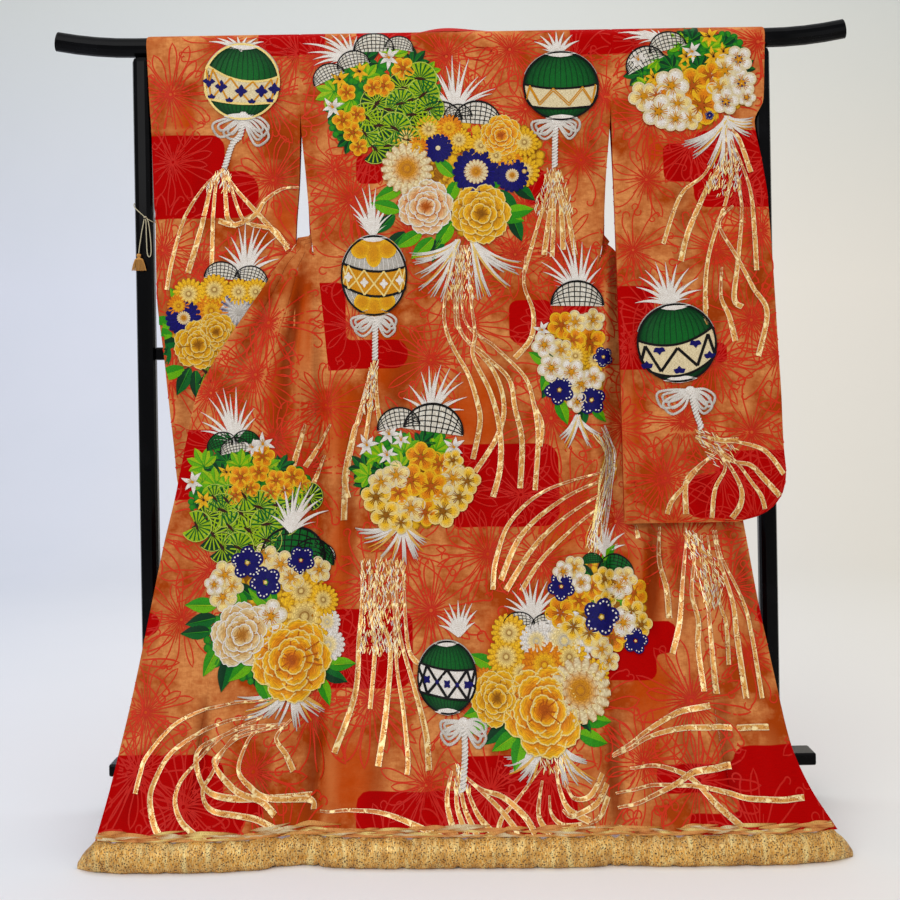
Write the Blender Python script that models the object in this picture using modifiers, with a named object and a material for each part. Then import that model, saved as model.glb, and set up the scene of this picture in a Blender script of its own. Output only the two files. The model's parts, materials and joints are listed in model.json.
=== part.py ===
"""Uchikake wedding kimono hung open on a black lacquer kimono stand, seen from the garment's back.

The stand is a top bar with upswept ends on two posts, with a middle rail, a lower rail and two
fore-and-aft feet. The bar runs through both sleeves. The back panels hang in front of the bar
(towards -Y). The front panels, overlaps and collar hang behind it, gather through the gaps between
body and sleeves, and spread out again beside the back panels down to one padded hem roll on the floor.
Every cloth piece is a wall of constant thickness raised on a drape function. X runs along the bar,
Y is depth with the garment's back towards -Y, and Z is up. Metres.
"""

import bisect
import math

import bmesh
import bpy
from mathutils import Vector

COLLECTION = "uchikake_kimono"

# Stand
BAR_Y = 0.1149
BAR_Z = 1.694
BAR_RADIUS = 0.0215
BAR_HALF_LENGTH = 0.873
BAR_RISE = 0.017
BAR_RISE_FROM = 0.700
POST_X = 0.6855
POST_WIDTH = 0.040
POST_CORNER = 0.012
RAIL_SEAT_GAP = 0.0003
MID_RAIL_Z = 1.014
MID_RAIL_SIZE = (0.026, 0.028)
LOWER_RAIL_Z = 0.0985
LOWER_RAIL_SIZE = (0.070, 0.027)
LOWER_RAIL_OVERHANG = 0.072
FOOT_SIZE = (0.060, 0.380, 0.050)

# Garment
CENTRE_X = 0.012
WALL = 0.0020
SEAM = 0.0004
ARMHOLE_GAP = 0.0006
COLLAR_START = 0.0013
BAR_CLEARANCE = 0.0006
WRAP_RADIUS = BAR_RADIUS + BAR_CLEARANCE + WALL / 2
NECK_HALF_WIDTH = 0.092
HEM_Z = 0.0544
SLIT_TOP_Z = 1.534
CUFF_END_Z = 1.330
SLEEVE_END_Z = 0.633
SLEEVE_CLOSE_WIDTH = 0.045
COLLAR_END_Z = 0.720
COLLAR_BACK_DROP = 0.088
COLLAR_BUMP = 0.0165
COLLAR_BUMP_TURN = 0.35
COLLAR_BUMP_RIPPLE = 0.25
SLEEVE_END_ROUNDNESS = 1.4
SIDE_SIGN = {"left": -1.0, "right": 1.0}

# Hem roll
ROLL_RADIUS = 0.0282
ROLL_FLAT = 0.0030
ROLL_TIP_RADIUS = 0.0070
ROLL_HALF_LENGTH = 0.757

# Tie cord and tassel on the left post. Depths are from the bar's plane.
CORD_DIAMETER = 0.0022
TIE_HALF_WIDTH = 0.0223
TIE_Z = 1.3275
TIE_SLANT = 0.0225
TIE_HIGH_SIDE = math.radians(160)
KNOT_RADIUS = 0.0036
KNOT_X = -0.6790
KNOT_GAP = 0.0004
TASSEL_X = -0.6935
TASSEL_Y = -0.0310
TASSEL_Z = 1.2205
TASSEL_HEAD_HALF = (0.0095, 0.0042)
TASSEL_STRANDS = (9, 3)
TASSEL_STRAND_GAP = 0.0007
TASSEL_STRAND_LENGTH = 0.0255
TASSEL_SPREAD = (0.0095, 0.0022)
# Sections of the tassel's head from its underside up: height, and shares of its width and depth.
TASSEL_SECTIONS = (
    (0.0000, 1.00, 1.00),
    (0.0022, 0.80, 0.92),
    (0.0045, 0.34, 0.66),
    (0.0060, 0.28, 0.55),
    (0.0078, 0.46, 0.92),
    (0.0105, 0.50, 1.00),
    (0.0128, 0.36, 0.72),
    (0.0140, 0.12, 0.26),
)
# Routes from the knot: out from its centre across and up, in metres.
TAIL_ROUTE = (
    (-0.0020, -0.0038),
    (-0.0045, -0.0160),
    (-0.0078, -0.0330),
    (-0.0105, -0.0500),
    (-0.0128, -0.0650),
    (-0.0143, -0.0786),
)
LOOP_ROUTE = (
    (0.0010, -0.0042),
    (0.0018, -0.0120),
    (0.0020, -0.0300),
    (0.0024, -0.0520),
    (0.0030, -0.0720),
    (0.0044, -0.0830),
    (0.0078, -0.0872),
    (0.0112, -0.0830),
    (0.0122, -0.0700),
    (0.0112, -0.0480),
    (0.0092, -0.0260),
    (0.0070, -0.0110),
    (0.0042, -0.0018),
)


class Track:
    """A smooth curve through the rows of a table, with no overshoot between them."""

    def __init__(self, pairs):
        ordered = sorted(pairs)
        self.at = [pair[0] for pair in ordered]
        self.values = [pair[1] for pair in ordered]
        steps = [b - a for a, b in zip(self.at, self.at[1:])]
        rises = [(b - a) / step for a, b, step in zip(self.values, self.values[1:], steps)]
        self.slopes = [rises[0]]
        for before, after in zip(rises, rises[1:]):
            same_way = before * after > 0
            self.slopes.append(2 * before * after / (before + after) if same_way else 0.0)
        self.slopes.append(rises[-1])

    def __call__(self, at):
        at = min(max(at, self.at[0]), self.at[-1])
        i = min(max(bisect.bisect_right(self.at, at) - 1, 0), len(self.at) - 2)
        step = self.at[i + 1] - self.at[i]
        t = (at - self.at[i]) / step
        hermite = (
            (1 + 2 * t) * (1 - t) ** 2,
            t * (1 - t) ** 2 * step,
            t * t * (3 - 2 * t),
            t * t * (t - 1) * step,
        )
        parts = (self.values[i], self.slopes[i], self.values[i + 1], self.slopes[i + 1])
        return sum(h * p for h, p in zip(hermite, parts))


def tracks(columns, rows):
    """One Track for each column after the first, keyed by name. The first column is the height."""
    names = columns.split()
    return {
        name: Track([(row[0], row[i]) for row in rows])
        for i, name in enumerate(names)
        if i > 0
    }


# Edges of the panels on the viewed side, by height.
SIDE_SEAM = tracks("z left right", (
    (1.694, -0.3340, 0.3560),
    (1.534, -0.3330, 0.3500),
    (1.385, -0.3220, 0.3370),
    (1.250, -0.3110, 0.3270),
    (1.170, -0.3000, 0.3120),
    (1.040, -0.2870, 0.3000),
    (0.910, -0.2750, 0.2920),
    (0.750, -0.2660, 0.2880),
    (0.570, -0.2590, 0.2900),
    (0.450, -0.2680, 0.2990),
    (0.300, -0.2850, 0.3050),
    (0.180, -0.2930, 0.3010),
    (0.100, -0.3020, 0.2970),
    (0.050, -0.3130, 0.2960),
))
CENTRE_SEAM = Track(((1.72, CENTRE_X), (0.90, 0.004), (0.05, 0.002)))
OUTER_EDGE = tracks("z left right", (
    (1.243, -0.3450, 0.3380),
    (1.216, -0.3780, 0.3640),
    (1.166, -0.4110, 0.4080),
    (1.090, -0.4640, 0.4640),
    (1.000, -0.5240, 0.5200),
    (0.915, -0.5660, 0.5590),
    (0.800, -0.5900, 0.5900),
    (0.700, -0.6090, 0.6020),
    (0.600, -0.6310, 0.6140),
    (0.450, -0.6560, 0.6300),
    (0.300, -0.6800, 0.6490),
    (0.200, -0.6960, 0.6610),
    (0.130, -0.7070, 0.6840),
    (0.050, -0.7220, 0.7300),
))
# Shares of a front's width, from its side seam, where the overlap and the collar begin.
FRONT_SHARES = tracks("z overlap collar", (
    (1.700, 0.740, 0.740),
    (1.560, 0.728, 0.742),
    (1.420, 0.660, 0.745),
    (1.300, 0.590, 0.760),
    (1.215, 0.520, 0.790),
    (1.090, 0.490, 0.815),
    (0.900, 0.490, 0.840),
    (0.750, 0.540, 0.865),
    (0.550, 0.600, 0.870),
    (0.200, 0.607, 0.870),
    (0.050, 0.560, 0.870),
))

# Depth of the cloth from the bar's plane, towards the viewer negative, by height.
DEPTH = tracks("z body right_front left_seen left_hidden right_seen right_hidden", (
    (1.694, -0.0231, -0.0231, -0.0231, 0.0231, -0.0231, 0.0231),
    (1.620, -0.0240, -0.0240, -0.0240, 0.0190, -0.0240, 0.0185),
    (1.534, -0.0270, -0.0270, -0.0262, 0.0125, -0.0275, 0.0115),
    (1.400, -0.0320, -0.0200, -0.0290, -0.0020, -0.0360, -0.0180),
    (1.360, -0.0340, -0.0160, -0.0295, -0.0050, -0.0400, -0.0265),
    (1.330, -0.0350, -0.0120, -0.0300, -0.0080, -0.0430, -0.0300),
    (1.200, -0.0420, -0.0080, -0.0330, -0.0150, -0.0600, -0.0450),
    (1.100, -0.0490, -0.0160, -0.0350, -0.0180, -0.0700, -0.0550),
    (1.014, -0.0570, -0.0260, -0.0370, -0.0190, -0.0790, -0.0640),
    (0.900, -0.0700, -0.0430, -0.0440, -0.0270, -0.0930, -0.0780),
    (0.800, -0.0840, -0.0620, -0.0540, -0.0380, -0.1080, -0.0930),
    (0.700, -0.0990, -0.0860, -0.0650, -0.0500, -0.1250, -0.1110),
    (0.600, -0.1180, -0.1150, -0.0760, -0.0640, -0.1400, -0.1280),
    (0.450, -0.1620, -0.1620, -0.0900, -0.0800, -0.1600, -0.1500),
    (0.300, -0.2160, -0.2160, -0.1000, -0.0900, -0.1800, -0.1700),
    (0.180, -0.2840, -0.2840, -0.1100, -0.1000, -0.2000, -0.1900),
    (0.100, -0.3400, -0.3400, -0.1200, -0.1100, -0.2200, -0.2100),
    (0.050, -0.3790, -0.3790, -0.1300, -0.1200, -0.2400, -0.2300),
))
# How far the hem line stands out from or back from the body depth, by X.
HEM_SWAY = Track((
    (-0.760, 0.022),
    (-0.660, -0.002),
    (-0.500, -0.006),
    (-0.400, 0.006),
    (-0.320, 0.030),
    (-0.240, 0.008),
    (-0.100, -0.002),
    (0.060, -0.006),
    (0.200, -0.010),
    (0.300, -0.004),
    (0.420, -0.014),
    (0.600, -0.014),
    (0.690, -0.002),
    (0.760, 0.020),
))

# Outer edges of the sleeves by height, as seen and on the hidden layer.
SLEEVE_EDGE = tracks("z left_seen left_hidden right_seen right_hidden", (
    (1.694, -0.6710, -0.6580, 0.6930, 0.6580),
    (1.552, -0.6650, -0.6580, 0.6870, 0.6580),
    (1.504, -0.6620, -0.6580, 0.6660, 0.6580),
    (1.420, -0.6600, -0.6580, 0.6790, 0.6580),
    (1.360, -0.6585, -0.6580, 0.6870, 0.6600),
    (1.330, -0.6580, -0.6580, 0.6900, 0.6890),
    (1.150, -0.6560, -0.6560, 0.6960, 0.6960),
    (1.005, -0.6410, -0.6410, 0.6990, 0.6990),
    (0.900, -0.6310, -0.6310, 0.7010, 0.7010),
    (0.800, -0.6190, -0.6190, 0.7000, 0.7000),
    (0.740, -0.6130, -0.6130, 0.7020, 0.7020),
    (0.700, -0.6030, -0.6030, 0.6950, 0.6950),
    (0.665, -0.5850, -0.5850, 0.6720, 0.6720),
    (0.645, -0.5600, -0.5600, 0.6400, 0.6400),
    (0.633, -0.5200, -0.5200, 0.5950, 0.5950),
))
# Inner edges of the sleeves below the slit's top.
SLEEVE_SLIT = tracks("z left right", (
    (1.534, -0.3336, 0.3506),
    (1.400, -0.3380, 0.3520),
    (1.270, -0.3470, 0.3530),
    (1.000, -0.3520, 0.3540),
    (0.633, -0.3520, 0.3520),
))

# Path of a front from the bar, down behind it and through the slit. Each row is one line across the
# cloth: the height above the gather, the distance out from the body's edge and the depth, at the
# side seam and then at the collar's outer edge, where the distance is out from the centre line.
GATHER_ROWS = tracks("v side_rise side_out side_y edge_rise edge_out edge_y", (
    (0.00, 0.458, 0.0000, 0.0231, 0.458, 0.0200, 0.0231),
    (0.15, 0.380, 0.0000, 0.0195, 0.382, 0.0280, 0.0205),
    (0.30, 0.298, 0.0000, 0.0125, 0.306, 0.0820, 0.0175),
    (0.50, 0.184, 0.0020, 0.0120, 0.206, 0.1760, 0.0140),
    (0.65, 0.094, 0.0040, 0.0100, 0.120, 0.2560, 0.0110),
    (0.78, 0.049, 0.0055, 0.0040, 0.074, 0.2960, 0.0060),
    (0.90, 0.019, 0.0045, -0.0100, 0.051, 0.3160, -0.0040),
    (1.00, 0.000, 0.0030, -0.0300, 0.032, 0.3330, -0.0200),
))

# The collar behind the neck hangs with the fronts' edges: this row lies this far below the bar.
COLLAR_ROW = 0.15
COLLAR_ROW_DROP = 0.078
# Heights in the table are for this drop from the bar to the gather, and stretch with the real one.
PATH_DROP = 0.458
GATHER_Z = {"left": 1.236, "right": 1.214}
GATHER_TURN = 0.022
GATHER_SIDE_OUT = 0.003
RIGHT_EDGE_Y = -0.004
EDGE_LEAD = 0.032
EDGE_LEAD_TO_Z = 0.860
# Seams open out where the front bunches up, about this far above the gather.
BUNCH_ABOVE = 0.06
BUNCH_FADE = (0.06, 0.16)
SEAM_SHARES = (0.80, 5.3)
# Where the right front passes behind the right sleeve, and where the hem's sway ends.
BEHIND_SLEEVE_X = (0.318, 0.372)
BEHIND_SLEEVE_Z = (0.44, 0.60)
HEM_SWAY_Z = (0.05, 0.62)

# Largest folds on the viewed side: where each starts and ends, its half width and its height
# towards the viewer. A negative height is a valley.
FOLD_COLUMNS = ("top_x", "top_z", "bottom_x", "bottom_z", "half_width", "height")
FOLDS = (
    (-0.322, 1.230, -0.300, 0.060, 0.024, -0.016),
    (-0.338, 1.150, -0.330, 0.850, 0.014, -0.014),
    (-0.270, 0.980, -0.262, 0.420, 0.022, 0.010),
    (-0.245, 0.520, -0.235, 0.080, 0.020, -0.012),
    (0.050, 0.860, 0.075, 0.420, 0.020, -0.010),
    (0.110, 0.900, 0.140, 0.350, 0.026, 0.012),
    (0.300, 0.980, 0.300, 0.420, 0.016, 0.010),
    (0.336, 1.000, 0.330, 0.440, 0.020, -0.016),
    (0.420, 0.640, 0.450, 0.220, 0.028, -0.016),
    (0.500, 0.560, 0.560, 0.140, 0.026, 0.014),
    (-0.470, 0.760, -0.520, 0.160, 0.030, 0.010),
    (-0.560, 0.600, -0.600, 0.120, 0.030, -0.010),
    (-0.060, 0.340, -0.050, 0.060, 0.024, -0.010),
    (0.180, 0.300, 0.190, 0.060, 0.022, -0.010),
)


def smooth(low, high, value):
    t = min(max((value - low) / (high - low), 0.0), 1.0)
    return t * t * (3 - 2 * t)


def mix(a, b, t):
    return a + (b - a) * t


def fold_height(x, z):
    """Sum of the folds at a place, each fading out towards its two ends."""
    total = 0.0
    for row in FOLDS:
        fold = dict(zip(FOLD_COLUMNS, row))
        t = (fold["top_z"] - z) / (fold["top_z"] - fold["bottom_z"])
        if not 0.0 < t < 1.0:
            continue
        centre = mix(fold["top_x"], fold["bottom_x"], t)
        across = (x - centre) / fold["half_width"]
        total += fold["height"] * math.exp(-across * across) * math.sin(math.pi * t) ** 0.7
    return total


def body_depth(x, z):
    """Depth of the joined panels on the viewed side, below and beside the bar."""
    behind_sleeve = smooth(*BEHIND_SLEEVE_X, x) * smooth(*BEHIND_SLEEVE_Z, z)
    depth = mix(DEPTH["body"](z), DEPTH["right_front"](z), behind_sleeve)
    sway = HEM_SWAY(x) * (1 - smooth(*HEM_SWAY_Z, z))
    return depth + sway - fold_height(x, z)


def over_bar(share, x, far=False):
    """A point on the quarter turn over the bar. Share 0 is level with the bar's axis, 1 is on top."""
    angle = math.pi / 2 * share
    depth = WRAP_RADIUS * math.cos(angle)
    return Vector((x, depth if far else -depth, BAR_Z + WRAP_RADIUS * math.sin(angle)))


# Drape functions. Each takes a share across, u, and a row, v, and gives a point about the bar's plane.

def back_panel(side):
    """From the top of the bar, v 0, down the viewed side to the hem."""
    sign = SIDE_SIGN[side]

    def point(u, v):
        z = min(v, BAR_Z)
        inner = CENTRE_SEAM(z) + sign * SEAM / 2
        outer = SIDE_SEAM[side](z)
        x = mix(inner, outer, u)
        if v > BAR_Z:
            return over_bar((v - BAR_Z) / WRAP_RADIUS, x)
        return Vector((x, body_depth(x, z), z))

    return point


def front_edges(side, v):
    """The side-seam point and the outer-edge point of one line across a front at row v."""
    sign = SIDE_SIGN[side]
    gather = GATHER_Z[side]
    seam = SIDE_SEAM[side]
    edge = OUTER_EDGE[side]
    if v >= BAR_Z:
        share = (v - BAR_Z) / WRAP_RADIUS
        at_side = over_bar(share, seam(BAR_Z), far=True)
        at_edge = over_bar(share, CENTRE_X + sign * 0.020, far=True)
        return at_side, at_edge
    if v >= gather:
        row = 1 - (v - gather) / (BAR_Z - gather)
        look = {name: track(row) for name, track in GATHER_ROWS.items()}
        stretch = (BAR_Z - gather) / PATH_DROP
        side_z = gather + look["side_rise"] * stretch
        edge_z = gather + look["edge_rise"] * stretch
        clear = SEAM * (1 - smooth(SLIT_TOP_Z - 0.06, SLIT_TOP_Z, side_z))
        at_side = Vector((seam(side_z) + sign * (look["side_out"] + clear), look["side_y"], side_z))
        edge_x = CENTRE_X + sign * look["edge_out"]
        edge_y = look["edge_y"]
        if side == "right":
            edge_y = mix(edge_y, RIGHT_EDGE_Y, smooth(0.8, 1, row))
        return at_side, Vector((edge_x, edge_y, edge_z))
    lead = EDGE_LEAD * smooth(EDGE_LEAD_TO_Z, gather, v)
    side_out = SEAM + GATHER_SIDE_OUT * smooth(gather - GATHER_TURN, gather, v)
    at_side = Vector((seam(v) + sign * side_out, 0, v))
    edge_z = v + lead
    return at_side, Vector((edge(edge_z), 0, edge_z))


def front_sheet(side):
    """The whole front from the top of the bar to the hem: front panel, overlap and collar."""
    gather = GATHER_Z[side]

    def point(u, v):
        at_side, at_edge = front_edges(side, v)
        place = at_side.lerp(at_edge, u)
        if v < gather:
            free = body_depth(place.x, place.z)
            start_side, start_edge = front_edges(side, gather)
            held = mix(start_side.y, start_edge.y, u)
            place.y = mix(free, held, smooth(gather - GATHER_TURN, gather, v))
        return place

    return point


def sleeve_layer(side, layer):
    """One layer of a sleeve, seen or hidden, from the top of the bar to the closed lower edge."""
    sign = SIDE_SIGN[side]
    other = "hidden" if layer == "seen" else "seen"
    own_depth = DEPTH[f"{side}_{layer}"]
    other_depth = DEPTH[f"{side}_{other}"]
    outer_edge = SLEEVE_EDGE[f"{side}_{layer}"]

    def point(u, v):
        z = min(v, BAR_Z)
        inner = SLEEVE_SLIT[side](z) if z < SLIT_TOP_Z else SIDE_SEAM[side](z) + sign * ARMHOLE_GAP
        outer = outer_edge(z)
        x = mix(inner, outer, u)
        if v > BAR_Z:
            return over_bar((v - BAR_Z) / WRAP_RADIUS, x, far=layer == "hidden")
        cuff = smooth(CUFF_END_Z - 0.01, CUFF_END_Z + 0.05, z)
        from_side = abs(outer - x) / SLEEVE_CLOSE_WIDTH + 4 * cuff
        from_end = (z - SLEEVE_END_Z) * SLEEVE_END_ROUNDNESS / SLEEVE_CLOSE_WIDTH
        reach = min(from_side, from_end)
        open_share = math.sin(math.pi / 2 * min(max(reach, 0.0), 1.0))
        middle = (own_depth(z) + other_depth(z)) / 2
        half = (own_depth(z) - other_depth(z)) / 2
        closed_half = math.copysign((WALL + SEAM) / 2, half)
        return Vector((x, middle + mix(closed_half, half, open_share), z))

    return point


def collar_back(u, v):
    """The collar over the back of the neck: up in a soft bump and down behind the bar. v runs 0 to 1."""
    x = CENTRE_X + mix(-1, 1, u) * (NECK_HALF_WIDTH - SEAM / 2)
    across = 1 - (2 * u - 1) ** 2
    bump = COLLAR_BUMP * across * (1 + COLLAR_BUMP_RIPPLE * math.sin(5 * u + 0.6))
    turn = WRAP_RADIUS * math.pi / 2
    length = turn + COLLAR_BACK_DROP
    along = mix(COLLAR_START, length, v)
    if along < turn:
        angle = math.pi / 2 - along / WRAP_RADIUS
        risen = min(1.0, along / (COLLAR_BUMP_TURN * turn))
        radius = WRAP_RADIUS + bump * math.sin(math.pi / 2 * risen)
        return Vector((x, radius * math.cos(angle), BAR_Z + radius * math.sin(angle)))
    drop = along - turn
    fade = 1 - smooth(0, COLLAR_BACK_DROP, drop)
    hang = GATHER_ROWS["edge_y"](COLLAR_ROW * drop / COLLAR_ROW_DROP)
    return Vector((x, hang + bump * fade, BAR_Z - drop))


def surface_normal(point, u, v, du, dv):
    """Unit normal of a drape function, from points just either side."""
    across = point(u + du, v) - point(u - du, v)
    along = point(u, v + dv) - point(u, v - dv)
    return across.cross(along).normalized()


def rows_between(high, low, count):
    return [mix(high, low, i / count) for i in range(count)]


def shoulder_rows():
    """Rows from the shoulder line over the bar and down to the top of the slits."""
    return wrap_rows() + rows_between(BAR_Z, SLIT_TOP_Z, 3)


def lower_rows(top):
    """Rows shared by the panels that meet in the side seams, so that their edges match."""
    rows = rows_between(1.190, 0.350, 15) + rows_between(0.350, HEM_Z, 8) + [HEM_Z]
    return [row for row in rows if row < top]


def finish(bm, name, material):
    """Turns a closed bmesh into a smooth-shaded object of the part's collection."""
    bmesh.ops.recalc_face_normals(bm, faces=bm.faces[:])
    mesh = bpy.data.meshes.new(name)
    bm.to_mesh(mesh)
    bm.free()
    return add_object(name, mesh, material)


def add_object(name, mesh, material):
    obj = bpy.data.objects.new(name, mesh)
    obj.data.materials.append(material)
    bpy.data.collections[COLLECTION].objects.link(obj)
    if isinstance(mesh, bpy.types.Mesh):
        mesh.shade_smooth()
        mesh.set_sharp_from_angle(angle=math.radians(40))
    return obj


def cloth_wall(name, point, share, rows, columns, material, flip=1.0):
    """A wall of constant thickness on a drape function, between two shares across at each row."""
    bm = bmesh.new()
    outward = bm.verts.layers.float_vector.new("outward")
    bmesh.ops.create_grid(bm, x_segments=columns, y_segments=len(rows) - 1, size=1)
    for vert in bm.verts:
        row = rows[round((vert.co.y + 1) / 2 * (len(rows) - 1))]
        low, high = share(row)
        u = mix(low, high, (vert.co.x + 1) / 2)
        normal = surface_normal(point, u, row, 1e-3, 1e-4) * flip
        vert[outward] = normal
        vert.co = point(u, row) - normal * WALL / 2 + Vector((0, BAR_Y, 0))
    lifted = bmesh.ops.extrude_face_region(bm, geom=bm.faces[:])
    for vert in lifted["geom"]:
        if isinstance(vert, bmesh.types.BMVert):
            vert.co += vert[outward] * WALL
    return finish(bm, name, material)


def wrap_rows():
    """Rows over the bar, from just short of the shoulder line on its top to level with its axis."""
    top = 1.0 - SEAM / (math.pi * WRAP_RADIUS)
    return [BAR_Z + WRAP_RADIUS * share for share in (top, 0.75, 0.5, 0.25)]


def add_body(material):
    rows = shoulder_rows() + rows_between(SLIT_TOP_Z, 1.190, 5) + lower_rows(1.3)
    for side, flip in (("left", 1.0), ("right", -1.0)):
        cloth_wall(f"back_{side}", back_panel(side), full_width, rows, 10, material, flip)


def full_width(row):
    return 0.0, 1.0


def add_fronts(material):
    """Front panel, overlap and collar of each side, as three strips of one sheet."""
    for side, flip in (("left", -1.0), ("right", 1.0)):
        sheet = front_sheet(side)
        gather = GATHER_Z[side]
        overlap_from = FRONT_SHARES["overlap"]
        collar_from = FRONT_SHARES["collar"]

        def half_seam(row, side=side, gather=gather):
            at_side, at_edge = front_edges(side, row)
            bunched = 1 - smooth(*BUNCH_FADE, abs(row - gather - BUNCH_ABOVE))
            plain, extra = SEAM_SHARES
            return SEAM * (plain + extra * bunched) / (at_edge - at_side).length

        def front_share(row):
            return 0.0, overlap_from(row) - half_seam(row)

        def overlap_share(row):
            outer = collar_from(row) - half_seam(row) if row > COLLAR_END_Z else 1.0
            return overlap_from(row) + half_seam(row), outer

        def collar_share(row):
            return collar_from(row) + half_seam(row), 1.0

        below = rows_between(SLIT_TOP_Z, gather + 0.12, 4) + rows_between(gather + 0.12, gather, 8)
        below += rows_between(gather, 1.190, 2) + lower_rows(1.3)
        cut = [row for row in below if row > COLLAR_END_Z + 0.01]
        rest = [row for row in below if row < COLLAR_END_Z - 0.01]
        split = [COLLAR_END_Z + SEAM / 2, COLLAR_END_Z - SEAM / 2]
        top = BAR_Z - COLLAR_BACK_DROP - SEAM
        cloth_wall(f"front_{side}", sheet, front_share, shoulder_rows() + below, 7, material, flip)
        cloth_wall(f"okumi_{side}", sheet, overlap_share, cut + split + rest, 4, material, flip)
        rows = [top, SLIT_TOP_Z + 0.03] + cut + [COLLAR_END_Z + 1.5 * SEAM]
        cloth_wall(f"collar_{side}", sheet, collar_share, rows, 3, material, flip)


def add_collar_back(material):
    rows = [i / 18 for i in range(6)] + [0.33, 0.40, 0.50, 0.65, 0.82, 1.0]
    cloth_wall("collar_back", collar_back, full_width, rows, 8, material, -1.0)


def add_sleeves(material):
    rows = shoulder_rows() + rows_between(SLIT_TOP_Z, 1.300, 6) + rows_between(1.300, 0.740, 6)
    rows += rows_between(0.740, SLEEVE_END_Z, 5) + [SLEEVE_END_Z]
    for side in SIDE_SIGN:
        for layer in ("seen", "hidden"):
            flip = SIDE_SIGN[side] * (-1.0 if layer == "seen" else 1.0)
            name = f"sleeve_{side}_{'back' if layer == 'seen' else 'front'}"
            cloth_wall(name, sleeve_layer(side, layer), full_width, rows, 8, material, flip)


def mesh_from_curve(name, points, radii, depth, resolution, cyclic=False):
    """A tube through points, as a welded mesh in a bmesh."""
    curve = bpy.data.curves.new(name, "CURVE")
    curve.dimensions = "3D"
    curve.bevel_depth = depth
    curve.bevel_resolution = resolution
    curve.use_fill_caps = True
    spline = curve.splines.new("POLY")
    spline.points.add(len(points) - 1)
    spline.use_cyclic_u = cyclic
    for spot, place, radius in zip(spline.points, points, radii):
        spot.co = (*place, 1)
        spot.radius = radius
    guide = bpy.data.objects.new(name + "_guide", curve)
    bpy.context.scene.collection.objects.link(guide)
    graph = bpy.context.evaluated_depsgraph_get()
    mesh = bpy.data.meshes.new_from_object(guide.evaluated_get(graph))
    bm = bmesh.new()
    bm.from_mesh(mesh)
    bmesh.ops.remove_doubles(bm, verts=bm.verts[:], dist=1e-5)
    bpy.data.objects.remove(guide)
    bpy.data.meshes.remove(mesh)
    return bm


def add_hem_roll(material):
    """One padded roll under all the panels' hems, flat where it lies and pointed at both ends."""
    count = 54
    points = []
    radii = []
    for i in range(count + 1):
        x = mix(-ROLL_HALF_LENGTH, ROLL_HALF_LENGTH, i / count)
        taper = math.sqrt(min(1.0, (ROLL_HALF_LENGTH - abs(x)) / 0.040 + 0.02))
        pinch = 1 - 0.02 * math.cos(14.0 * x) ** 6
        radius = max(ROLL_TIP_RADIUS, ROLL_RADIUS * taper * pinch)
        points.append((x, BAR_Y + DEPTH["body"](HEM_Z) + HEM_SWAY(x) - 0.002, radius - ROLL_FLAT))
        radii.append(radius / ROLL_RADIUS)
    bm = mesh_from_curve("hem_roll", points, radii, ROLL_RADIUS, 4)
    cut = bmesh.ops.bisect_plane(
        bm, geom=bm.verts[:] + bm.edges[:] + bm.faces[:], dist=1e-6,
        plane_co=(0, 0, 0), plane_no=(0, 0, -1), clear_outer=True,
    )
    edges = [item for item in cut["geom_cut"] if isinstance(item, bmesh.types.BMEdge)]
    bmesh.ops.holes_fill(bm, edges=edges)
    return finish(bm, "hem_roll", material)


def catmull_rom(points, per_span):
    """A smooth curve through the points of a route, as a list of places."""
    ends = [points[0]] + list(points) + [points[-1]]
    smooth_points = []
    for a, b, c, d in zip(ends, ends[1:], ends[2:], ends[3:]):
        for i in range(per_span):
            t = i / per_span
            smooth_points.append(
                0.5 * (2 * b + (c - a) * t + (2 * a - 5 * b + 4 * c - d) * t * t
                       + (3 * b - a - 3 * c + d) * t ** 3)
            )
    return smooth_points + [points[-1]]


def knot_centre():
    """The knot sits on the front of the slanting tie, towards the sleeve."""
    out = KNOT_X + POST_X
    depth = (TIE_HALF_WIDTH ** 3 - out ** 3) ** (1 / 3)
    angle = math.atan2(-depth, out)
    z = TIE_Z + TIE_SLANT * math.cos(angle - TIE_HIGH_SIDE)
    return Vector((KNOT_X, BAR_Y - depth - CORD_DIAMETER / 2 - KNOT_GAP - KNOT_RADIUS, z))


def add_tie(material):
    """A thin cord tied round the left post, with a hanging loop and a tail down to the tassel."""
    count = 36
    ring = []
    for i in range(count):
        angle = 2 * math.pi * i / count
        c, s = math.cos(angle), math.sin(angle)
        reach = TIE_HALF_WIDTH / (abs(c) ** 3 + abs(s) ** 3) ** (1 / 3)
        z = TIE_Z + TIE_SLANT * math.cos(angle - TIE_HIGH_SIDE)
        ring.append((-POST_X + reach * c, BAR_Y + reach * s, z))
    radius = CORD_DIAMETER / 2
    bm = mesh_from_curve("tie_cord", ring, [1.0] * count, radius, 1, cyclic=True)
    finish(bm, "tie_cord", material)
    knot = knot_centre()
    bm = bmesh.new()
    bmesh.ops.create_uvsphere(bm, u_segments=10, v_segments=6, radius=KNOT_RADIUS)
    bmesh.ops.translate(bm, vec=knot, verts=bm.verts[:])
    finish(bm, "tie_knot", material)
    sag = TASSEL_Y + BAR_Y - knot.y
    routes = (("tie_tail", TAIL_ROUTE, sag), ("tie_loop", LOOP_ROUTE, -0.001))
    for name, route, forward in routes:
        drop = min(up for out, up in route)
        places = [knot + Vector((out, forward * up / drop, up)) for out, up in route]
        points = catmull_rom(places, 3)
        bm = mesh_from_curve(name, points, [1.0] * len(points), radius, 2)
        finish(bm, name, material)


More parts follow.
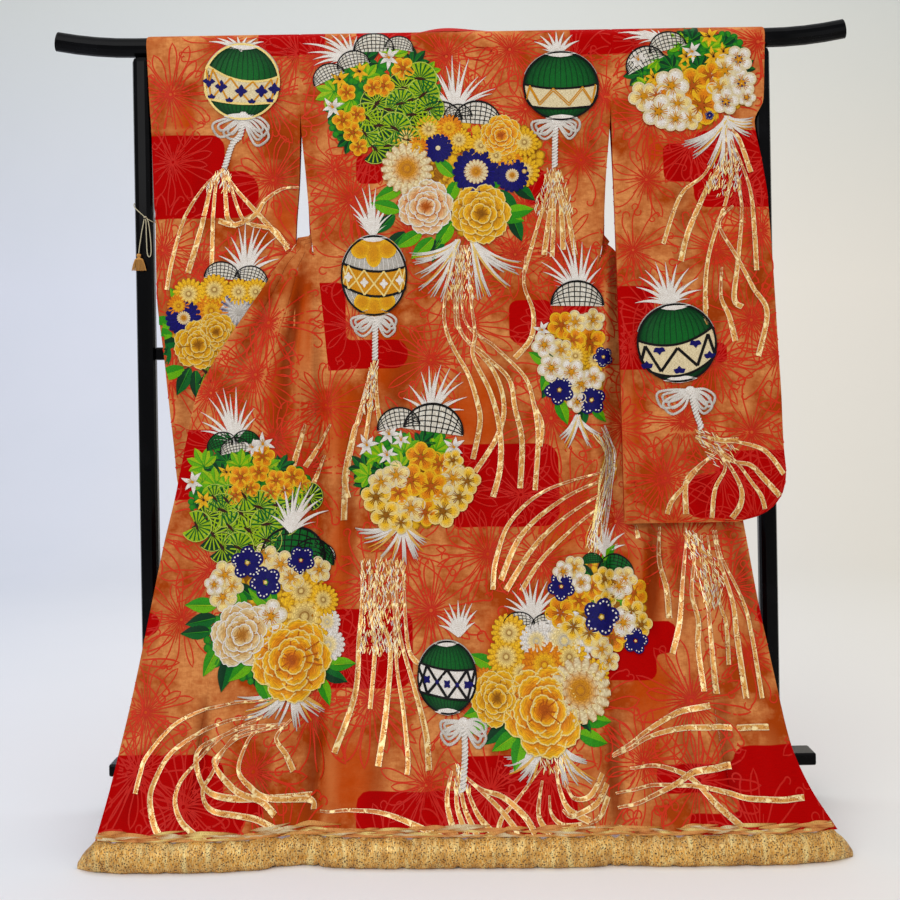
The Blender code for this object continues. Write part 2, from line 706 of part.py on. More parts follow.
def add_tassel(material):
    """A flared tassel: strands drawn down, each on its own, from the underside of one bound head."""
    bm = bmesh.new()
    across, along = TASSEL_STRANDS
    bmesh.ops.create_grid(bm, x_segments=across, y_segments=along, size=1.0)
    half_width, half_depth = TASSEL_HEAD_HALF
    for vert in bm.verts:
        u, v = vert.co.x, vert.co.y
        round_x = u * math.sqrt(1 - v * v / 2)
        round_y = v * math.sqrt(1 - u * u / 2)
        vert.co = (round_x * half_width, round_y * half_depth, TASSEL_SECTIONS[0][0])
    roots = bm.faces[:]
    section = roots
    for (low, low_x, low_y), (high, high_x, high_y) in zip(TASSEL_SECTIONS, TASSEL_SECTIONS[1:]):
        raised = bmesh.ops.extrude_face_region(bm, geom=section)["geom"]
        if section is not roots:
            bmesh.ops.delete(bm, geom=section, context="FACES_KEEP_BOUNDARY")
        section = [item for item in raised if isinstance(item, bmesh.types.BMFace)]
        moved = [item for item in raised if isinstance(item, bmesh.types.BMVert)]
        bmesh.ops.scale(bm, vec=(high_x / low_x, high_y / low_y, 1), verts=moved)
        bmesh.ops.translate(bm, vec=(0, 0, high - low), verts=moved)
    bmesh.ops.inset_individual(bm, faces=roots, thickness=TASSEL_STRAND_GAP / 2)
    for face in roots:
        at = face.calc_center_median()
        share = Vector((at.x / half_width, at.y / half_depth, 0))
        length = TASSEL_STRAND_LENGTH * (1 - 0.06 * share.x ** 2 + 0.03 * math.sin(900 * at.x + 700 * at.y))
        spread = Vector((share.x * TASSEL_SPREAD[0], share.y * TASSEL_SPREAD[1], -length))
        for step in (0.4, 0.6):
            face = bmesh.ops.extrude_discrete_faces(bm, faces=[face])["faces"][0]
            for vert in face.verts:
                vert.co += spread * step
    place = Vector((TASSEL_X, BAR_Y + TASSEL_Y, TASSEL_Z))
    bmesh.ops.translate(bm, vec=place, verts=bm.verts[:])
    finish(bm, "tie_tassel", material)


def add_bar(material):
    """The top bar: straight over the posts, with both ends swept up."""
    count = 40
    points = []
    for i in range(count + 1):
        x = mix(-BAR_HALF_LENGTH, BAR_HALF_LENGTH, i / count)
        out = max(0.0, abs(x) - BAR_RISE_FROM) / (BAR_HALF_LENGTH - BAR_RISE_FROM)
        points.append((x, BAR_Y, BAR_Z + BAR_RISE * out * out))
    bm = mesh_from_curve("stand_top_bar", points, [1.0] * len(points), BAR_RADIUS, 6)
    finish(bm, "stand_top_bar", material)


def block(name, centre, size, bevel, material):
    """A board or post with its long edges eased."""
    bm = bmesh.new()
    bmesh.ops.create_cube(bm, size=1.0)
    bmesh.ops.scale(bm, vec=size, verts=bm.verts[:])
    bmesh.ops.translate(bm, vec=centre, verts=bm.verts[:])
    mesh = bpy.data.meshes.new(name)
    bm.to_mesh(mesh)
    bm.free()
    obj = add_object(name, mesh, material)
    if bevel:
        eased = obj.modifiers.new("eased edges", "BEVEL")
        eased.width = bevel
        eased.segments = 2
        eased.limit_method = "ANGLE"
    return obj


def add_stand(material):
    foot_height = FOOT_SIZE[2]
    add_bar(material)
    rail_bottom = LOWER_RAIL_Z - LOWER_RAIL_SIZE[1] / 2
    post_low = LOWER_RAIL_Z + LOWER_RAIL_SIZE[1] / 2 + RAIL_SEAT_GAP
    post_high = BAR_Z - BAR_RADIUS - RAIL_SEAT_GAP
    for side, sign in SIDE_SIGN.items():
        x = sign * POST_X
        block(
            f"stand_post_{side}", (x, BAR_Y, (post_low + post_high) / 2),
            (POST_WIDTH, POST_WIDTH, post_high - post_low), POST_CORNER, material,
        )
        block(
            f"stand_foot_{side}", (x, BAR_Y, foot_height / 2),
            FOOT_SIZE, 0.004, material,
        )
        riser = (foot_height + RAIL_SEAT_GAP, rail_bottom - RAIL_SEAT_GAP)
        block(
            f"stand_riser_{side}", (x, BAR_Y, sum(riser) / 2),
            (POST_WIDTH, POST_WIDTH, riser[1] - riser[0]), 0.004, material,
        )
    span = 2 * POST_X
    block(
        "stand_mid_rail", (0, BAR_Y, MID_RAIL_Z),
        (span - POST_WIDTH - 2 * RAIL_SEAT_GAP, *MID_RAIL_SIZE), 0.004, material,
    )
    block(
        "stand_lower_rail", (0, BAR_Y, LOWER_RAIL_Z),
        (span + POST_WIDTH + 2 * LOWER_RAIL_OVERHANG, *LOWER_RAIL_SIZE), 0.004, material,
    )


def make_material(name, colour, roughness, metallic=0.0):
    material = bpy.data.materials.new(name)
    material.use_nodes = True
    shader = material.node_tree.nodes["Principled BSDF"]
    shader.inputs["Base Color"].default_value = (*colour, 1)
    shader.inputs["Roughness"].default_value = roughness
    shader.inputs["Metallic"].default_value = metallic
    return material


def clear_scene():
    for obj in list(bpy.data.objects):
        bpy.data.objects.remove(obj)
    holder = bpy.data.collections.new(COLLECTION)
    bpy.context.scene.collection.children.link(holder)


def main():
    clear_scene()
    satin = make_material("copper_satin", (0.62, 0.20, 0.07), 0.45)
    brocade = make_material("gold_brocade", (0.55, 0.36, 0.12), 0.40, 0.3)
    lacquer = make_material("black_lacquer", (0.01, 0.01, 0.012), 0.15)
    cord = make_material("cream_cord", (0.62, 0.58, 0.46), 0.70)
    tassel = make_material("gold_tassel", (0.62, 0.42, 0.13), 0.55)
    add_stand(lacquer)
    add_body(satin)
    add_fronts(satin)
    add_collar_back(satin)
    add_sleeves(satin)
    add_hem_roll(brocade)
    add_tie(cord)
    add_tassel(tassel)


main()
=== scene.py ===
"""Uchikake wedding kimono hung open on a black lacquer kimono stand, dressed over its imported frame.

Each cloth panel is a thin wall raised on the drape functions of its solid, with finer creases.
The woven ground, the chrysanthemum lines and the embroidery are laid on those walls in real sizes.
X runs along the bar, the garment's back faces -Y, and Z is up. Metres.
"""

import bisect
import json
import math
import random

import bmesh
import bpy
import numpy as np
from mathutils import Matrix, Vector
from mathutils.bvhtree import BVHTree
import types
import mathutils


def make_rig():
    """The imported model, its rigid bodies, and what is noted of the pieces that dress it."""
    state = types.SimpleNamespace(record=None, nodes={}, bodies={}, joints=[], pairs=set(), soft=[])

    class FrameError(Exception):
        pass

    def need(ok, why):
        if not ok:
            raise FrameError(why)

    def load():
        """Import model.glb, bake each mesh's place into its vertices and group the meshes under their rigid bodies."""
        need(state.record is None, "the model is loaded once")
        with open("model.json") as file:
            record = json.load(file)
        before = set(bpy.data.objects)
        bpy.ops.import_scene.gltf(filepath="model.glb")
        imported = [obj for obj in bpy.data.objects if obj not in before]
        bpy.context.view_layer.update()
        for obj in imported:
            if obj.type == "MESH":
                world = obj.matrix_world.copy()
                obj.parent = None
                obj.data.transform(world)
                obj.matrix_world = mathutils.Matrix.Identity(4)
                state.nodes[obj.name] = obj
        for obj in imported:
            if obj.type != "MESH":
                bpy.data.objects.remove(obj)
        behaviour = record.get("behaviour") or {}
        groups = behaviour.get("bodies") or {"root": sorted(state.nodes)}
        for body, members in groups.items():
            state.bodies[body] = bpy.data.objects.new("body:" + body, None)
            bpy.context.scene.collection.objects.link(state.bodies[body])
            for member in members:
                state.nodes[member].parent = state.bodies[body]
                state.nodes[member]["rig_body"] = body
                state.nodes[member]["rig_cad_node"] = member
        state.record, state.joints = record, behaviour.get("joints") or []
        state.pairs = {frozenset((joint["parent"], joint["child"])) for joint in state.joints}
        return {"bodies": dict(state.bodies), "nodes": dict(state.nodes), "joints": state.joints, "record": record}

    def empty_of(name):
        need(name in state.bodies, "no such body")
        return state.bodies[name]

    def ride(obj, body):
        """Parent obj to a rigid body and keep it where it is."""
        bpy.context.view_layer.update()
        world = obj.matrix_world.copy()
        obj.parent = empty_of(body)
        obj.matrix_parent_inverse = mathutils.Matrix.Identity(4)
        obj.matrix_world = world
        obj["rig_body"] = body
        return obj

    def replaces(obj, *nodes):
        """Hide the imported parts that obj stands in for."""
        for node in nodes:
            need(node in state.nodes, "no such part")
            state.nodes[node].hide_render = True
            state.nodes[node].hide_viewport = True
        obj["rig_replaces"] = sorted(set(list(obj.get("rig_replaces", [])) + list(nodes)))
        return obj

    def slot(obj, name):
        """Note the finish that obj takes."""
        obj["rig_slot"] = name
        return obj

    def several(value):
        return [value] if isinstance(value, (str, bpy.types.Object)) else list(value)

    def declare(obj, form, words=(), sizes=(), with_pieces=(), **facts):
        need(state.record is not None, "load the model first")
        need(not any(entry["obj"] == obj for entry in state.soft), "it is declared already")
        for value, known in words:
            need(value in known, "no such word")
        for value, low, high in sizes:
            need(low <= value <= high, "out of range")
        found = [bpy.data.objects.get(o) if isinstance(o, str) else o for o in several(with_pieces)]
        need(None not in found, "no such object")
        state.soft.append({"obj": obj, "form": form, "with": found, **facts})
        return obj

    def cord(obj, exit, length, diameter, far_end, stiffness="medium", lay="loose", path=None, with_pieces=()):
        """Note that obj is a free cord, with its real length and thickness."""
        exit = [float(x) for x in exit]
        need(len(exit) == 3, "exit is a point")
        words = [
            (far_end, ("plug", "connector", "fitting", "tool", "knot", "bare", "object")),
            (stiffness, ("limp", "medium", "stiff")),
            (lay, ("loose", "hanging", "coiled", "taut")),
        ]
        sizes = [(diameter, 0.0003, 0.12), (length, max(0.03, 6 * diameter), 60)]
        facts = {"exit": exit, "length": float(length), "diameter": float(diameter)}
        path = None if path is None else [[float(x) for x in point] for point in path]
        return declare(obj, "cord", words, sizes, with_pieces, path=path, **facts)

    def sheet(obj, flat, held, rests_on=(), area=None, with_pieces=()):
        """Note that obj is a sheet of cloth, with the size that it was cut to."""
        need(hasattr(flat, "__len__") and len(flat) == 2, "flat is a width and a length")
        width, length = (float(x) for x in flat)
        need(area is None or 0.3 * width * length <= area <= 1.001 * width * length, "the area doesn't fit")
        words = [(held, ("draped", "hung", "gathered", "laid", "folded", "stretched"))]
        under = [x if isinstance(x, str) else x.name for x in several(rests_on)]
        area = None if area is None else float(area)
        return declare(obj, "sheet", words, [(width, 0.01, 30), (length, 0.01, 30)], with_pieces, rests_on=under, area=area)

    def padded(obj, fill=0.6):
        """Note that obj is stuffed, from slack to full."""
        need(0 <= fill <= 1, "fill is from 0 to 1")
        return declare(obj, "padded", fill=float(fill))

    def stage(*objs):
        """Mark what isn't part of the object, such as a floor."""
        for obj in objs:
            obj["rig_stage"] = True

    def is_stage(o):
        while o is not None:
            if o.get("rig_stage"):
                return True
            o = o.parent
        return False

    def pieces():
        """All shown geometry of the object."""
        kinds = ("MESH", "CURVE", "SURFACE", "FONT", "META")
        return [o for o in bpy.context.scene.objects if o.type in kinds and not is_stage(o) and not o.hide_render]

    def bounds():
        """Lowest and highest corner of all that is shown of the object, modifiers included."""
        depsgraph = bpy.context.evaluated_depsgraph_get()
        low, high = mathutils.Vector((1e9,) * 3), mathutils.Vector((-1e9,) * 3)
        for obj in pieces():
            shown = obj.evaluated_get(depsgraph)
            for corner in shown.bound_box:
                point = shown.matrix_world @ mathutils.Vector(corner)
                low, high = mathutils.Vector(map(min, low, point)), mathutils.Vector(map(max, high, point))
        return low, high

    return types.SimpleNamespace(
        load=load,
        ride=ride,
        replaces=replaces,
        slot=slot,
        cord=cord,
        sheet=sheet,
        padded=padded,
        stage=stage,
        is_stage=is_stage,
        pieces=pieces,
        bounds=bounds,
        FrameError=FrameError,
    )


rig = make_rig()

bl_info = {
    "name": "Uchikake wedding kimono on a stand",
    "version": (1, 0, 0),
    "blender": (4, 5, 0),
    "location": "View3D > Sidebar > Kimono",
    "description": "Builds the kimono's cloth, embroidery, hem roll, tie and lacquered stand",
    "category": "Object",
}

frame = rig.load()
CAD_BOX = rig.bounds()

# Stand
BAR_Y = 0.1149
BAR_Z = 1.694
BAR_RADIUS = 0.0215
POST_X = 0.6855

# Garment
CENTRE_X = 0.012
WALL = 0.0020
SEAM = 0.0004
OVERLAP = 0.0002
COLLAR_START = 0.0013
BAR_CLEARANCE = 0.0006
WRAP_RADIUS = BAR_RADIUS + BAR_CLEARANCE + WALL / 2
NECK_HALF_WIDTH = 0.092
HEM_Z = 0.0544
SLIT_TOP_Z = 1.534
CUFF_END_Z = 1.330
SLEEVE_END_Z = 0.633
SLEEVE_CLOSE_WIDTH = 0.045
COLLAR_END_Z = 0.720
COLLAR_BACK_DROP = 0.088
COLLAR_BUMP = 0.0165
COLLAR_BUMP_TURN = 0.35
COLLAR_BUMP_RIPPLE = 0.25
SLEEVE_END_ROUNDNESS = 1.4
SIDE_SIGN = {"left": -1.0, "right": 1.0}

# Hem roll
ROLL_RADIUS = 0.0282
ROLL_FLAT = 0.0030
ROLL_TIP_RADIUS = 0.0070
ROLL_HALF_LENGTH = 0.757

# Tie cord and tassel on the left post. Depths are from the bar's plane.
CORD_DIAMETER = 0.0022
TIE_HALF_WIDTH = 0.0223
TIE_Z = 1.3275
TIE_SLANT = 0.0225
TIE_HIGH_SIDE = math.radians(160)
KNOT_RADIUS = 0.0036
KNOT_X = -0.6790
KNOT_GAP = 0.0004
TASSEL_X = -0.6935
TASSEL_Y = -0.0310
TASSEL_Z = 1.2205
TASSEL_HEAD_HALF = (0.0095, 0.0042)
TASSEL_STRAND_LENGTH = 0.0255
TASSEL_SPREAD = (0.0095, 0.0022)
# Sections of the tassel's head from its underside up: height, and shares of its width and depth.
TASSEL_SECTIONS = (
    (0.0000, 1.00, 1.00),
    (0.0022, 0.80, 0.92),
    (0.0045, 0.34, 0.66),
    (0.0060, 0.28, 0.55),
    (0.0078, 0.46, 0.92),
    (0.0105, 0.50, 1.00),
    (0.0128, 0.36, 0.72),
    (0.0140, 0.12, 0.26),
)
# Routes from the knot: out from its centre across and up, in metres.
TAIL_ROUTE = (
    (-0.0020, -0.0038),
    (-0.0045, -0.0160),
    (-0.0078, -0.0330),
    (-0.0105, -0.0500),
    (-0.0128, -0.0650),
    (-0.0143, -0.0786),
)
LOOP_ROUTE = (
    (0.0010, -0.0042),
    (0.0018, -0.0120),
    (0.0020, -0.0300),
    (0.0024, -0.0520),
    (0.0030, -0.0720),
    (0.0044, -0.0830),
    (0.0078, -0.0872),
    (0.0112, -0.0830),
    (0.0122, -0.0700),
    (0.0112, -0.0480),
    (0.0092, -0.0260),
    (0.0070, -0.0110),
    (0.0042, -0.0018),
)


class Track:
    """A smooth curve through the rows of a table, with no overshoot between them."""

    def __init__(self, pairs):
        ordered = sorted(pairs)
        self.at = [pair[0] for pair in ordered]
        self.values = [pair[1] for pair in ordered]
        steps = [b - a for a, b in zip(self.at, self.at[1:])]
        rises = [(b - a) / step for a, b, step in zip(self.values, self.values[1:], steps)]
        self.slopes = [rises[0]]
        for before, after in zip(rises, rises[1:]):
            same_way = before * after > 0
            self.slopes.append(2 * before * after / (before + after) if same_way else 0.0)
        self.slopes.append(rises[-1])

    def __call__(self, at):
        at = min(max(at, self.at[0]), self.at[-1])
        i = min(max(bisect.bisect_right(self.at, at) - 1, 0), len(self.at) - 2)
        step = self.at[i + 1] - self.at[i]
        t = (at - self.at[i]) / step
        hermite = (
            (1 + 2 * t) * (1 - t) ** 2,
            t * (1 - t) ** 2 * step,
            t * t * (3 - 2 * t),
            t * t * (t - 1) * step,
        )
        parts = (self.values[i], self.slopes[i], self.values[i + 1], self.slopes[i + 1])
        return sum(h * p for h, p in zip(hermite, parts))


def tracks(columns, rows):
    """One Track for each column after the first, keyed by name. The first column is the height."""
    names = columns.split()[1:]
    return {name: Track([(row[0], row[i]) for row in rows]) for i, name in enumerate(names, 1)}


# Edges of the panels on the viewed side, by height.
SIDE_SEAM = tracks("z left right", (
    (1.694, -0.3340, 0.3560),
    (1.534, -0.3330, 0.3500),
    (1.385, -0.3220, 0.3370),
    (1.250, -0.3110, 0.3270),
    (1.170, -0.3000, 0.3120),
    (1.040, -0.2870, 0.3000),
    (0.910, -0.2750, 0.2920),
    (0.750, -0.2660, 0.2880),
    (0.570, -0.2590, 0.2900),
    (0.450, -0.2680, 0.2990),
    (0.300, -0.2850, 0.3050),
    (0.180, -0.2930, 0.3010),
    (0.100, -0.3020, 0.2970),
    (0.050, -0.3130, 0.2960),
))
CENTRE_SEAM = Track(((1.72, CENTRE_X), (0.90, 0.004), (0.05, 0.002)))
OUTER_EDGE = tracks("z left right", (
    (1.243, -0.3450, 0.3380),
    (1.216, -0.3780, 0.3640),
    (1.166, -0.4110, 0.4080),
    (1.090, -0.4640, 0.4640),
    (1.000, -0.5240, 0.5200),
    (0.915, -0.5660, 0.5590),
    (0.800, -0.5900, 0.5900),
    (0.700, -0.6090, 0.6020),
    (0.600, -0.6310, 0.6140),
    (0.450, -0.6560, 0.6300),
    (0.300, -0.6800, 0.6490),
    (0.200, -0.6960, 0.6610),
    (0.130, -0.7070, 0.6840),
    (0.050, -0.7220, 0.7300),
))
# Shares of a front's width, from its side seam, where the overlap and the collar begin.
FRONT_SHARES = tracks("z overlap collar", (
    (1.700, 0.740, 0.740),
    (1.560, 0.728, 0.742),
    (1.420, 0.660, 0.745),
    (1.300, 0.590, 0.760),
    (1.215, 0.520, 0.790),
    (1.090, 0.490, 0.815),
    (0.900, 0.490, 0.840),
    (0.750, 0.540, 0.865),
    (0.550, 0.600, 0.870),
    (0.200, 0.607, 0.870),
    (0.050, 0.560, 0.870),
))

# Depth of the cloth from the bar's plane, towards the viewer negative, by height.
DEPTH = tracks("z body right_front left_seen left_hidden right_seen right_hidden", (
    (1.694, -0.0231, -0.0231, -0.0231, 0.0231, -0.0231, 0.0231),
    (1.620, -0.0240, -0.0240, -0.0240, 0.0190, -0.0240, 0.0185),
    (1.534, -0.0270, -0.0270, -0.0262, 0.0125, -0.0275, 0.0115),
    (1.400, -0.0320, -0.0200, -0.0290, -0.0020, -0.0360, -0.0180),
    (1.360, -0.0340, -0.0160, -0.0295, -0.0050, -0.0400, -0.0265),
    (1.330, -0.0350, -0.0120, -0.0300, -0.0080, -0.0430, -0.0300),
    (1.200, -0.0420, -0.0080, -0.0330, -0.0150, -0.0600, -0.0450),
    (1.100, -0.0490, -0.0160, -0.0350, -0.0180, -0.0700, -0.0550),
    (1.014, -0.0570, -0.0260, -0.0370, -0.0190, -0.0790, -0.0640),
    (0.900, -0.0700, -0.0430, -0.0440, -0.0270, -0.0930, -0.0780),
    (0.800, -0.0840, -0.0620, -0.0540, -0.0380, -0.1080, -0.0930),
    (0.700, -0.0990, -0.0860, -0.0650, -0.0500, -0.1250, -0.1110),
    (0.600, -0.1180, -0.1150, -0.0760, -0.0640, -0.1400, -0.1280),
    (0.450, -0.1620, -0.1620, -0.0900, -0.0800, -0.1600, -0.1500),
    (0.300, -0.2160, -0.2160, -0.1000, -0.0900, -0.1800, -0.1700),
    (0.180, -0.2840, -0.2840, -0.1100, -0.1000, -0.2000, -0.1900),
    (0.100, -0.3400, -0.3400, -0.1200, -0.1100, -0.2200, -0.2100),
    (0.050, -0.3790, -0.3790, -0.1300, -0.1200, -0.2400, -0.2300),
))
# How far the hem line stands out from or back from the body depth, by X.
HEM_SWAY = Track((
    (-0.760, 0.022),
    (-0.660, -0.002),
    (-0.500, -0.006),
    (-0.400, 0.006),
    (-0.320, 0.030),
    (-0.240, 0.008),
    (-0.100, -0.002),
    (0.060, -0.006),
    (0.200, -0.010),
    (0.300, -0.004),
    (0.420, -0.014),
    (0.600, -0.014),
    (0.690, -0.002),
    (0.760, 0.020),
))

# Outer edges of the sleeves by height, as seen and on the hidden layer.
SLEEVE_EDGE = tracks("z left_seen left_hidden right_seen right_hidden", (
    (1.694, -0.6710, -0.6580, 0.6930, 0.6580),
    (1.552, -0.6650, -0.6580, 0.6870, 0.6580),
    (1.504, -0.6620, -0.6580, 0.6660, 0.6580),
    (1.420, -0.6600, -0.6580, 0.6790, 0.6580),
    (1.360, -0.6585, -0.6580, 0.6870, 0.6600),
    (1.330, -0.6580, -0.6580, 0.6900, 0.6890),
    (1.150, -0.6560, -0.6560, 0.6960, 0.6960),
    (1.005, -0.6410, -0.6410, 0.6990, 0.6990),
    (0.900, -0.6310, -0.6310, 0.7010, 0.7010),
    (0.800, -0.6190, -0.6190, 0.7000, 0.7000),
    (0.740, -0.6130, -0.6130, 0.7020, 0.7020),
    (0.700, -0.6030, -0.6030, 0.6950, 0.6950),
    (0.665, -0.5850, -0.5850, 0.6720, 0.6720),
    (0.645, -0.5600, -0.5600, 0.6400, 0.6400),
    (0.633, -0.5200, -0.5200, 0.5950, 0.5950),
))
# Inner edges of the sleeves below the slit's top.
SLEEVE_SLIT = tracks("z left right", (
    (1.534, -0.3336, 0.3506),
    (1.400, -0.3380, 0.3520),
    (1.270, -0.3470, 0.3530),
    (1.000, -0.3520, 0.3540),
    (0.633, -0.3520, 0.3520),
))

# Path of a front from the bar, down behind it and through the slit. Each row is one line across the
# cloth: the height above the gather, the distance out from the body's edge and the depth, at the
# side seam and then at the collar's outer edge, where the distance is out from the centre line.
GATHER_ROWS = tracks("v side_rise side_out side_y edge_rise edge_out edge_y", (
    (0.00, 0.458, 0.0000, 0.0231, 0.458, 0.0200, 0.0231),
    (0.15, 0.380, 0.0000, 0.0195, 0.382, 0.0280, 0.0205),
    (0.30, 0.298, 0.0000, 0.0125, 0.306, 0.0820, 0.0175),
    (0.50, 0.184, 0.0020, 0.0120, 0.206, 0.1760, 0.0140),
    (0.65, 0.094, 0.0040, 0.0100, 0.120, 0.2560, 0.0110),
    (0.78, 0.049, 0.0055, 0.0040, 0.074, 0.2960, 0.0060),
    (0.90, 0.019, 0.0045, -0.0100, 0.051, 0.3160, -0.0040),
    (1.00, 0.000, 0.0030, -0.0300, 0.032, 0.3330, -0.0200),
))

# The collar behind the neck hangs with the fronts' edges: this row lies this far below the bar.
COLLAR_ROW = 0.15
COLLAR_ROW_DROP = 0.078
# Heights in the table are for this drop from the bar to the gather, and stretch with the real one.
PATH_DROP = 0.458
GATHER_Z = {"left": 1.236, "right": 1.214}
GATHER_TURN = 0.022
GATHER_SIDE_OUT = 0.003
RIGHT_EDGE_Y = -0.004
EDGE_LEAD = 0.032
EDGE_LEAD_TO_Z = 0.860
SEAM_HALF = 0.0001
# How far each front reaches in past the side seam, where it turns outwards below the gather.
SIDE_TUCK = 0.0045
# Where the right front passes behind the right sleeve, and where the hem's sway ends.
BEHIND_SLEEVE_X = (0.318, 0.372)
BEHIND_SLEEVE_Z = (0.44, 0.60)
HEM_SWAY_Z = (0.05, 0.62)

# Largest folds on the viewed side: where each starts, across and up, where it ends, its half width
# and its height towards the viewer. A negative height is a valley.
FOLDS = (
    (-0.322, 1.230, -0.300, 0.060, 0.024, -0.016),
    (-0.338, 1.150, -0.330, 0.850, 0.014, -0.014),
    (-0.270, 0.980, -0.262, 0.420, 0.022, 0.010),
    (-0.245, 0.520, -0.235, 0.080, 0.020, -0.012),
    (0.050, 0.860, 0.075, 0.420, 0.020, -0.010),
    (0.110, 0.900, 0.140, 0.350, 0.026, 0.012),
    (0.300, 0.980, 0.300, 0.420, 0.016, 0.010),
    (0.336, 1.000, 0.330, 0.440, 0.020, -0.016),
    (0.420, 0.640, 0.450, 0.220, 0.028, -0.016),
    (0.500, 0.560, 0.560, 0.140, 0.026, 0.014),
    (-0.470, 0.760, -0.520, 0.160, 0.030, 0.010),
    (-0.560, 0.600, -0.600, 0.120, 0.030, -0.010),
    (-0.060, 0.340, -0.050, 0.060, 0.024, -0.010),
    (0.180, 0.300, 0.190, 0.060, 0.022, -0.010),
)


def smooth(low, high, value):
    t = min(max((value - low) / (high - low), 0.0), 1.0)
    return t * t * (3 - 2 * t)


def mix(a, b, t):
    return a + (b - a) * t


def fold_height(x, z):
    """Sum of the folds at a place, each fading out towards its two ends."""
    total = 0.0
    for top_x, top_z, bottom_x, bottom_z, half_width, height in FOLDS:
        t = (top_z - z) / (top_z - bottom_z)
        if 0.0 < t < 1.0:
            across = (x - mix(top_x, bottom_x, t)) / half_width
            total += height * math.exp(-across * across) * math.sin(math.pi * t) ** 0.7
    return total


def body_depth(x, z):
    """Depth of the joined panels on the viewed side, below and beside the bar."""
    behind_sleeve = smooth(*BEHIND_SLEEVE_X, x) * smooth(*BEHIND_SLEEVE_Z, z)
    depth = mix(DEPTH["body"](z), DEPTH["right_front"](z), behind_sleeve)
    sway = HEM_SWAY(x) * (1 - smooth(*HEM_SWAY_Z, z))
    return depth + sway - fold_height(x, z)


def over_bar(share, x, far=False):
    """A point on the quarter turn over the bar: share 0 is level with its axis, 1 is on top."""
    angle = math.pi / 2 * share
    depth = WRAP_RADIUS * math.cos(angle)
    return Vector((x, depth if far else -depth, BAR_Z + WRAP_RADIUS * math.sin(angle)))


# Drape functions. Each takes a share across, u, and a row, v, and gives a point by the bar's plane.

def back_panel(side):
    """From the top of the bar, v 0, down the viewed side to the hem."""
    sign = SIDE_SIGN[side]

    def point(u, v):
        z = min(v, BAR_Z)
        inner = CENTRE_SEAM(z) - sign * OVERLAP
        outer = SIDE_SEAM[side](z)
        x = mix(inner, outer, u)
        if v > BAR_Z:
            return over_bar((v - BAR_Z) / WRAP_RADIUS, x)
        return Vector((x, body_depth(x, z), z))

    return point


def front_edges(side, v):
    """The side-seam point and the outer-edge point of one line across a front at row v."""
    sign = SIDE_SIGN[side]
    gather = GATHER_Z[side]
    seam = SIDE_SEAM[side]
    edge = OUTER_EDGE[side]
    if v >= BAR_Z:
        share = (v - BAR_Z) / WRAP_RADIUS
        at_side = over_bar(share, seam(BAR_Z), far=True)
        at_edge = over_bar(share, CENTRE_X + sign * 0.020, far=True)
        return at_side, at_edge
    if v >= gather:
        row = 1 - (v - gather) / (BAR_Z - gather)
        look = {name: track(row) for name, track in GATHER_ROWS.items()}
        stretch = (BAR_Z - gather) / PATH_DROP
        side_z = gather + look["side_rise"] * stretch
        edge_z = gather + look["edge_rise"] * stretch
        clear = SEAM * (1 - smooth(SLIT_TOP_Z - 0.06, SLIT_TOP_Z, side_z))
        side_x = seam(side_z) + sign * (look["side_out"] + clear)
        at_side = Vector((side_x, look["side_y"], side_z))
        edge_y = look["edge_y"]
        if side == "right":
            edge_y = mix(edge_y, RIGHT_EDGE_Y, smooth(0.8, 1, row))
        return at_side, Vector((CENTRE_X + sign * look["edge_out"], edge_y, edge_z))
    lead = EDGE_LEAD * smooth(EDGE_LEAD_TO_Z, gather, v)
    side_out = SEAM + GATHER_SIDE_OUT * smooth(gather - GATHER_TURN, gather, v)
    at_side = Vector((seam(v) + sign * side_out, 0, v))
    edge_z = v + lead
    return at_side, Vector((edge(edge_z), 0, edge_z))


def front_sheet(side):
    """The whole front from the top of the bar to the hem: front panel, overlap and collar."""
    gather = GATHER_Z[side]

    def point(u, v):
        at_side, at_edge = front_edges(side, v)
        place = at_side.lerp(at_edge, u)
        if v < gather:
            free = body_depth(place.x, place.z)
            start_side, start_edge = front_edges(side, gather)
            held = mix(start_side.y, start_edge.y, u)
            place.y = mix(free, held, smooth(gather - GATHER_TURN, gather, v))
        return place

    return point


def sleeve_layer(side, layer):
    """One layer of a sleeve, seen or hidden, from the top of the bar to the closed lower edge."""
    sign = SIDE_SIGN[side]
    other = "hidden" if layer == "seen" else "seen"
    own_depth = DEPTH[f"{side}_{layer}"]
    other_depth = DEPTH[f"{side}_{other}"]
    outer_edge = SLEEVE_EDGE[f"{side}_{layer}"]

    def point(u, v):
        z = min(v, BAR_Z)
        inner = SLEEVE_SLIT[side](z) if z < SLIT_TOP_Z else SIDE_SEAM[side](z) - sign * OVERLAP
        outer = outer_edge(z)
        x = mix(inner, outer, u)
        if v > BAR_Z:
            return over_bar((v - BAR_Z) / WRAP_RADIUS, x, far=layer == "hidden")
        cuff = smooth(CUFF_END_Z - 0.01, CUFF_END_Z + 0.05, z)
        from_side = abs(outer - x) / SLEEVE_CLOSE_WIDTH + 4 * cuff
        from_end = (z - SLEEVE_END_Z) * SLEEVE_END_ROUNDNESS / SLEEVE_CLOSE_WIDTH
        reach = min(from_side, from_end)
        open_share = math.sin(math.pi / 2 * min(max(reach, 0.0), 1.0))
        middle = (own_depth(z) + other_depth(z)) / 2
        half = (own_depth(z) - other_depth(z)) / 2
        closed_half = math.copysign((WALL + SEAM) / 2, half)
        return Vector((x, middle + mix(closed_half, half, open_share), z))

    return point


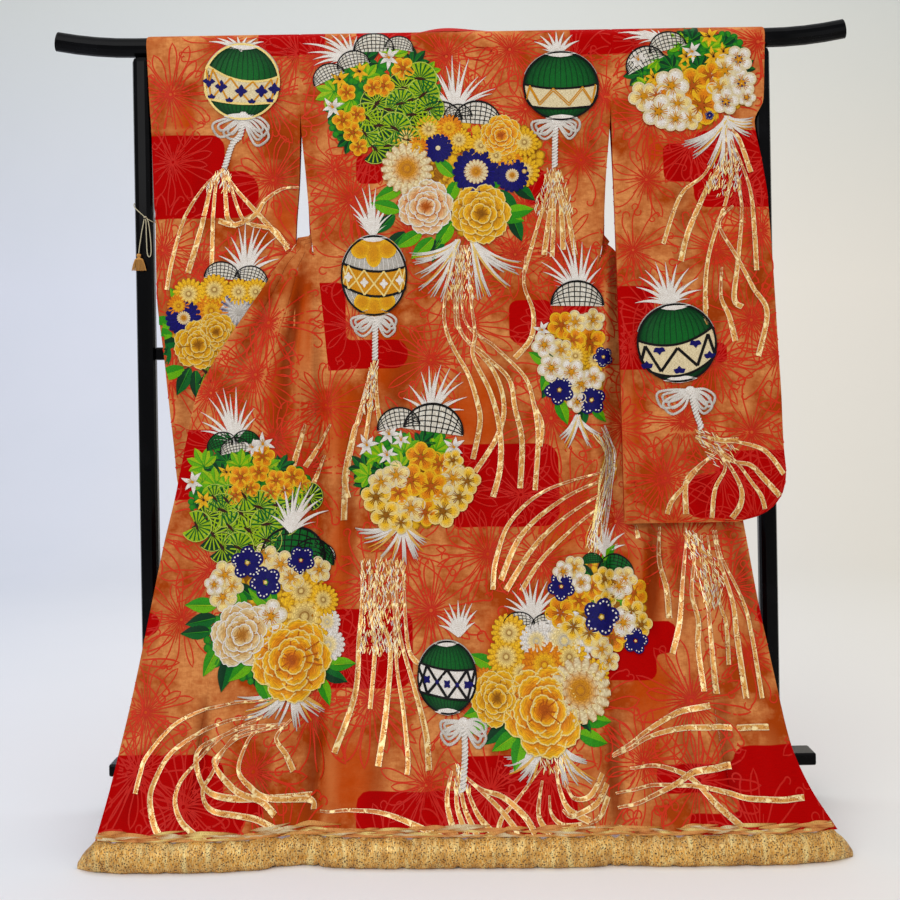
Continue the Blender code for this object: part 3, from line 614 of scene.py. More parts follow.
def collar_back(u, v):
    """The collar over the neck: up in a soft bump and down behind the bar. v runs 0 to 1."""
    x = CENTRE_X + mix(-1, 1, u) * (NECK_HALF_WIDTH - SEAM / 2)
    across = 1 - (2 * u - 1) ** 2
    bump = COLLAR_BUMP * across * (1 + COLLAR_BUMP_RIPPLE * math.sin(5 * u + 0.6))
    turn = WRAP_RADIUS * math.pi / 2
    length = turn + COLLAR_BACK_DROP
    along = mix(COLLAR_START, length, v)
    if along < turn:
        angle = math.pi / 2 - along / WRAP_RADIUS
        risen = min(1.0, along / (COLLAR_BUMP_TURN * turn))
        radius = WRAP_RADIUS + bump * math.sin(math.pi / 2 * risen)
        return Vector((x, radius * math.cos(angle), BAR_Z + radius * math.sin(angle)))
    drop = along - turn
    fade = 1 - smooth(0, COLLAR_BACK_DROP, drop)
    hang = GATHER_ROWS["edge_y"](COLLAR_ROW * drop / COLLAR_ROW_DROP)
    return Vector((x, hang + bump * fade, BAR_Z - drop))


def surface_normal(point, u, v, du, dv):
    """Unit normal of a drape function, from points just either side."""
    across = point(u + du, v) - point(u - du, v)
    along = point(u, v + dv) - point(u, v - dv)
    return across.cross(along).normalized()


def catmull_rom(points, per_span):
    """A smooth curve through the points of a route, as a list of places."""
    ends = [points[0]] + list(points) + [points[-1]]
    smooth_points = []
    for a, b, c, d in zip(ends, ends[1:], ends[2:], ends[3:]):
        for t in (i / per_span for i in range(per_span)):
            place = 2 * b + (c - a) * t + (2 * a - 5 * b + 4 * c - d) * t * t
            smooth_points.append(0.5 * (place + (3 * b - a - 3 * c + d) * t ** 3))
    return smooth_points + [points[-1]]


def knot_centre():
    """The knot sits on the front of the slanting tie, towards the sleeve."""
    out = KNOT_X + POST_X
    depth = (TIE_HALF_WIDTH ** 3 - out ** 3) ** (1 / 3)
    angle = math.atan2(-depth, out)
    z = TIE_Z + TIE_SLANT * math.cos(angle - TIE_HIGH_SIDE)
    return Vector((KNOT_X, BAR_Y - depth - CORD_DIAMETER / 2 - KNOT_GAP - KNOT_RADIUS, z))


# Flat size, hold and supports of each panel.
SHEETS = {
    "back_left": ((0.350, 1.690), "draped", ["stand_top_bar", "hem_roll"]),
    "back_right": ((0.350, 1.690), "draped", ["stand_top_bar", "hem_roll"]),
    "front_left": ((0.230, 1.700), "gathered", ["stand_top_bar", "hem_roll"]),
    "front_right": ((0.230, 1.700), "gathered", ["stand_top_bar", "hem_roll"]),
    "okumi_left": ((0.125, 1.640), "gathered", ["front_left"]),
    "okumi_right": ((0.125, 1.640), "gathered", ["front_right"]),
    "collar_left": ((0.045, 0.900), "gathered", ["okumi_left"]),
    "collar_right": ((0.045, 0.900), "gathered", ["okumi_right"]),
    "collar_back": ((0.190, 0.130), "draped", ["stand_top_bar"]),
    "sleeve_left_back": ((0.340, 1.080), "hung", ["stand_top_bar"]),
    "sleeve_left_front": ((0.340, 1.080), "hung", ["stand_top_bar"]),
    "sleeve_right_back": ((0.360, 1.080), "hung", ["stand_top_bar"]),
    "sleeve_right_front": ((0.360, 1.080), "hung", ["stand_top_bar"]),
}
STAND_NODES = (
    "stand_top_bar", "stand_post_left", "stand_post_right", "stand_riser_left", "stand_riser_right",
    "stand_foot_left", "stand_foot_right", "stand_mid_rail", "stand_lower_rail",
)
# Tight pinches round the hem roll: place along it, depth and width.
ROLL_PINCHES = (
    (-0.352, 0.0032, 0.006),
    (-0.338, 0.0024, 0.004),
    (-0.266, 0.0026, 0.005),
    (-0.101, 0.0022, 0.005),
    (0.006, 0.0036, 0.006),
    (0.158, 0.0024, 0.005),
    (0.300, 0.0030, 0.007),
    (0.322, 0.0030, 0.005),
    (0.420, 0.0020, 0.005),
    (-0.560, 0.0016, 0.006),
    (-0.470, 0.0014, 0.005),
    (0.560, 0.0018, 0.006),
    (0.080, 0.0012, 0.005),
    (-0.200, 0.0012, 0.005),
)
ROLL_PINCH = 1.7
# Where round the roll its seam lies, and how far along the gathers slant in one turn.
ROLL_SEAM_TURN = 0.27
ROLL_SLANT = 0.030
# Gathers of the roll: radians per metre, phase and depth.
ROLL_GATHERS = ((262.0, 0.4, 0.0005), (431.0, 2.1, 0.0003), (97.0, 1.3, 0.0011))
# Cloth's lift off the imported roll, and how far the roll stands forward of the hem.
ROLL_CLOTH = 0.0016
ROLL_FORWARD = 0.002
ROLL_TAPER = 0.040
ROLL_SIDES = 40
# How far the tie's loop hangs forward of its knot.
LOOP_FORWARD = 0.001
# Strands of the tassel: rings as a share of the head with their counts, then thickness and sway.
TASSEL_RINGS = ((0.25, 8), (0.60, 18), (0.94, 28))
STRAND_RADIUS = 0.00055
STRAND_SWAY = 0.0012
# Fronts have smaller cells from this far above their gather.
GATHER_ABOVE = 0.12
# Edges of a panel turn in at a seam: distance in from the edge, and how deep each column lies.
SEAM_TURN = (0.0025, 0.0070)
SEAM_DIP = (0.0010, 0.0003, 0.0)
# Camera
CAMERA_X = -0.014
CAMERA_EYE = 0.923
CAMERA_DISTANCE = 3.0
CAMERA_LENS = 54.0
CAMERA_SENSOR = 36.0
CAMERA_SHIFT = -0.0667
CAMERA_ROLL = math.radians(0.95)
# Light of the room, and the paper sweep: front, back, radius of its bend, height and half width.
ROOM_COLOUR = (0.94, 0.96, 1.0, 1.0)
SWEEP = (-9.0, 6.0, 2.2, 8.0, 9.0)
# Places of the pattern are given in view units: across from the left and down from the top of what
# the camera sees, which is this many units wide.
VIEW = 900
# Height of one step of a crease, how far under the bar the creases start and how they set in.
CREASE_STEP = 0.002
CREASE_TOP = 0.03
CREASE_START = 0.05
# Red glow round the heart of each line flower.
GLOW_RADIUS = 0.046
# Cloth of a folded back panel lies behind this distance before the bar's axis.
FAN_BACK = 0.012
# Depth of the cloth that a side is seen on.
SIDE_DEPTHS = {
    "left_sleeve": "left_seen", "left_sleeve_front": "left_hidden",
    "right_sleeve": "right_seen", "right_sleeve_front": "right_hidden",
}

MM = 0.001
# Creases are pressed only into cloth nearer than this to the viewer, from the bar's plane.
DEPTH_FAR = 0.012
# How far round their meeting the mist bands melt into one another.
MIST_MELT = 0.014
# Thread work runs on over a seam whose cloth lies within this reach, and this far in front.
SEAM_REACH = 0.0014
SEAM_STEP = 0.0015
# Half length of the gathered hem.
HEM_HALF = 0.83


# Threads and their colours, by how much metal shows in them.
THREAD_CODES = {
    0.0: dict(
        lime="6cc000", yellow_green="a4cc08", pale_green="c8e060", leaf_green="2f9c10",
        green="006c22", dark_green="003c1c", navy="0a0468", blue="1c1490", peach="f0a860",
        cream="f0e2b8", white="f8f6f2", net_grey="eceade", black="0b0908", brown="3c1a0c",
        line="c42604", ray="b41c00"),
    0.1: dict(
        copper="b4622c", gold="e09808", bright_gold="fcc820", pale_gold="fce490",
        orange_gold="ee8c08", amber="c05c08", tan="c07c28", pale_tan="e0b060", silver="c4c2bc"),
    0.2: dict(leaf="d69848"),
    0.25: dict(brass="9c6208"),
}
# Least height of thread work off the cloth.
LEAST_LIFT = 0.0005
# Faces that rise more than this bridge a step in the cloth and are cut.
STEEPEST = 0.017
# A usual motif radius, to give the stitches in the unit-size shapes their real length.
MOTIF_SIZE = 0.028
# Step in height between bands that cross, and the usual dome of a narrow band.
LAYER = 0.00016
CROWN = 0.0003
# A blade and its shorter partner: lean in radians, share of the length, and width.
BLADE_BANDS = ((0.0, 1.0, 0.0078), (0.15, 0.60, 0.0040))
BLADE_TAPER = (0.70, 1.0, 0.95, 0.72, 0.42, 0.08)
# Gold ribbons narrow towards their foot.
RIBBON_TAPER = (0.36, 0.60, 0.82, 1.0, 1.06)
BUNDLE_WIDTH = 0.030
BUNDLE_STRANDS = 16
# Distance between the wrinkles along the hem, and their colours, each paler towards its middle as a painted highlight.
WRINKLE_STEP = 0.010
WRINKLE_TINTS = (
    ("tan", "cream", "tan"), ("copper", "pale_gold", "pale_tan", "copper"),
    ("copper", "peach", "copper"), ("pale_tan", "peach", "tan"),
)
# A bow: the share of its length that each loop is wide and long, its band, its knot and its cord.
BOW_LOOPS = ((0.30, 1.0), (0.17, 0.84))
BOW_BAND = 0.0052
BOW_KNOT = (0.011, 0.009)
BOW_CORD = 0.0125
# A bow's loop: shares out along it and off to its side.
LOOP_SHAPE = ((0.45, 1.0), (0.9, 0.9), (1.0, 0.0), (0.9, -0.7), (0.45, -0.5))
# Cloth for each broken stitch of a patch, in square metres.
HATCH_AREA = 3.6e-5
FRONT_PANELS = (
    "front_left", "front_right", "okumi_left", "okumi_right", "collar_left", "collar_right",
)
BODY_PANELS = (
    "back_left", "back_right", "front_left", "front_right",
    "okumi_left", "okumi_right", "collar_left", "collar_right",
)
# Sides of the garment that carry the pattern: cloth pieces, the side seen, and the extent.
GROUND_SIDES = {
    "back": (BODY_PANELS, -1.0, (-0.76, 0.76, 0.02, 1.76)),
    "left_sleeve": (("sleeve_left_back",), -1.0, (-0.72, -0.30, 0.62, 1.76)),
    "right_sleeve": (("sleeve_right_back",), -1.0, (0.32, 0.76, 0.62, 1.76)),
    "fronts": (FRONT_PANELS, 1.0, (-0.36, 0.38, 1.16, 1.76)),
    "left_sleeve_front": (("sleeve_left_front",), 1.0, (-0.72, -0.30, 0.62, 1.76)),
    "right_sleeve_front": (("sleeve_right_front",), 1.0, (0.32, 0.76, 0.62, 1.76)),
}
# How each family of motif stands: its share of a full lean out from its bouquet's middle, wobble in
# degrees, how far its foot is drawn in, and its size. A family with no lean stands at any turn.
FAMILIES = {
    "leaf": (1.0, 17, 0.5, 1.10),
    "sprig": (1.0, 17, 0.5, 1.12),
    "pine": (0.35, 12, 0.0, 1.15),
    "net": (0.40, 0, 0.0, 1.20),
    "lily": (0.0, 0, 0.0, 1.25),
    "plum": (0.0, 0, 0.0, 1.20),
    "mum": (0.0, 0, 0.0, 1.12),
    "peony": (0.0, 0, 0.0, 1.0),
    "bed": (0.0, 0, 0.0, 1.0),
}
# Mist bands of each panel: left, right, top, bottom and corner radius.
MIST_BANDS = {
    "back_left": (
        (280, 324, 20, 55, 6), (355, 410, 20, 43, 4), (355, 382, 155, 184, 7),
        (280, 345, 283, 369, 9), (300, 407, 340, 369, 14), (447, 600, 445, 528, 16),
        (300, 412, 609, 689, 16), (460, 600, 756, 837, 14), (355, 600, 790, 837, 11),
    ),
    "back_right": (
        (523, 545, 169, 205, 7), (569, 700, 20, 54, 4), (508, 552, 300, 343, 9),
        (562, 640, 285, 328, 8), (300, 558, 445, 528, 16), (300, 560, 756, 837, 14),
        (300, 577, 790, 837, 11),
    ),
    "fan_left": (
        (130, 240, 430, 500, 14), (120, 159, 613, 636, 11), (60, 222, 755, 842, 18),
        (60, 262, 796, 821, 6), (60, 240, 812, 842, 6),
    ),
    "fan_right": (
        (616, 677, 622, 654, 10), (592, 655, 640, 680, 10), (756, 800, 600, 625, 9),
        (655, 900, 761, 790, 8), (688, 900, 810, 831, 5), (735, 900, 742, 830, 14),
    ),
    "sleeve_left_back": (
        (257, 340, 20, 56, 9), (120, 224, 136, 176, 14), (120, 258, 172, 219, 20),
    ),
    "sleeve_right_back": (
        (569, 639, 20, 54, 9), (692, 800, 130, 207, 14), (662, 745, 143, 181, 8),
        (590, 654, 286, 370, 9), (712, 726, 342, 363, 9), (680, 800, 474, 518, 22),
        (716, 800, 450, 518, 18),
    ),
    "sleeve_left_front": ((202, 293, 160, 201, 18), (137, 238, 330, 375, 20)),
    "sleeve_right_front": (
        (611, 670, 113, 159, 20), (693, 777, 268, 305, 14), (614, 716, 420, 462, 18),
    ),
}

# Hearts of the line flowers that have a place of their own, across and down.
BLOOM_CENTRES = {
    "back": (180, 620, 145, 712, 210, 570, 210, 393, 272, 440, 325, 405, 335, 170, 430, 360, 580,
        160, 590, 290, 350, 200, 570, 500, 430, 610, 690, 700, 540, 560),
    "left_sleeve": (272, 180, 200, 265, 170, 95, 162, 250),
    "right_sleeve": (645, 180, 750, 320, 750, 432, 664, 478, 720, 470, 632, 250, 715, 250, 760,
        230),
}
# Soft patches of plain orange without lines: middle, half width and half height.
PATCHES = {
    "back": ((341, 430, 22, 60), (340, 560, 18, 75), (385, 355, 22, 52), (478, 412, 44, 60),
        (350, 778, 44, 42), (634, 600, 34, 60), (650, 690, 30, 60), (300, 330, 14, 60),
        (276, 400, 14, 60), (560, 520, 40, 36), (500, 640, 22, 40)),
    "left_sleeve": ((182, 120, 16, 22), (285, 215, 18, 30)),
    "right_sleeve": ((630, 420, 16, 44), (738, 240, 24, 20), (650, 150, 16, 20)),
}
# Bouquets: side, middle, and the places of each kind of motif as rows of across, down and reach.
BOUQUETS = (
    ("back", (375, 105), {
        "bed_green": (372, 100, 42, 345, 88, 24, 398, 122, 30, 350, 122, 22, 415, 88, 24),
        "sprig_dark": (365, 55, 13, 416, 60, 13, 335, 113, 12, 348, 144, 12),
        "sprig_lime": (327, 95, 14, 393, 49, 13, 365, 72, 13, 345, 103, 13, 430, 72, 11),
        "net_white": (373, 52, 17, 353, 67, 14, 329, 80, 14, 398, 50, 12),
        "pine_dark": (402, 89, 12, 376, 104, 12, 411, 115, 12, 378, 126, 12, 374, 149, 11, 411,
            100, 11, 422, 126, 10, 366, 118, 11),
        "pine_lime": (388, 110, 12, 422, 95, 12, 419, 79, 12, 394, 129, 12, 388, 146, 12, 428, 109,
            11, 400, 104, 11, 406, 140, 10, 364, 134, 10),
        "lily": (388, 58, 10, 332, 108, 10),
        "lily_gold": (339, 80, 9, 359, 72, 9),
        "plum_gold": (402, 69, 10, 382, 86, 10, 342, 121, 9, 356, 115, 8, 352, 133, 9, 358, 147, 8,
            346, 93, 8, 372, 88, 8),
    }),
    ("back", (460, 185), {
        "bed_gold": (455, 150, 44, 512, 155, 30, 425, 170, 32, 460, 195, 40),
        "leaf_dark": (505, 200, 15, 514, 224, 14, 437, 246, 13, 386, 222, 13, 396, 240, 14, 520,
            190, 13),
        "leaf_lime": (422, 172, 13, 445, 169, 13, 491, 184, 13, 514, 212, 14, 411, 238, 14, 424,
            246, 14, 391, 192, 14, 388, 208, 14, 445, 232, 15, 505, 216, 14, 452, 190, 13),
        "net_white": (438, 124, 20, 476, 124, 20, 457, 118, 12),
        "mum_gold": (405, 138, 12, 428, 129, 12, 480, 146, 12, 523, 143, 13, 523, 172, 14, 458,
            140, 11, 495, 156, 11),
        "mum_orange": (448, 128, 12, 508, 158, 12, 416, 148, 10),
        "mum_navy": (437, 148, 13, 475, 172, 21, 511, 176, 15),
        "mum_cream": (406, 169, 23, 475, 172, 11, 511, 176, 6),
        "peony_white": (425, 207, 27),
        "peony_gold": (480, 214, 29),
        "peony_orange": (500, 136, 20),
    }),
    ("right_sleeve", (690, 85), {
        "bed_gold": (690, 96, 34, 655, 96, 22, 728, 86, 24),
        "bed_green": (690, 60, 24, 655, 72, 18, 722, 54, 22),
        "sprig_dark": (634, 75, 13, 665, 66, 12, 700, 64, 11, 688, 34, 13, 726, 43, 12, 745, 66,
            10),
        "sprig_lime": (652, 60, 11, 712, 44, 13, 676, 42, 11, 640, 88, 10),
        "net_white": (645, 66, 17, 667, 50, 16),
        "lily": (637, 60, 9, 691, 52, 9),
        "lily_gold": (708, 37, 9, 685, 57, 8, 652, 78, 8, 712, 57, 9, 722, 52, 8),
        "plum_gold": (691, 86, 15, 700, 106, 17, 655, 96, 12, 708, 76, 12),
        "plum_cream": (642, 97, 13, 723, 71, 14, 676, 104, 12, 718, 88, 11, 688, 118, 11),
        "plum_white": (670, 86, 15, 657, 112, 15, 740, 83, 13, 724, 102, 12, 674, 119, 12, 737, 60,
            12, 745, 98, 8),
        "plum_navy": (737, 60, 5, 740, 84, 5, 724, 103, 5, 708, 116, 4, 745, 98, 4),
    }),
    ("left_sleeve", (210, 325), {
        "bed_gold": (202, 322, 34, 236, 306, 24, 210, 345, 24),
        "leaf_dark": (166, 343, 14, 164, 357, 13, 184, 378, 14, 195, 381, 13),
        "leaf_lime": (164, 323, 14, 172, 372, 14, 162, 334, 12, 178, 300, 11, 196, 296, 11),
        "net_white": (221, 279, 15, 250, 282, 14),
        "pine_dark": (205, 372, 10),
        "mum_gold": (188, 294, 14, 214, 290, 14, 238, 292, 12, 255, 292, 12, 228, 330, 12),
        "mum_orange": (211, 311, 15, 178, 306, 10, 224, 350, 11),
        "mum_navy": (183, 318, 16),
        "mum_fan": (238, 312, 18),
        "mum_cream": (183, 318, 6),
        "peony_gold": (198, 345, 24, 216, 332, 19),
    }),
    ("back", (572, 360), {
        "bed_gold": (570, 345, 28, 575, 382, 26),
        "leaf_dark": (545, 352, 12, 548, 384, 12, 582, 414, 11),
        "leaf_lime": (547, 375, 13, 560, 408, 13, 540, 360, 11, 596, 412, 10),
        "net_white": (576, 306, 22),
        "lily": (541, 330, 8),
        "plum_gold": (560, 325, 12, 588, 342, 14, 572, 340, 10),
        "plum_cream": (574, 322, 10, 592, 320, 10, 580, 384, 11, 560, 350, 10),
        "mum_gold": (574, 356, 12, 594, 360, 11),
        "plum_white": (543, 345, 11, 550, 368, 12, 570, 372, 12, 592, 378, 10, 576, 402, 9),
        "plum_navy": (558, 390, 13, 590, 400, 13, 602, 357, 9),
    }),
    ("back", (255, 490), {
        "bed_green": (225, 475, 30, 238, 515, 36, 280, 492, 30, 210, 500, 22),
        "sprig_dark": (215, 470, 13, 226, 456, 12, 252, 462, 12, 284, 466, 12),
        "sprig_lime": (200, 460, 14, 210, 480, 14, 240, 460, 13, 198, 478, 12, 268, 462, 12, 222,
            484, 12),
        "net_green": (222, 447, 13, 245, 444, 12),
        "net_white": (235, 452, 13),
        "pine_dark": (205, 517, 12, 240, 512, 12, 276, 505, 12, 308, 497, 10, 212, 534, 12, 248,
            530, 12, 284, 520, 11, 222, 547, 11, 252, 546, 11, 226, 500, 11),
        "pine_lime": (222, 510, 12, 258, 507, 12, 292, 500, 11, 230, 527, 12, 266, 524, 12, 196,
            526, 11, 238, 547, 11, 214, 498, 10, 266, 540, 11, 244, 496, 11),
        "lily": (262, 444, 10, 192, 482, 10, 252, 447, 8),
        "lily_gold": (203, 500, 9, 226, 472, 8),
        "plum_gold": (240, 477, 10, 262, 456, 10, 258, 472, 9, 275, 480, 9, 292, 477, 10, 235, 495,
            9, 270, 492, 9, 250, 488, 8, 284, 490, 8, 300, 484, 8),
    }),
    ("back", (270, 625), {
        "bed_gold": (262, 578, 34, 292, 640, 42, 300, 600, 28),
        "bed_green": (232, 640, 28, 255, 660, 22),
        "leaf_dark": (204, 620, 15, 198, 632, 14, 226, 669, 15, 256, 674, 14, 330, 676, 13, 246,
            592, 13),
        "leaf_lime": (204, 605, 15, 213, 656, 15, 244, 666, 15, 262, 685, 15, 337, 665, 13, 322,
            689, 13, 240, 600, 13, 262, 600, 14, 270, 596, 13),
        "net_green": (292, 558, 27, 312, 560, 18),
        "net_white": (322, 556, 11),
        "plum_cream": (264, 556, 11, 280, 564, 12, 290, 577, 12, 225, 574, 12, 223, 596, 12, 232,
            585, 10, 318, 570, 11),
        "mum_silver": (327, 645, 15, 326, 622, 12),
        "mum_gold": (303, 617, 26, 300, 591, 17, 322, 600, 14),
        "plum_white": (270, 616, 14, 214, 584, 9),
        "plum_navy": (247, 562, 14, 265, 582, 14, 300, 560, 12),
        "peony_cream": (242, 634, 30),
        "peony_orange": (291, 660, 38),
    }),
    ("back", (415, 475), {
        "bed_gold": (415, 488, 40, 448, 486, 24, 390, 500, 24),
        "bed_green": (392, 458, 26, 372, 474, 18, 430, 450, 20),
        "sprig_dark": (360, 465, 14, 364, 483, 13, 425, 440, 12, 376, 470, 12),
        "sprig_lime": (405, 445, 14, 440, 447, 14, 374, 455, 13, 362, 474, 12, 395, 462, 12, 420,
            452, 11),
        "net_white": (398, 428, 18, 432, 432, 25),
        "lily": (388, 434, 10, 366, 445, 10, 386, 455, 9, 453, 447, 10, 400, 440, 8),
        "plum_gold": (420, 457, 13, 410, 480, 14, 430, 486, 14, 438, 464, 11, 398, 492, 11, 424,
            512, 12),
        "plum_cream": (395, 475, 12, 410, 508, 13, 452, 478, 13, 380, 482, 11, 444, 496, 11),
        "plum_yellow": (375, 497, 13, 385, 515, 13, 442, 511, 14, 466, 481, 12, 400, 522, 10, 458,
            497, 12, 452, 460, 9),
    }),
    ("back", (540, 670), {
        "bed_gold": (545, 672, 44, 505, 680, 28, 580, 690, 26),
        "leaf_dark": (579, 711, 15, 476, 678, 14, 498, 730, 14),
        "leaf_lime": (485, 662, 14, 480, 722, 15, 508, 738, 15, 518, 747, 15, 590, 718, 15, 588,
            736, 14, 478, 710, 12),
        "net_white": (518, 628, 14, 545, 629, 13),
        "mum_silver": (563, 640, 27, 535, 640, 15),
        "mum_gold": (508, 632, 16, 505, 656, 17, 568, 656, 16, 592, 674, 14, 520, 672, 14),
        "mum_orange": (543, 664, 20, 484, 680, 11, 598, 690, 10),
        "mum_cream": (579, 689, 27),
        "peony_gold": (496, 697, 25),
        "peony_orange": (543, 709, 40),
    }),
    ("back", (600, 600), {
        "bed_gold": (602, 612, 36, 596, 586, 26, 622, 600, 24),
        "leaf_dark": (586, 572, 10, 612, 600, 10),
        "leaf_lime": (606, 556, 10, 590, 600, 10, 622, 604, 10),
        "net_green": (591, 563, 9, 614, 572, 15),
        "plum_gold": (559, 612, 13, 590, 586, 11, 632, 592, 13, 612, 637, 12, 578, 600, 10),
        "plum_cream": (573, 567, 10, 608, 660, 9, 624, 578, 10, 600, 648, 10),
        "plum_yellow": (603, 578, 10, 630, 612, 12, 588, 632, 11, 640, 624, 10, 572, 626, 11, 604,
            602, 10),
        "plum_white": (562, 571, 9, 618, 586, 11, 622, 622, 12, 580, 582, 9),
        "plum_navy": (560, 586, 12, 600, 616, 16, 634, 640, 11),
    }),
)
# Sprays of white blades: how far raised, then the foot and each tip, across and down.
BLADES = {
    "back": (
        (0, 352, 62, 302, 44, 307, 53, 313, 66, 319, 36, 330, 34, 339, 33, 348, 33, 356, 36, 312,
            60, 325, 42),
        (0, 454, 115, 432, 69, 424, 84, 419, 100, 439, 75, 451, 56, 459, 62, 468, 59, 477, 77, 485,
            77, 494, 89, 491, 94, 445, 66),
        (0, 578, 298, 540, 262, 547, 252, 556, 244, 564, 240, 572, 238, 581, 242, 590, 246, 597,
            256, 542, 272, 600, 268),
        (0, 234, 445, 200, 412, 201, 422, 200, 431, 208, 398, 222, 388, 235, 387, 246, 400, 254,
            408, 255, 418, 215, 392, 229, 394),
        (3.2, 290, 532, 283, 485, 300, 482, 311, 485, 318, 488, 322, 498, 328, 510, 275, 500, 270,
            515, 292, 490),
        (0, 430, 418, 402, 398, 408, 385, 420, 372, 428, 366, 440, 365, 449, 368, 460, 372, 462,
            382, 466, 397, 463, 410, 435, 372),
        (0, 531, 621, 505, 598, 511, 590, 519, 583, 528, 580, 537, 579, 546, 581, 554, 586, 560,
            594, 524, 588, 503, 606),
        (0, 604, 556, 615, 525, 624, 533, 624, 545, 600, 522, 592, 530, 586, 538, 608, 528),
        (0, 556, 56, 533, 42, 539, 36, 547, 33, 555, 31, 563, 32, 571, 35, 578, 41),
        (0, 372, 238, 349, 205, 354, 196, 361, 188, 368, 184, 375, 188, 382, 196, 388, 205, 391,
            214, 352, 214),
        (0, 458, 636, 436, 615, 443, 608, 448, 603, 457, 600, 465, 603, 471, 603, 476, 610, 438,
            625, 474, 622),
    ),
    "left_sleeve": (
        (0, 245, 276, 218, 256, 224, 247, 230, 237, 238, 228, 245, 223, 254, 224, 267, 232, 276,
            237, 278, 259, 221, 266, 260, 228),
        (0, 240, 52, 208, 42, 216, 38, 226, 37, 236, 36, 246, 37, 256, 38, 263, 42),
    ),
    "right_sleeve": (
        (0, 660, 42, 617, 33, 628, 34, 636, 31, 642, 30, 650, 29, 657, 30, 622, 40),
        (0, 668, 305, 635, 287, 634, 303, 638, 277, 644, 270, 654, 262, 664, 262, 676, 264, 688,
            268, 697, 278, 700, 290),
    ),
}
# Sprays of loose strands under a bouquet: the foot and each tip.
STRANDS = {
    "back": (
        (457, 243, 413, 264, 417, 278, 420, 290, 410, 257, 430, 296, 440, 300),
        (471, 241, 520, 267, 517, 275, 508, 287, 503, 273, 488, 296, 497, 262, 480, 300),
        (291, 687, 235, 703, 246, 717, 264, 720, 274, 724, 307, 729, 323, 712, 318, 718, 296, 730,
            254, 708),
        (402, 522, 357, 532, 362, 543, 370, 551, 380, 558, 405, 562, 415, 558, 420, 550, 427, 543,
            392, 562),
        (541, 745, 505, 763, 508, 772, 519, 779, 528, 782),
        (556, 745, 585, 765, 583, 775, 575, 781, 592, 779, 564, 784),
        (576, 418, 558, 440, 566, 448, 590, 446, 598, 436),
    ),
    "right_sleeve": (
        (725, 120, 682, 146, 690, 152, 694, 158, 708, 169, 718, 172, 748, 135, 754, 120, 751, 128,
            742, 150, 733, 166),
    ),
}
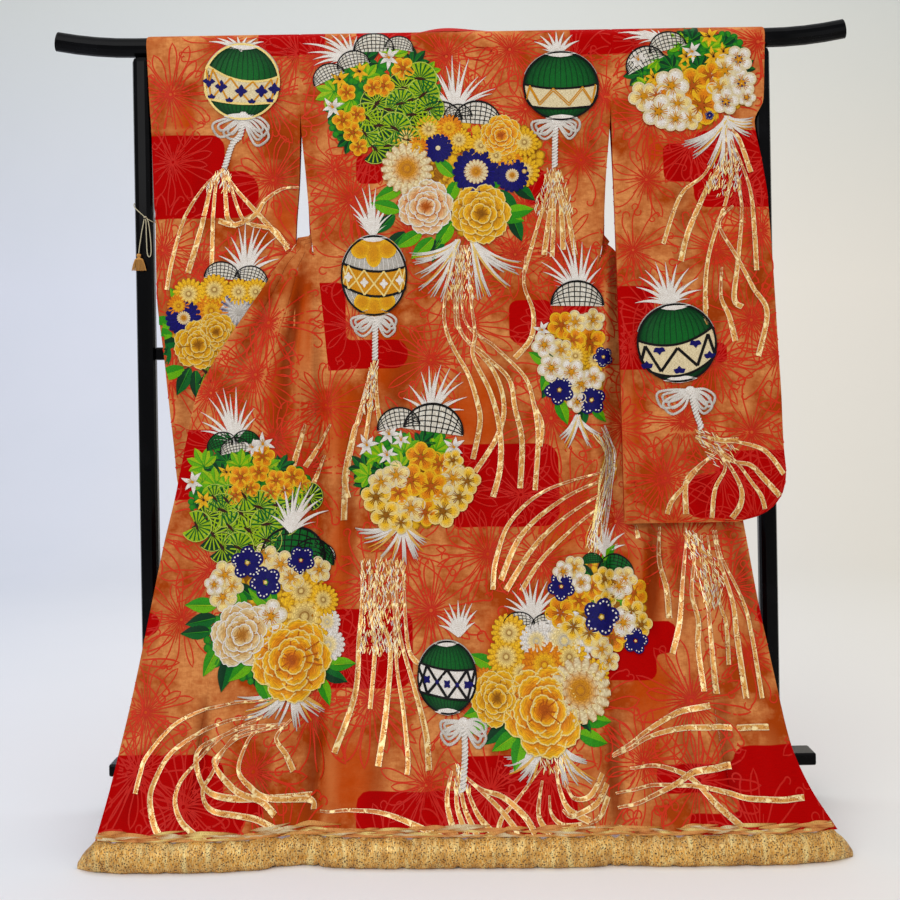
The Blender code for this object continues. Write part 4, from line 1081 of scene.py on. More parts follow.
# Gold ribbons: points along each one, across and down.
RIBBONS = {
    "back": (
        (553, 169, 540, 214, 523, 273),
        (553, 169, 549, 210, 543, 255),
        (553, 169, 553, 210, 551, 257),
        (553, 169, 560, 205, 562, 250),
        (553, 169, 566, 212, 574, 255),
        (525, 256, 523, 285, 532, 312, 530, 338, 514, 358),
        (454, 245, 447, 278, 443, 316, 450, 343, 467, 374, 476, 401, 479, 423, 472, 459),
        (457, 245, 454, 312, 461, 334, 492, 370, 503, 405, 496, 437, 474, 472),
        (460, 245, 458, 325, 485, 356, 508, 379, 514, 408, 521, 441, 519, 488),
        (463, 245, 463, 318, 494, 347, 523, 376, 532, 401, 537, 437, 534, 490),
        (466, 245, 470, 300, 474, 334, 472, 356, 490, 394, 499, 432, 499, 468, 492, 497),
        (532, 401, 541, 423, 539, 446),
        (373, 361, 359, 418, 353, 430, 344, 476, 347, 498),
        (373, 361, 370, 401, 363, 450),
        (371, 365, 362, 400, 352, 440, 345, 480, 343, 520),
        (375, 365, 376, 400, 380, 430),
        (304, 424, 300, 440, 292, 467),
        (330, 424, 318, 445, 304, 467),
        (324, 455, 316, 474, 307, 495),
        (597, 495, 560, 520, 530, 550, 505, 590),
        (600, 472, 545, 490, 510, 520, 495, 560, 492, 590),
        (600, 480, 560, 500, 520, 535, 500, 580),
        (600, 505, 570, 530, 540, 560, 520, 590),
        (361, 560, 361, 602, 358, 640, 354, 694, 333, 754),
        (369, 560, 369, 607, 374, 645, 369, 709),
        (378, 560, 374, 607, 389, 645, 385, 712, 377, 767),
        (388, 560, 394, 622, 396, 667, 402, 707, 407, 756, 406, 774),
        (395, 560, 398, 629, 414, 689, 425, 734, 428, 770),
        (402, 560, 407, 645, 421, 665),
        (451, 770, 446, 801, 454, 834),
        (456, 775, 456, 805, 466, 835),
        (459, 775, 463, 805, 476, 834),
        (461, 775, 476, 812, 494, 834),
        (463, 775, 494, 803, 518, 832),
        (464, 775, 480, 788, 501, 796, 523, 814, 534, 832),
        (541, 765, 514, 801, 501, 817, 496, 834),
        (541, 779, 537, 808, 541, 823, 550, 832),
        (548, 794, 550, 812, 561, 823, 581, 823),
        (554, 765, 559, 790, 568, 808, 588, 819),
        (563, 779, 572, 796, 588, 794, 601, 772),
        (561, 808, 572, 814, 595, 801, 606, 783),
        (588, 821, 599, 814, 607, 796),
        (318, 814, 352, 811, 385, 814, 416, 825, 456, 841, 492, 837),
        (612, 756, 639, 734, 671, 714, 708, 704),
        (612, 758, 646, 736, 684, 727, 766, 725),
        (628, 766, 657, 764, 688, 776, 715, 803, 740, 825),
        (615, 794, 650, 783, 706, 786, 746, 796, 802, 796),
        (617, 808, 646, 796, 675, 781, 695, 770, 729, 764),
        (273, 700, 234, 702, 204, 709, 173, 725, 146, 756, 139, 774, 134, 794),
        (262, 716, 226, 720, 200, 732, 171, 752, 155, 779, 150, 801, 159, 834, 184, 843),
        (270, 715, 225, 733, 193, 765, 179, 783, 175, 803, 184, 825, 206, 841),
        (280, 725, 240, 728, 206, 743, 195, 758, 202, 785, 225, 796, 251, 799, 309, 801),
        (280, 724, 235, 735, 211, 774, 202, 790, 211, 808, 251, 819, 278, 834),
        (280, 727, 240, 736, 220, 752, 215, 763, 235, 790, 260, 803, 273, 817),
        (284, 724, 255, 732, 244, 747, 238, 770, 249, 787, 264, 799, 307, 805, 311, 814),
        (290, 720, 275, 738, 284, 756, 291, 774),
        (686, 534, 682, 579, 679, 623, 672, 654),
        (693, 535, 693, 556, 690, 592, 696, 619, 696, 646, 702, 690),
        (700, 535, 706, 619, 711, 672, 714, 692),
        (706, 535, 716, 596, 724, 623, 726, 663),
        (712, 530, 717, 556, 731, 601, 735, 634, 744, 697),
        (715, 530, 720, 556, 742, 601, 750, 634, 760, 697),
        (659, 527, 659, 561, 666, 590, 669, 619),
        (635, 525, 637, 538),
    ),
    "left_sleeve": (
        (222, 169, 201, 189, 184, 218, 172, 258, 166, 290),
        (222, 169, 211, 184, 201, 224, 187, 273),
        (222, 169, 215, 187, 212, 224, 211, 267),
        (222, 169, 224, 184, 227, 218, 236, 226),
        (222, 169, 230, 187, 244, 221, 273, 230, 287, 250),
        (222, 169, 235, 189, 258, 215, 287, 247),
        (299, 187, 281, 189, 264, 201, 255, 215, 235, 225, 218, 221),
        (308, 237, 293, 249, 283, 283, 287, 329, 290, 375),
        (298, 254, 293, 280, 296, 300),
        (260, 292, 252, 323, 244, 356),
    ),
    "right_sleeve": (
        (724, 129, 705, 172, 680, 195, 662, 244),
        (724, 129, 723, 161, 708, 184, 688, 230, 680, 261),
        (726, 129, 730, 161, 726, 195, 708, 253, 704, 298, 706, 340),
        (728, 140, 740, 201, 737, 258, 733, 298, 741, 307),
        (730, 140, 748, 184, 753, 218, 756, 270),
        (731, 206, 718, 225, 735, 256, 752, 287, 766, 312, 757, 356),
        (726, 129, 737, 138, 750, 172),
        (703, 278, 705, 309),
        (721, 267, 720, 296, 728, 316, 734, 341),
        (697, 436, 737, 442, 764, 451, 783, 474),
        (697, 438, 729, 460, 749, 465, 764, 480, 779, 496),
        (710, 445, 733, 460, 751, 483, 760, 496, 764, 509),
        (715, 450, 729, 467, 740, 489, 739, 505, 731, 518),
        (715, 450, 724, 467, 714, 489, 711, 518),
        (716, 452, 706, 460, 688, 476, 684, 489, 685, 514),
        (716, 452, 700, 466, 684, 485, 671, 500, 666, 514),
        (697, 434, 717, 440, 737, 440),
        (694, 437, 712, 448, 730, 461),
    ),
}
# Loose bundles of silver and gold strands.
BUNDLES = {
    "back": (
        (597, 429, 610, 456, 604, 489, 595, 534, 592, 554),
    ),
}
# Patches of broken stitches: upper left, upper right, lower left and lower right corner.
HATCHES = {
    "back": (
        (546, 170, 560, 170, 530, 214, 574, 214),
        (448, 248, 470, 248, 446, 300, 474, 300),
        (370, 361, 377, 361, 358, 412, 374, 412),
        (360, 560, 405, 560, 358, 652, 400, 656),
        (455, 765, 464, 765, 452, 792, 472, 792),
        (535, 748, 562, 748, 542, 772, 564, 770),
        (683, 531, 692, 531, 694, 590, 730, 580),
        (694, 585, 724, 580, 704, 608, 716, 606),
    ),
    "left_sleeve": (
        (216, 170, 228, 170, 203, 192, 232, 190),
    ),
    "right_sleeve": (
        (690, 431, 698, 428, 716, 470, 738, 446),
        (716, 158, 738, 158, 700, 196, 742, 196),
    ),
}
# Small creases of each side: from, to and half width in view units, then height in steps.
CREASES = {
    "back": (
        (654, 522, 650, 640, 9, -7), (664, 522, 668, 610, 7, 5), (641, 524, 636, 600, 8, 5),
        (676, 524, 682, 640, 9, -4), (700, 524, 716, 700, 12, 5), (733, 520, 756, 640, 10, -5),
        (300, 248, 238, 470, 8, 5), (303, 256, 262, 520, 9, -5), (306, 262, 296, 470, 8, 5),
        (309, 270, 318, 520, 7, -4), (292, 252, 210, 420, 7, -4), (306, 250, 280, 380, 5, -4),
        (603, 236, 590, 380, 7, -5), (606, 240, 600, 400, 6, 5), (599, 250, 570, 420, 8, 4),
        (612, 540, 610, 700, 8, -5), (600, 560, 606, 740, 9, 4), (612, 700, 616, 836, 9, -7),
        (628, 720, 640, 836, 10, 5), (596, 720, 592, 836, 9, 4), (680, 700, 700, 836, 11, -4),
        (716, 676, 736, 830, 8, -5), (760, 720, 790, 834, 12, 4), (206, 690, 190, 836, 8, -6),
        (222, 690, 214, 836, 9, 4), (176, 700, 150, 836, 11, 4), (150, 740, 120, 836, 10, -4),
        (262, 740, 256, 838, 9, -4), (318, 700, 304, 838, 8, -6), (330, 720, 326, 838, 9, 4),
        (300, 640, 286, 760, 9, 4), (380, 700, 372, 838, 12, -3), (420, 740, 424, 838, 10, 3),
        (500, 740, 508, 838, 11, -3), (560, 750, 566, 838, 9, 3), (330, 60, 334, 230, 14, 3),
        (430, 60, 436, 230, 16, -3), (520, 50, 516, 230, 14, 3), (590, 60, 596, 200, 9, -3),
        (462, 120, 460, 420, 7, -2), (400, 330, 386, 520, 14, -4), (425, 330, 420, 520, 12, 3),
        (500, 330, 520, 560, 16, -3), (545, 300, 556, 520, 12, 3), (350, 400, 346, 600, 9, -4),
        (334, 380, 336, 600, 7, 3), (330, 640, 470, 600, 9, 2), (480, 600, 590, 640, 10, -2),
        (340, 560, 440, 640, 10, -2), (500, 520, 600, 470, 9, 2),
    ),
    "left_sleeve": (
        (140, 131, 300, 131, 2.5, 2.5), (140, 217, 300, 217, 2.5, 2.5), (165, 36, 224, 74, 6, 5),
        (150, 58, 206, 112, 7, -4), (170, 60, 176, 240, 10, 3), (200, 140, 196, 300, 10, -3),
        (240, 120, 250, 260, 9, 3), (270, 60, 284, 230, 9, -3), (160, 240, 168, 400, 8, 3),
        (186, 300, 182, 440, 7, -3), (215, 250, 200, 360, 7, 3), (290, 120, 298, 235, 6, -3),
    ),
    "right_sleeve": (
        (610, 206, 772, 206, 2.5, 2.5), (612, 433, 785, 433, 2.5, 2.5), (640, 60, 636, 220, 10, 3),
        (680, 130, 684, 300, 10, -3), (720, 60, 728, 240, 9, 3), (748, 140, 758, 320, 8, -4),
        (640, 230, 646, 420, 9, -3), (670, 400, 676, 520, 9, 3), (700, 440, 704, 520, 10, -3),
        (740, 300, 748, 470, 9, 3), (628, 300, 626, 480, 6, 3), (720, 250, 712, 400, 9, -2),
    ),
}

# Order in which the kinds of motif lie over one another, with each kind's lift in millimetres.
MOTIF_LIFT = {
    "bed_gold": -0.4, "bed_green": -0.3,
    "leaf_dark": 0.0, "sprig_dark": 0.1, "leaf_lime": 0.5, "sprig_lime": 0.6, "net_green": 0.8,
    "net_white": 0.9, "pine_dark": 1.1, "pine_lime": 1.3, "lily": 1.8, "lily_gold": 1.8,
    "plum_gold": 1.6, "plum_cream": 1.9, "plum_yellow": 2.1, "mum_silver": 1.5, "mum_gold": 1.9,
    "mum_orange": 2.1, "mum_navy": 2.2, "mum_fan": 2.4, "plum_white": 2.6, "plum_navy": 2.9,
    "mum_cream": 3.2, "peony_white": 2.5, "peony_gold": 2.6, "peony_cream": 2.6,
    "peony_orange": 2.8,
}
# Thread balls: side, middle, half width and height in millimetres, turn in degrees, heights of the
# belt's upper and lower edges at its left, middle and right as shares, dome, rim and belt pattern.
TEMARI = (
    ("left_sleeve", (-461, 1609), (83, 84), -4, (0.42, 0.02, 0.20), (-0.46, -0.58, -0.46),
     "green", "pale_gold", "flowers"),
    ("back", (241, 1588), (83, 76), 0, (0.06, -0.08, 0.06), (-0.56, -0.66, -0.56),
     "green", "black", "gold_zigzag"),
    ("back", (-176, 1176), (72, 88), 0, (0.34, 0.10, 0.22), (-0.20, -0.52, -0.34),
     "gold", "black", "lattice"),
    ("right_sleeve", (478, 1017), (86, 85), 3, (0.14, -0.04, 0.40), (-0.52, -0.84, -0.34),
     "green", "black", "zigzag"),
    ("back", (-30, 330), (61, 70), 0, (0.44, 0.20, 0.22), (-0.36, -0.58, -0.60),
     "green", "black", "black_lattice"),
    ("left_sleeve", (-306, 1145), (26, 30), 0, (0.30, 0.06, 0.20), (-0.40, -0.56, -0.46),
     "green", "pale_gold", "flowers"),
)
# Bows and cords under the balls: side, knot, loops as tips, cord as points, in millimetres.
BOWS = (
    ("left_sleeve", (-459, 1534), ((-524, 1502), (-496, 1488), (-410, 1494), (-416, 1472)),
     ((-457, 1530), (-466, 1490), (-484, 1470), (-502, 1418))),
    ("back", (230, 1512), ((176, 1496), (192, 1478), (280, 1496), (266, 1476)),
     ((229, 1508), (226, 1470), (224, 1410))),
    ("back", (-176, 1090), ((-226, 1070), (-214, 1050), (-132, 1066), (-140, 1046)),
     ((-174, 1086), (-175, 1050), (-176, 990))),
    ("right_sleeve", (503, 914), ((432, 894), (448, 874), (552, 886), (540, 868)),
     ((504, 908), (512, 870), (524, 832))),
    ("back", (2, 246), ((-44, 236), (-40, 214), (46, 228), (40, 206)),
     ((3, 240), (4, 190), (-2, 130))),
    ("left_sleeve", (-306, 1100), ((-322, 1092), (-324, 1070), (-286, 1090), (-288, 1070)),
     ((-306, 1096), (-304, 1060))),
)
# The same work on the sleeves' far faces: side to fill, side it is like, and how far it is moved
# across and up, in millimetres.
FAR_WORK = (
    ("left_sleeve_front", "left_sleeve", 10, -150),
    ("right_sleeve_front", "right_sleeve", -20, -60),
)
# Domes of the balls: thread, its edge, the lines over it, and the cap at the foot.
DOMES = {
    "green": ("green", "dark_green", "dark_green", "white"),
    "gold": ("silver", "silver", "white", "gold"),
}
# Crossed belts: number of cells, width of the line and its thread.
LATTICES = {
    "flowers": (5, 0.045, "gold"),
    "lattice": (5, 0.045, "pale_gold"),
    "black_lattice": (4, 0.085, "black"),
}
BELT_GROUNDS = {
    "flowers": "cream", "gold_zigzag": "cream", "zigzag": "cream", "lattice": "gold",
    "black_lattice": "white",
}
# Gold scallops on the pale ball: place, half width and height.
GOLD_SCALLOPS = (
    (-0.40, 0.66, 0.30, 0.24), (0.40, 0.66, 0.30, 0.24), (0.0, 0.56, 0.26, 0.36),
    (0.0, 0.84, 0.34, 0.14), (-0.36, -0.66, 0.26, 0.22), (0.38, -0.66, 0.26, 0.22),
    (0.0, -0.76, 0.24, 0.24),
)
# Making and laying pieces

def new_object(name, mesh, materials, slot):
    """A finished piece of the kimono: in the scene, riding on the root and with its finish."""
    obj = bpy.data.objects.new(name, mesh)
    bpy.context.scene.collection.objects.link(obj)
    for material in materials:
        mesh.materials.append(material)
    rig.ride(obj, "root")
    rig.slot(obj, slot)
    return obj


def to_mesh(bm, name, smooth_angle=50.0):
    mesh = bpy.data.meshes.new(name)
    bm.to_mesh(mesh)
    bm.free()
    mesh.shade_smooth()
    mesh.set_sharp_from_angle(angle=math.radians(smooth_angle))
    return mesh


def grid_points(bm, rows, columns):
    """A new grid of faces: each point with its share across the columns and along the rows."""
    made = bmesh.ops.create_grid(bm, x_segments=columns, y_segments=rows, size=1.0)["verts"]
    for vert in made:
        yield vert, (vert.co.x + 1) / 2, (vert.co.y + 1) / 2


def grid(bm, rows, columns, place):
    """A grid of faces whose points are place(s, t), with s across the columns, t along the rows."""
    made = []
    for vert, s, t in grid_points(bm, rows, columns):
        vert.co = place(s, t)
        made.append(vert)
    return made


def close_up(bm):
    """Joins a rolled grid along its meeting edges and closes its ends."""
    bmesh.ops.remove_doubles(bm, verts=bm.verts[:], dist=1e-6)
    bmesh.ops.holes_fill(bm, edges=[edge for edge in bm.edges if edge.is_boundary])
    bmesh.ops.recalc_face_normals(bm, faces=bm.faces[:])


def tube(name, points, radius, sides):
    """A closed tube along points. radius(t, s) is its radius at shares along it and round it."""
    frames = []
    up = Vector((0.0, 1.0, 0.0))
    for i, point in enumerate(points):
        ahead = (points[min(i + 1, len(points) - 1)] - points[max(i - 1, 0)]).normalized()
        if i == 0 and abs(ahead.dot(up)) > 0.9:
            up = Vector((1.0, 0.0, 0.0))
        across = ahead.cross(up).normalized()
        up = across.cross(ahead).normalized()
        frames.append((point, across, up.copy()))
    bm = bmesh.new()

    def place(s, t):
        point, across, rise = frames[round(t * (len(points) - 1))]
        angle = 2 * math.pi * s
        return point + (across * math.cos(angle) + rise * math.sin(angle)) * radius(t, s)

    grid(bm, len(points) - 1, sides, place)
    close_up(bm)
    return to_mesh(bm, name)


def resample(points, step):
    """Points at an even step along a route."""
    out = [points[0].copy()]
    left = step
    for a, b in zip(points, points[1:]):
        length = (b - a).length
        at = left
        while at <= length:
            out.append(a.lerp(b, at / length))
            at += step
        left = at - length
    if (out[-1] - points[-1]).length <= step * 0.3:
        out.pop()
    return out + [points[-1].copy()]


def route_length(points):
    return sum((b - a).length for a, b in zip(points, points[1:]))


# Materials

def colour(hex_code):
    """A linear colour from the usual six-digit code."""
    channels = [int(hex_code[i:i + 2], 16) / 255 for i in (0, 2, 4)]
    return tuple(c / 12.92 if c <= 0.04045 else ((c + 0.055) / 1.055) ** 2.4 for c in channels)


def tint(name, description, code):
    """A colour that the panel offers, from its six-digit code."""
    return bpy.props.FloatVectorProperty(
        name=name, description=description, default=colour(code), subtype="COLOR")


def measure(name, description, default, low=0.0, high=10.0):
    """A length that the panel offers, in metres."""
    return bpy.props.FloatProperty(
        name=name, description=description, default=default, min=low, max=high, unit="LENGTH")


def strength(name, description, default):
    """A light's power or strength that the panel offers."""
    return bpy.props.FloatProperty(name=name, description=description, default=default, min=0.0)


class Finish:
    """A material under construction: its nodes are made and joined by short calls."""

    def __init__(self, name, **sockets):
        self.material = bpy.data.materials.new(name)
        self.material.use_nodes = True
        self.nodes = self.material.node_tree.nodes
        self.links = self.material.node_tree.links
        self.shader = self.nodes["Principled BSDF"]
        for socket, value in sockets.items():
            self.shader.inputs[socket.replace("_", " ")].default_value = value

    def node(self, kind, inputs=None, **settings):
        node = self.nodes.new("ShaderNode" + kind)
        for key, value in settings.items():
            setattr(node, key, value)
        for key, value in (inputs or {}).items():
            if isinstance(value, bpy.types.NodeSocket):
                self.links.new(value, node.inputs[key])
            else:
                node.inputs[key].default_value = value
        return node

    def place(self):
        return self.node("TexCoord").outputs["Object"]

    def attribute(self, name):
        return self.node("Attribute", attribute_name=name)

    def stretched(self, vector, scale):
        return self.node("Mapping", {"Vector": vector, "Scale": scale}).outputs["Vector"]

    def noise(self, vector, scale, detail=2.0, rough=0.5):
        inputs = {"Vector": vector, "Scale": scale, "Detail": detail, "Roughness": rough}
        return self.node("TexNoise", inputs).outputs["Fac"]

    def streaks(self, vector, across, along, detail=2.0, rough=0.5, scale=1.0):
        """Noise drawn out one way: how often it changes per metre in each direction."""
        return self.noise(self.stretched(vector, (across, along, 1.0)), scale, detail, rough)

    def twill(self, vector, scale, distortion):
        """Fine slanting ribs."""
        inputs = {"Vector": vector, "Scale": scale, "Distortion": distortion}
        return self.node("TexWave", inputs, bands_direction="DIAGONAL").outputs["Fac"]

    def ranged(self, value, low, high, to_low=0.0, to_high=1.0):
        inputs = {0: value, 1: low, 2: high, 3: to_low, 4: to_high}
        return self.node("MapRange", inputs).outputs[0]

    def math(self, operation, a, b):
        return self.node("Math", {0: a, 1: b}, operation=operation).outputs[0]

    def mixed(self, share, a, b, blend="MIX"):
        node = self.node("Mix", data_type="RGBA", blend_type=blend)
        for socket, value in ((0, share), (6, a), (7, b)):
            if isinstance(value, bpy.types.NodeSocket):
                self.links.new(value, node.inputs[socket])
            else:
                node.inputs[socket].default_value = (*value[:3], 1.0) if socket else value
        return node.outputs[2]

    def bump(self, height, strength, distance, before=None):
        inputs = {"Height": height, "Strength": strength, "Distance": distance}
        if before:
            inputs["Normal"] = before
        return self.node("Bump", inputs).outputs["Normal"]

    def into(self, socket, value):
        self.links.new(value, self.shader.inputs[socket])

# The cloth panels

def weave_satin(settings):
    """Copper satin with a painted peach sheen in its ribs, and mist bands of plain red."""
    f = Finish("woven_copper_satin", Specular_IOR_Level=0.02)
    weave = f.attribute("weave").outputs["Vector"]
    mist = f.attribute("mist").outputs["Fac"]
    cloud = f.ranged(f.noise(f.place(), 8.5, 5.0, 0.66), 0.40, 0.60)
    ribs = f.streaks(weave, 900.0, 45.0)
    rib_shade_streaks = f.streaks(weave, 60.0, 1400.0)
    crush = f.ranged(f.streaks(weave, 70.0, 130.0, 3.0, 0.6), 0.30, 0.70)
    # The lustre mask lightens the copper towards peach: painted sheen, in random clouds and along the ribs.
    lustre = f.math("MULTIPLY", cloud, f.ranged(f.math("ADD", ribs, crush), 0.5, 1.3, 0.55, 1.0))
    copper = f.mixed(lustre, settings.copper, settings.peach)
    glow = f.ranged(f.attribute("glow").outputs["Fac"], 0.1, 1.0, 0.0, 0.65)
    copper = f.mixed(glow, copper, settings.heart)
    patch = f.ranged(f.attribute("patch").outputs["Fac"], 0.0, 0.55, 0.0, 0.85)
    copper = f.mixed(patch, copper, settings.plain)
    # Painted shade between the ribs: thin streaks darkened towards the shade colour.
    copper = f.mixed(f.ranged(rib_shade_streaks, 0.52, 0.80, 0.0, 0.30), copper, settings.shade)
    fold = f.attribute("fold").outputs["Fac"]
    # Crease ridges are lightened towards peach as a painted highlight, and crease valleys darkened as painted shade.
    copper = f.mixed(f.ranged(fold, 0.001, 0.012, 0.0, 0.55), copper, settings.peach)
    copper = f.mixed(f.ranged(fold, -0.001, -0.010, 0.0, 0.80), copper, settings.shade)
    # The same painted shade between the ribs, in the mist bands.
    red = f.mixed(f.ranged(rib_shade_streaks, 0.4, 0.8, 0.0, 0.4), settings.mist, settings.mist_deep)
    # Crease valleys in the mist bands are darkened as painted shade.
    red = f.mixed(f.ranged(fold, -0.001, -0.010, 0.0, 0.60), red, settings.mist_deep)
    f.into("Base Color", f.mixed(f.ranged(mist, 0.0008, -0.0008), copper, red))
    f.into("Roughness", f.ranged(ribs, 0.3, 0.7, 0.56, 0.42))
    fine = f.bump(f.twill(weave, 260.0, 0.6), 0.35, 0.0003)
    f.into("Normal", f.bump(f.noise(weave, 55.0, 3.0), 0.30, 0.0016, fine))
    return f.material


def lining_silk(settings):
    """Plain red lining, a little duller than the face, with fine crossing threads."""
    f = Finish("red_lining_silk", Roughness=0.55, Specular_IOR_Level=0.15)
    weave = f.attribute("weave").outputs["Vector"]
    threads = f.math("ADD", f.streaks(weave, 1500.0, 300.0), f.streaks(weave, 250.0, 1700.0))
    tone = f.ranged(threads, 0.7, 1.3)
    f.into("Base Color", f.mixed(tone, settings.lining_deep, settings.lining))
    f.into("Normal", f.bump(tone, 0.25, 0.0003, f.bump(f.noise(weave, 40.0, 3.0), 0.3, 0.002)))
    return f.material


def on_side(side, x, y):
    """The place on a side seen at a place in view units: across, up, and a unit's length there."""
    middle = VIEW / 2
    across = x - middle - (y - middle) * CAMERA_ROLL
    up = middle + CAMERA_SHIFT * VIEW - y - (x - middle) * CAMERA_ROLL
    depth = DEPTH[SIDE_DEPTHS.get(side, "body")]
    z = CAMERA_EYE
    for _ in range(12):
        unit = (CAMERA_DISTANCE + depth(z)) * CAMERA_SENSOR / CAMERA_LENS / VIEW
        z = CAMERA_EYE + up * unit
    return CAMERA_X + across * unit, z, unit


def rows_of(count, numbers):
    """One flat row of numbers, as rows of so many."""
    return zip(*(numbers[i::count] for i in range(count)))


def route(side, numbers):
    """Places on a side, across and up, from one flat row of view units."""
    return [on_side(side, x, y)[:2] for x, y in rows_of(2, numbers)]


def bands_of(panel):
    """A panel's mist bands: left, right, bottom, top and corner radius."""
    side = side_of(panel)
    bands = []
    for left, right, top, bottom, corner in MIST_BANDS[panel]:
        x, y = (left + right) / 2, (top + bottom) / 2
        x0, _, unit = on_side(side, left, y)
        bands.append((x0, on_side(side, right, y)[0], on_side(side, x, bottom)[1],
                      on_side(side, x, top)[1], corner * unit))
    return bands


def patches_of(side):
    """A side's plain patches: middle, half width and half height."""
    spots = [(on_side(side, x, y), wide, tall) for x, y, wide, tall in PATCHES.get(side, ())]
    return [(x, z, wide * unit, tall * unit) for (x, z, unit), wide, tall in spots]


def creases_of(side):
    """A side's small creases: from, to, half width and height."""
    creases = []
    for x0, y0, x1, y1, wide, height in CREASES.get(side, ()):
        start, end = on_side(side, x0, y0), on_side(side, x1, y1)
        creases.append((*start[:2], *end[:2], wide * start[2], height * CREASE_STEP))
    return creases


def mist_distance(bands, x, z):
    """Signed distance from the nearest mist band's edge, negative inside; bands melt together."""
    nearest = np.full(len(x), 1.0)
    for x0, x1, z0, z1, corner in bands:
        corner = min(corner, (x1 - x0) / 2, (z1 - z0) / 2)
        dx = np.abs(x - (x0 + x1) / 2) - (x1 - x0) / 2 + corner
        dz = np.abs(z - (z0 + z1) / 2) - (z1 - z0) / 2 + corner
        outside = np.hypot(np.maximum(dx, 0), np.maximum(dz, 0))
        away = outside + np.minimum(np.maximum(dx, dz), 0) - corner
        share = np.clip(0.5 + 0.5 * (away - nearest) / MIST_MELT, 0, 1)
        nearest = away + (nearest - away) * share - MIST_MELT * share * (1 - share)
    return nearest


def panel_of(name):
    """The panel of the mist table that a cloth piece belongs to."""
    side = "left" if "left" in name else "right"
    if name.startswith("sleeve"):
        layer = "back" if name.endswith("back") else "front"
        return f"sleeve_{side}_{layer}"
    if name.startswith("back"):
        return f"back_{side}"
    return f"fan_{side}"


def bloom_spots(name, spacing):
    """Places of a side's line flowers: its given centres, then a shaken lattice between them."""
    draw = random.Random(name)
    spots = route(name, BLOOM_CENTRES.get(name, ()))
    x0, x1, z0, z1 = GROUND_SIDES[name][2]
    patches = patches_of(name)
    row = 0
    z = z0
    while z < z1:
        x = x0 + (spacing / 2 if row % 2 else 0.0)
        while x < x1:
            shake = [spacing * 0.5 * (draw.random() - 0.5) for _ in range(2)]
            spot = (x + shake[0], z + shake[1])
            clear = all(math.hypot((spot[0] - a) / wide, (spot[1] - b) / tall) > 1.1
                        for a, b, wide, tall in patches)
            if clear and all(math.dist(spot, other) > spacing * 0.62 for other in spots):
                spots.append(spot)
            x += spacing
        z += spacing * 0.8
        row += 1
    return spots


def nearness(points, rows):
    """How near each point is to the middles of some ellipses: 1 there, 0 at the edge and beyond."""
    best = np.zeros(len(points))
    for x, z, wide, tall in rows:
        away = np.hypot((points[:, 0] - x) / wide, (points[:, 2] - z) / tall)
        best = np.maximum(best, 1 - away)
    return best


def crease_height(creases, x, z):
    """Sum of small creases at a place."""
    total = 0.0
    for x0, z0, x1, z1, wide, height in creases:
        dx, dz = x1 - x0, z1 - z0
        t = ((x - x0) * dx + (z - z0) * dz) / (dx * dx + dz * dz)
        if 0.0 < t < 1.0:
            across = ((x - x0) * dz - (z - z0) * dx) / math.hypot(dx, dz) / wide
            if abs(across) < 3:
                total += height * math.exp(-across * across) * math.sin(math.pi * t) ** 0.6
    return total


def side_of(name):
    """The patterned side that a cloth piece belongs to."""
    if name.startswith("sleeve"):
        side = "left_sleeve" if "left" in name else "right_sleeve"
        return side if name.endswith("back") else side + "_front"
    return "back"


def set_mist(mesh, panel):
    """Writes each point's distance to the panel's mist bands."""
    points = np.empty(len(mesh.vertices) * 3)
    mesh.vertices.foreach_get("co", points)
    points = points.reshape(-1, 3)
    mist = mist_distance(bands_of(panel), points[:, 0], points[:, 2])
    if panel.startswith("fan"):
        mist = np.where(points[:, 1] > BAR_Y - FAN_BACK, 1.0, mist)
    side = side_of(panel)
    spots = bloom_spots(side, bpy.context.scene.kimono_lines.spacing)
    glow = nearness(points, [(x, z, GLOW_RADIUS, GLOW_RADIUS) for x, z in spots])
    patch = nearness(points, patches_of(side))
    for name, values in (("mist", mist), ("glow", glow), ("patch", patch)):
        layer = mesh.attributes.new(name, "FLOAT", "POINT")
        layer.data.foreach_set("value", values)


def columns_across(width, cell):
    """Shares across a panel, with two narrow cells along each edge for the turn into its seam."""
    turn = [0.0, SEAM_TURN[0] / width, SEAM_TURN[1] / width]
    count = max(1, round((width - 2 * SEAM_TURN[1]) / cell))
    middle = [mix(turn[2], 1 - turn[2], i / count) for i in range(1, count)]
    return turn + middle + [1 - share for share in reversed(turn)]


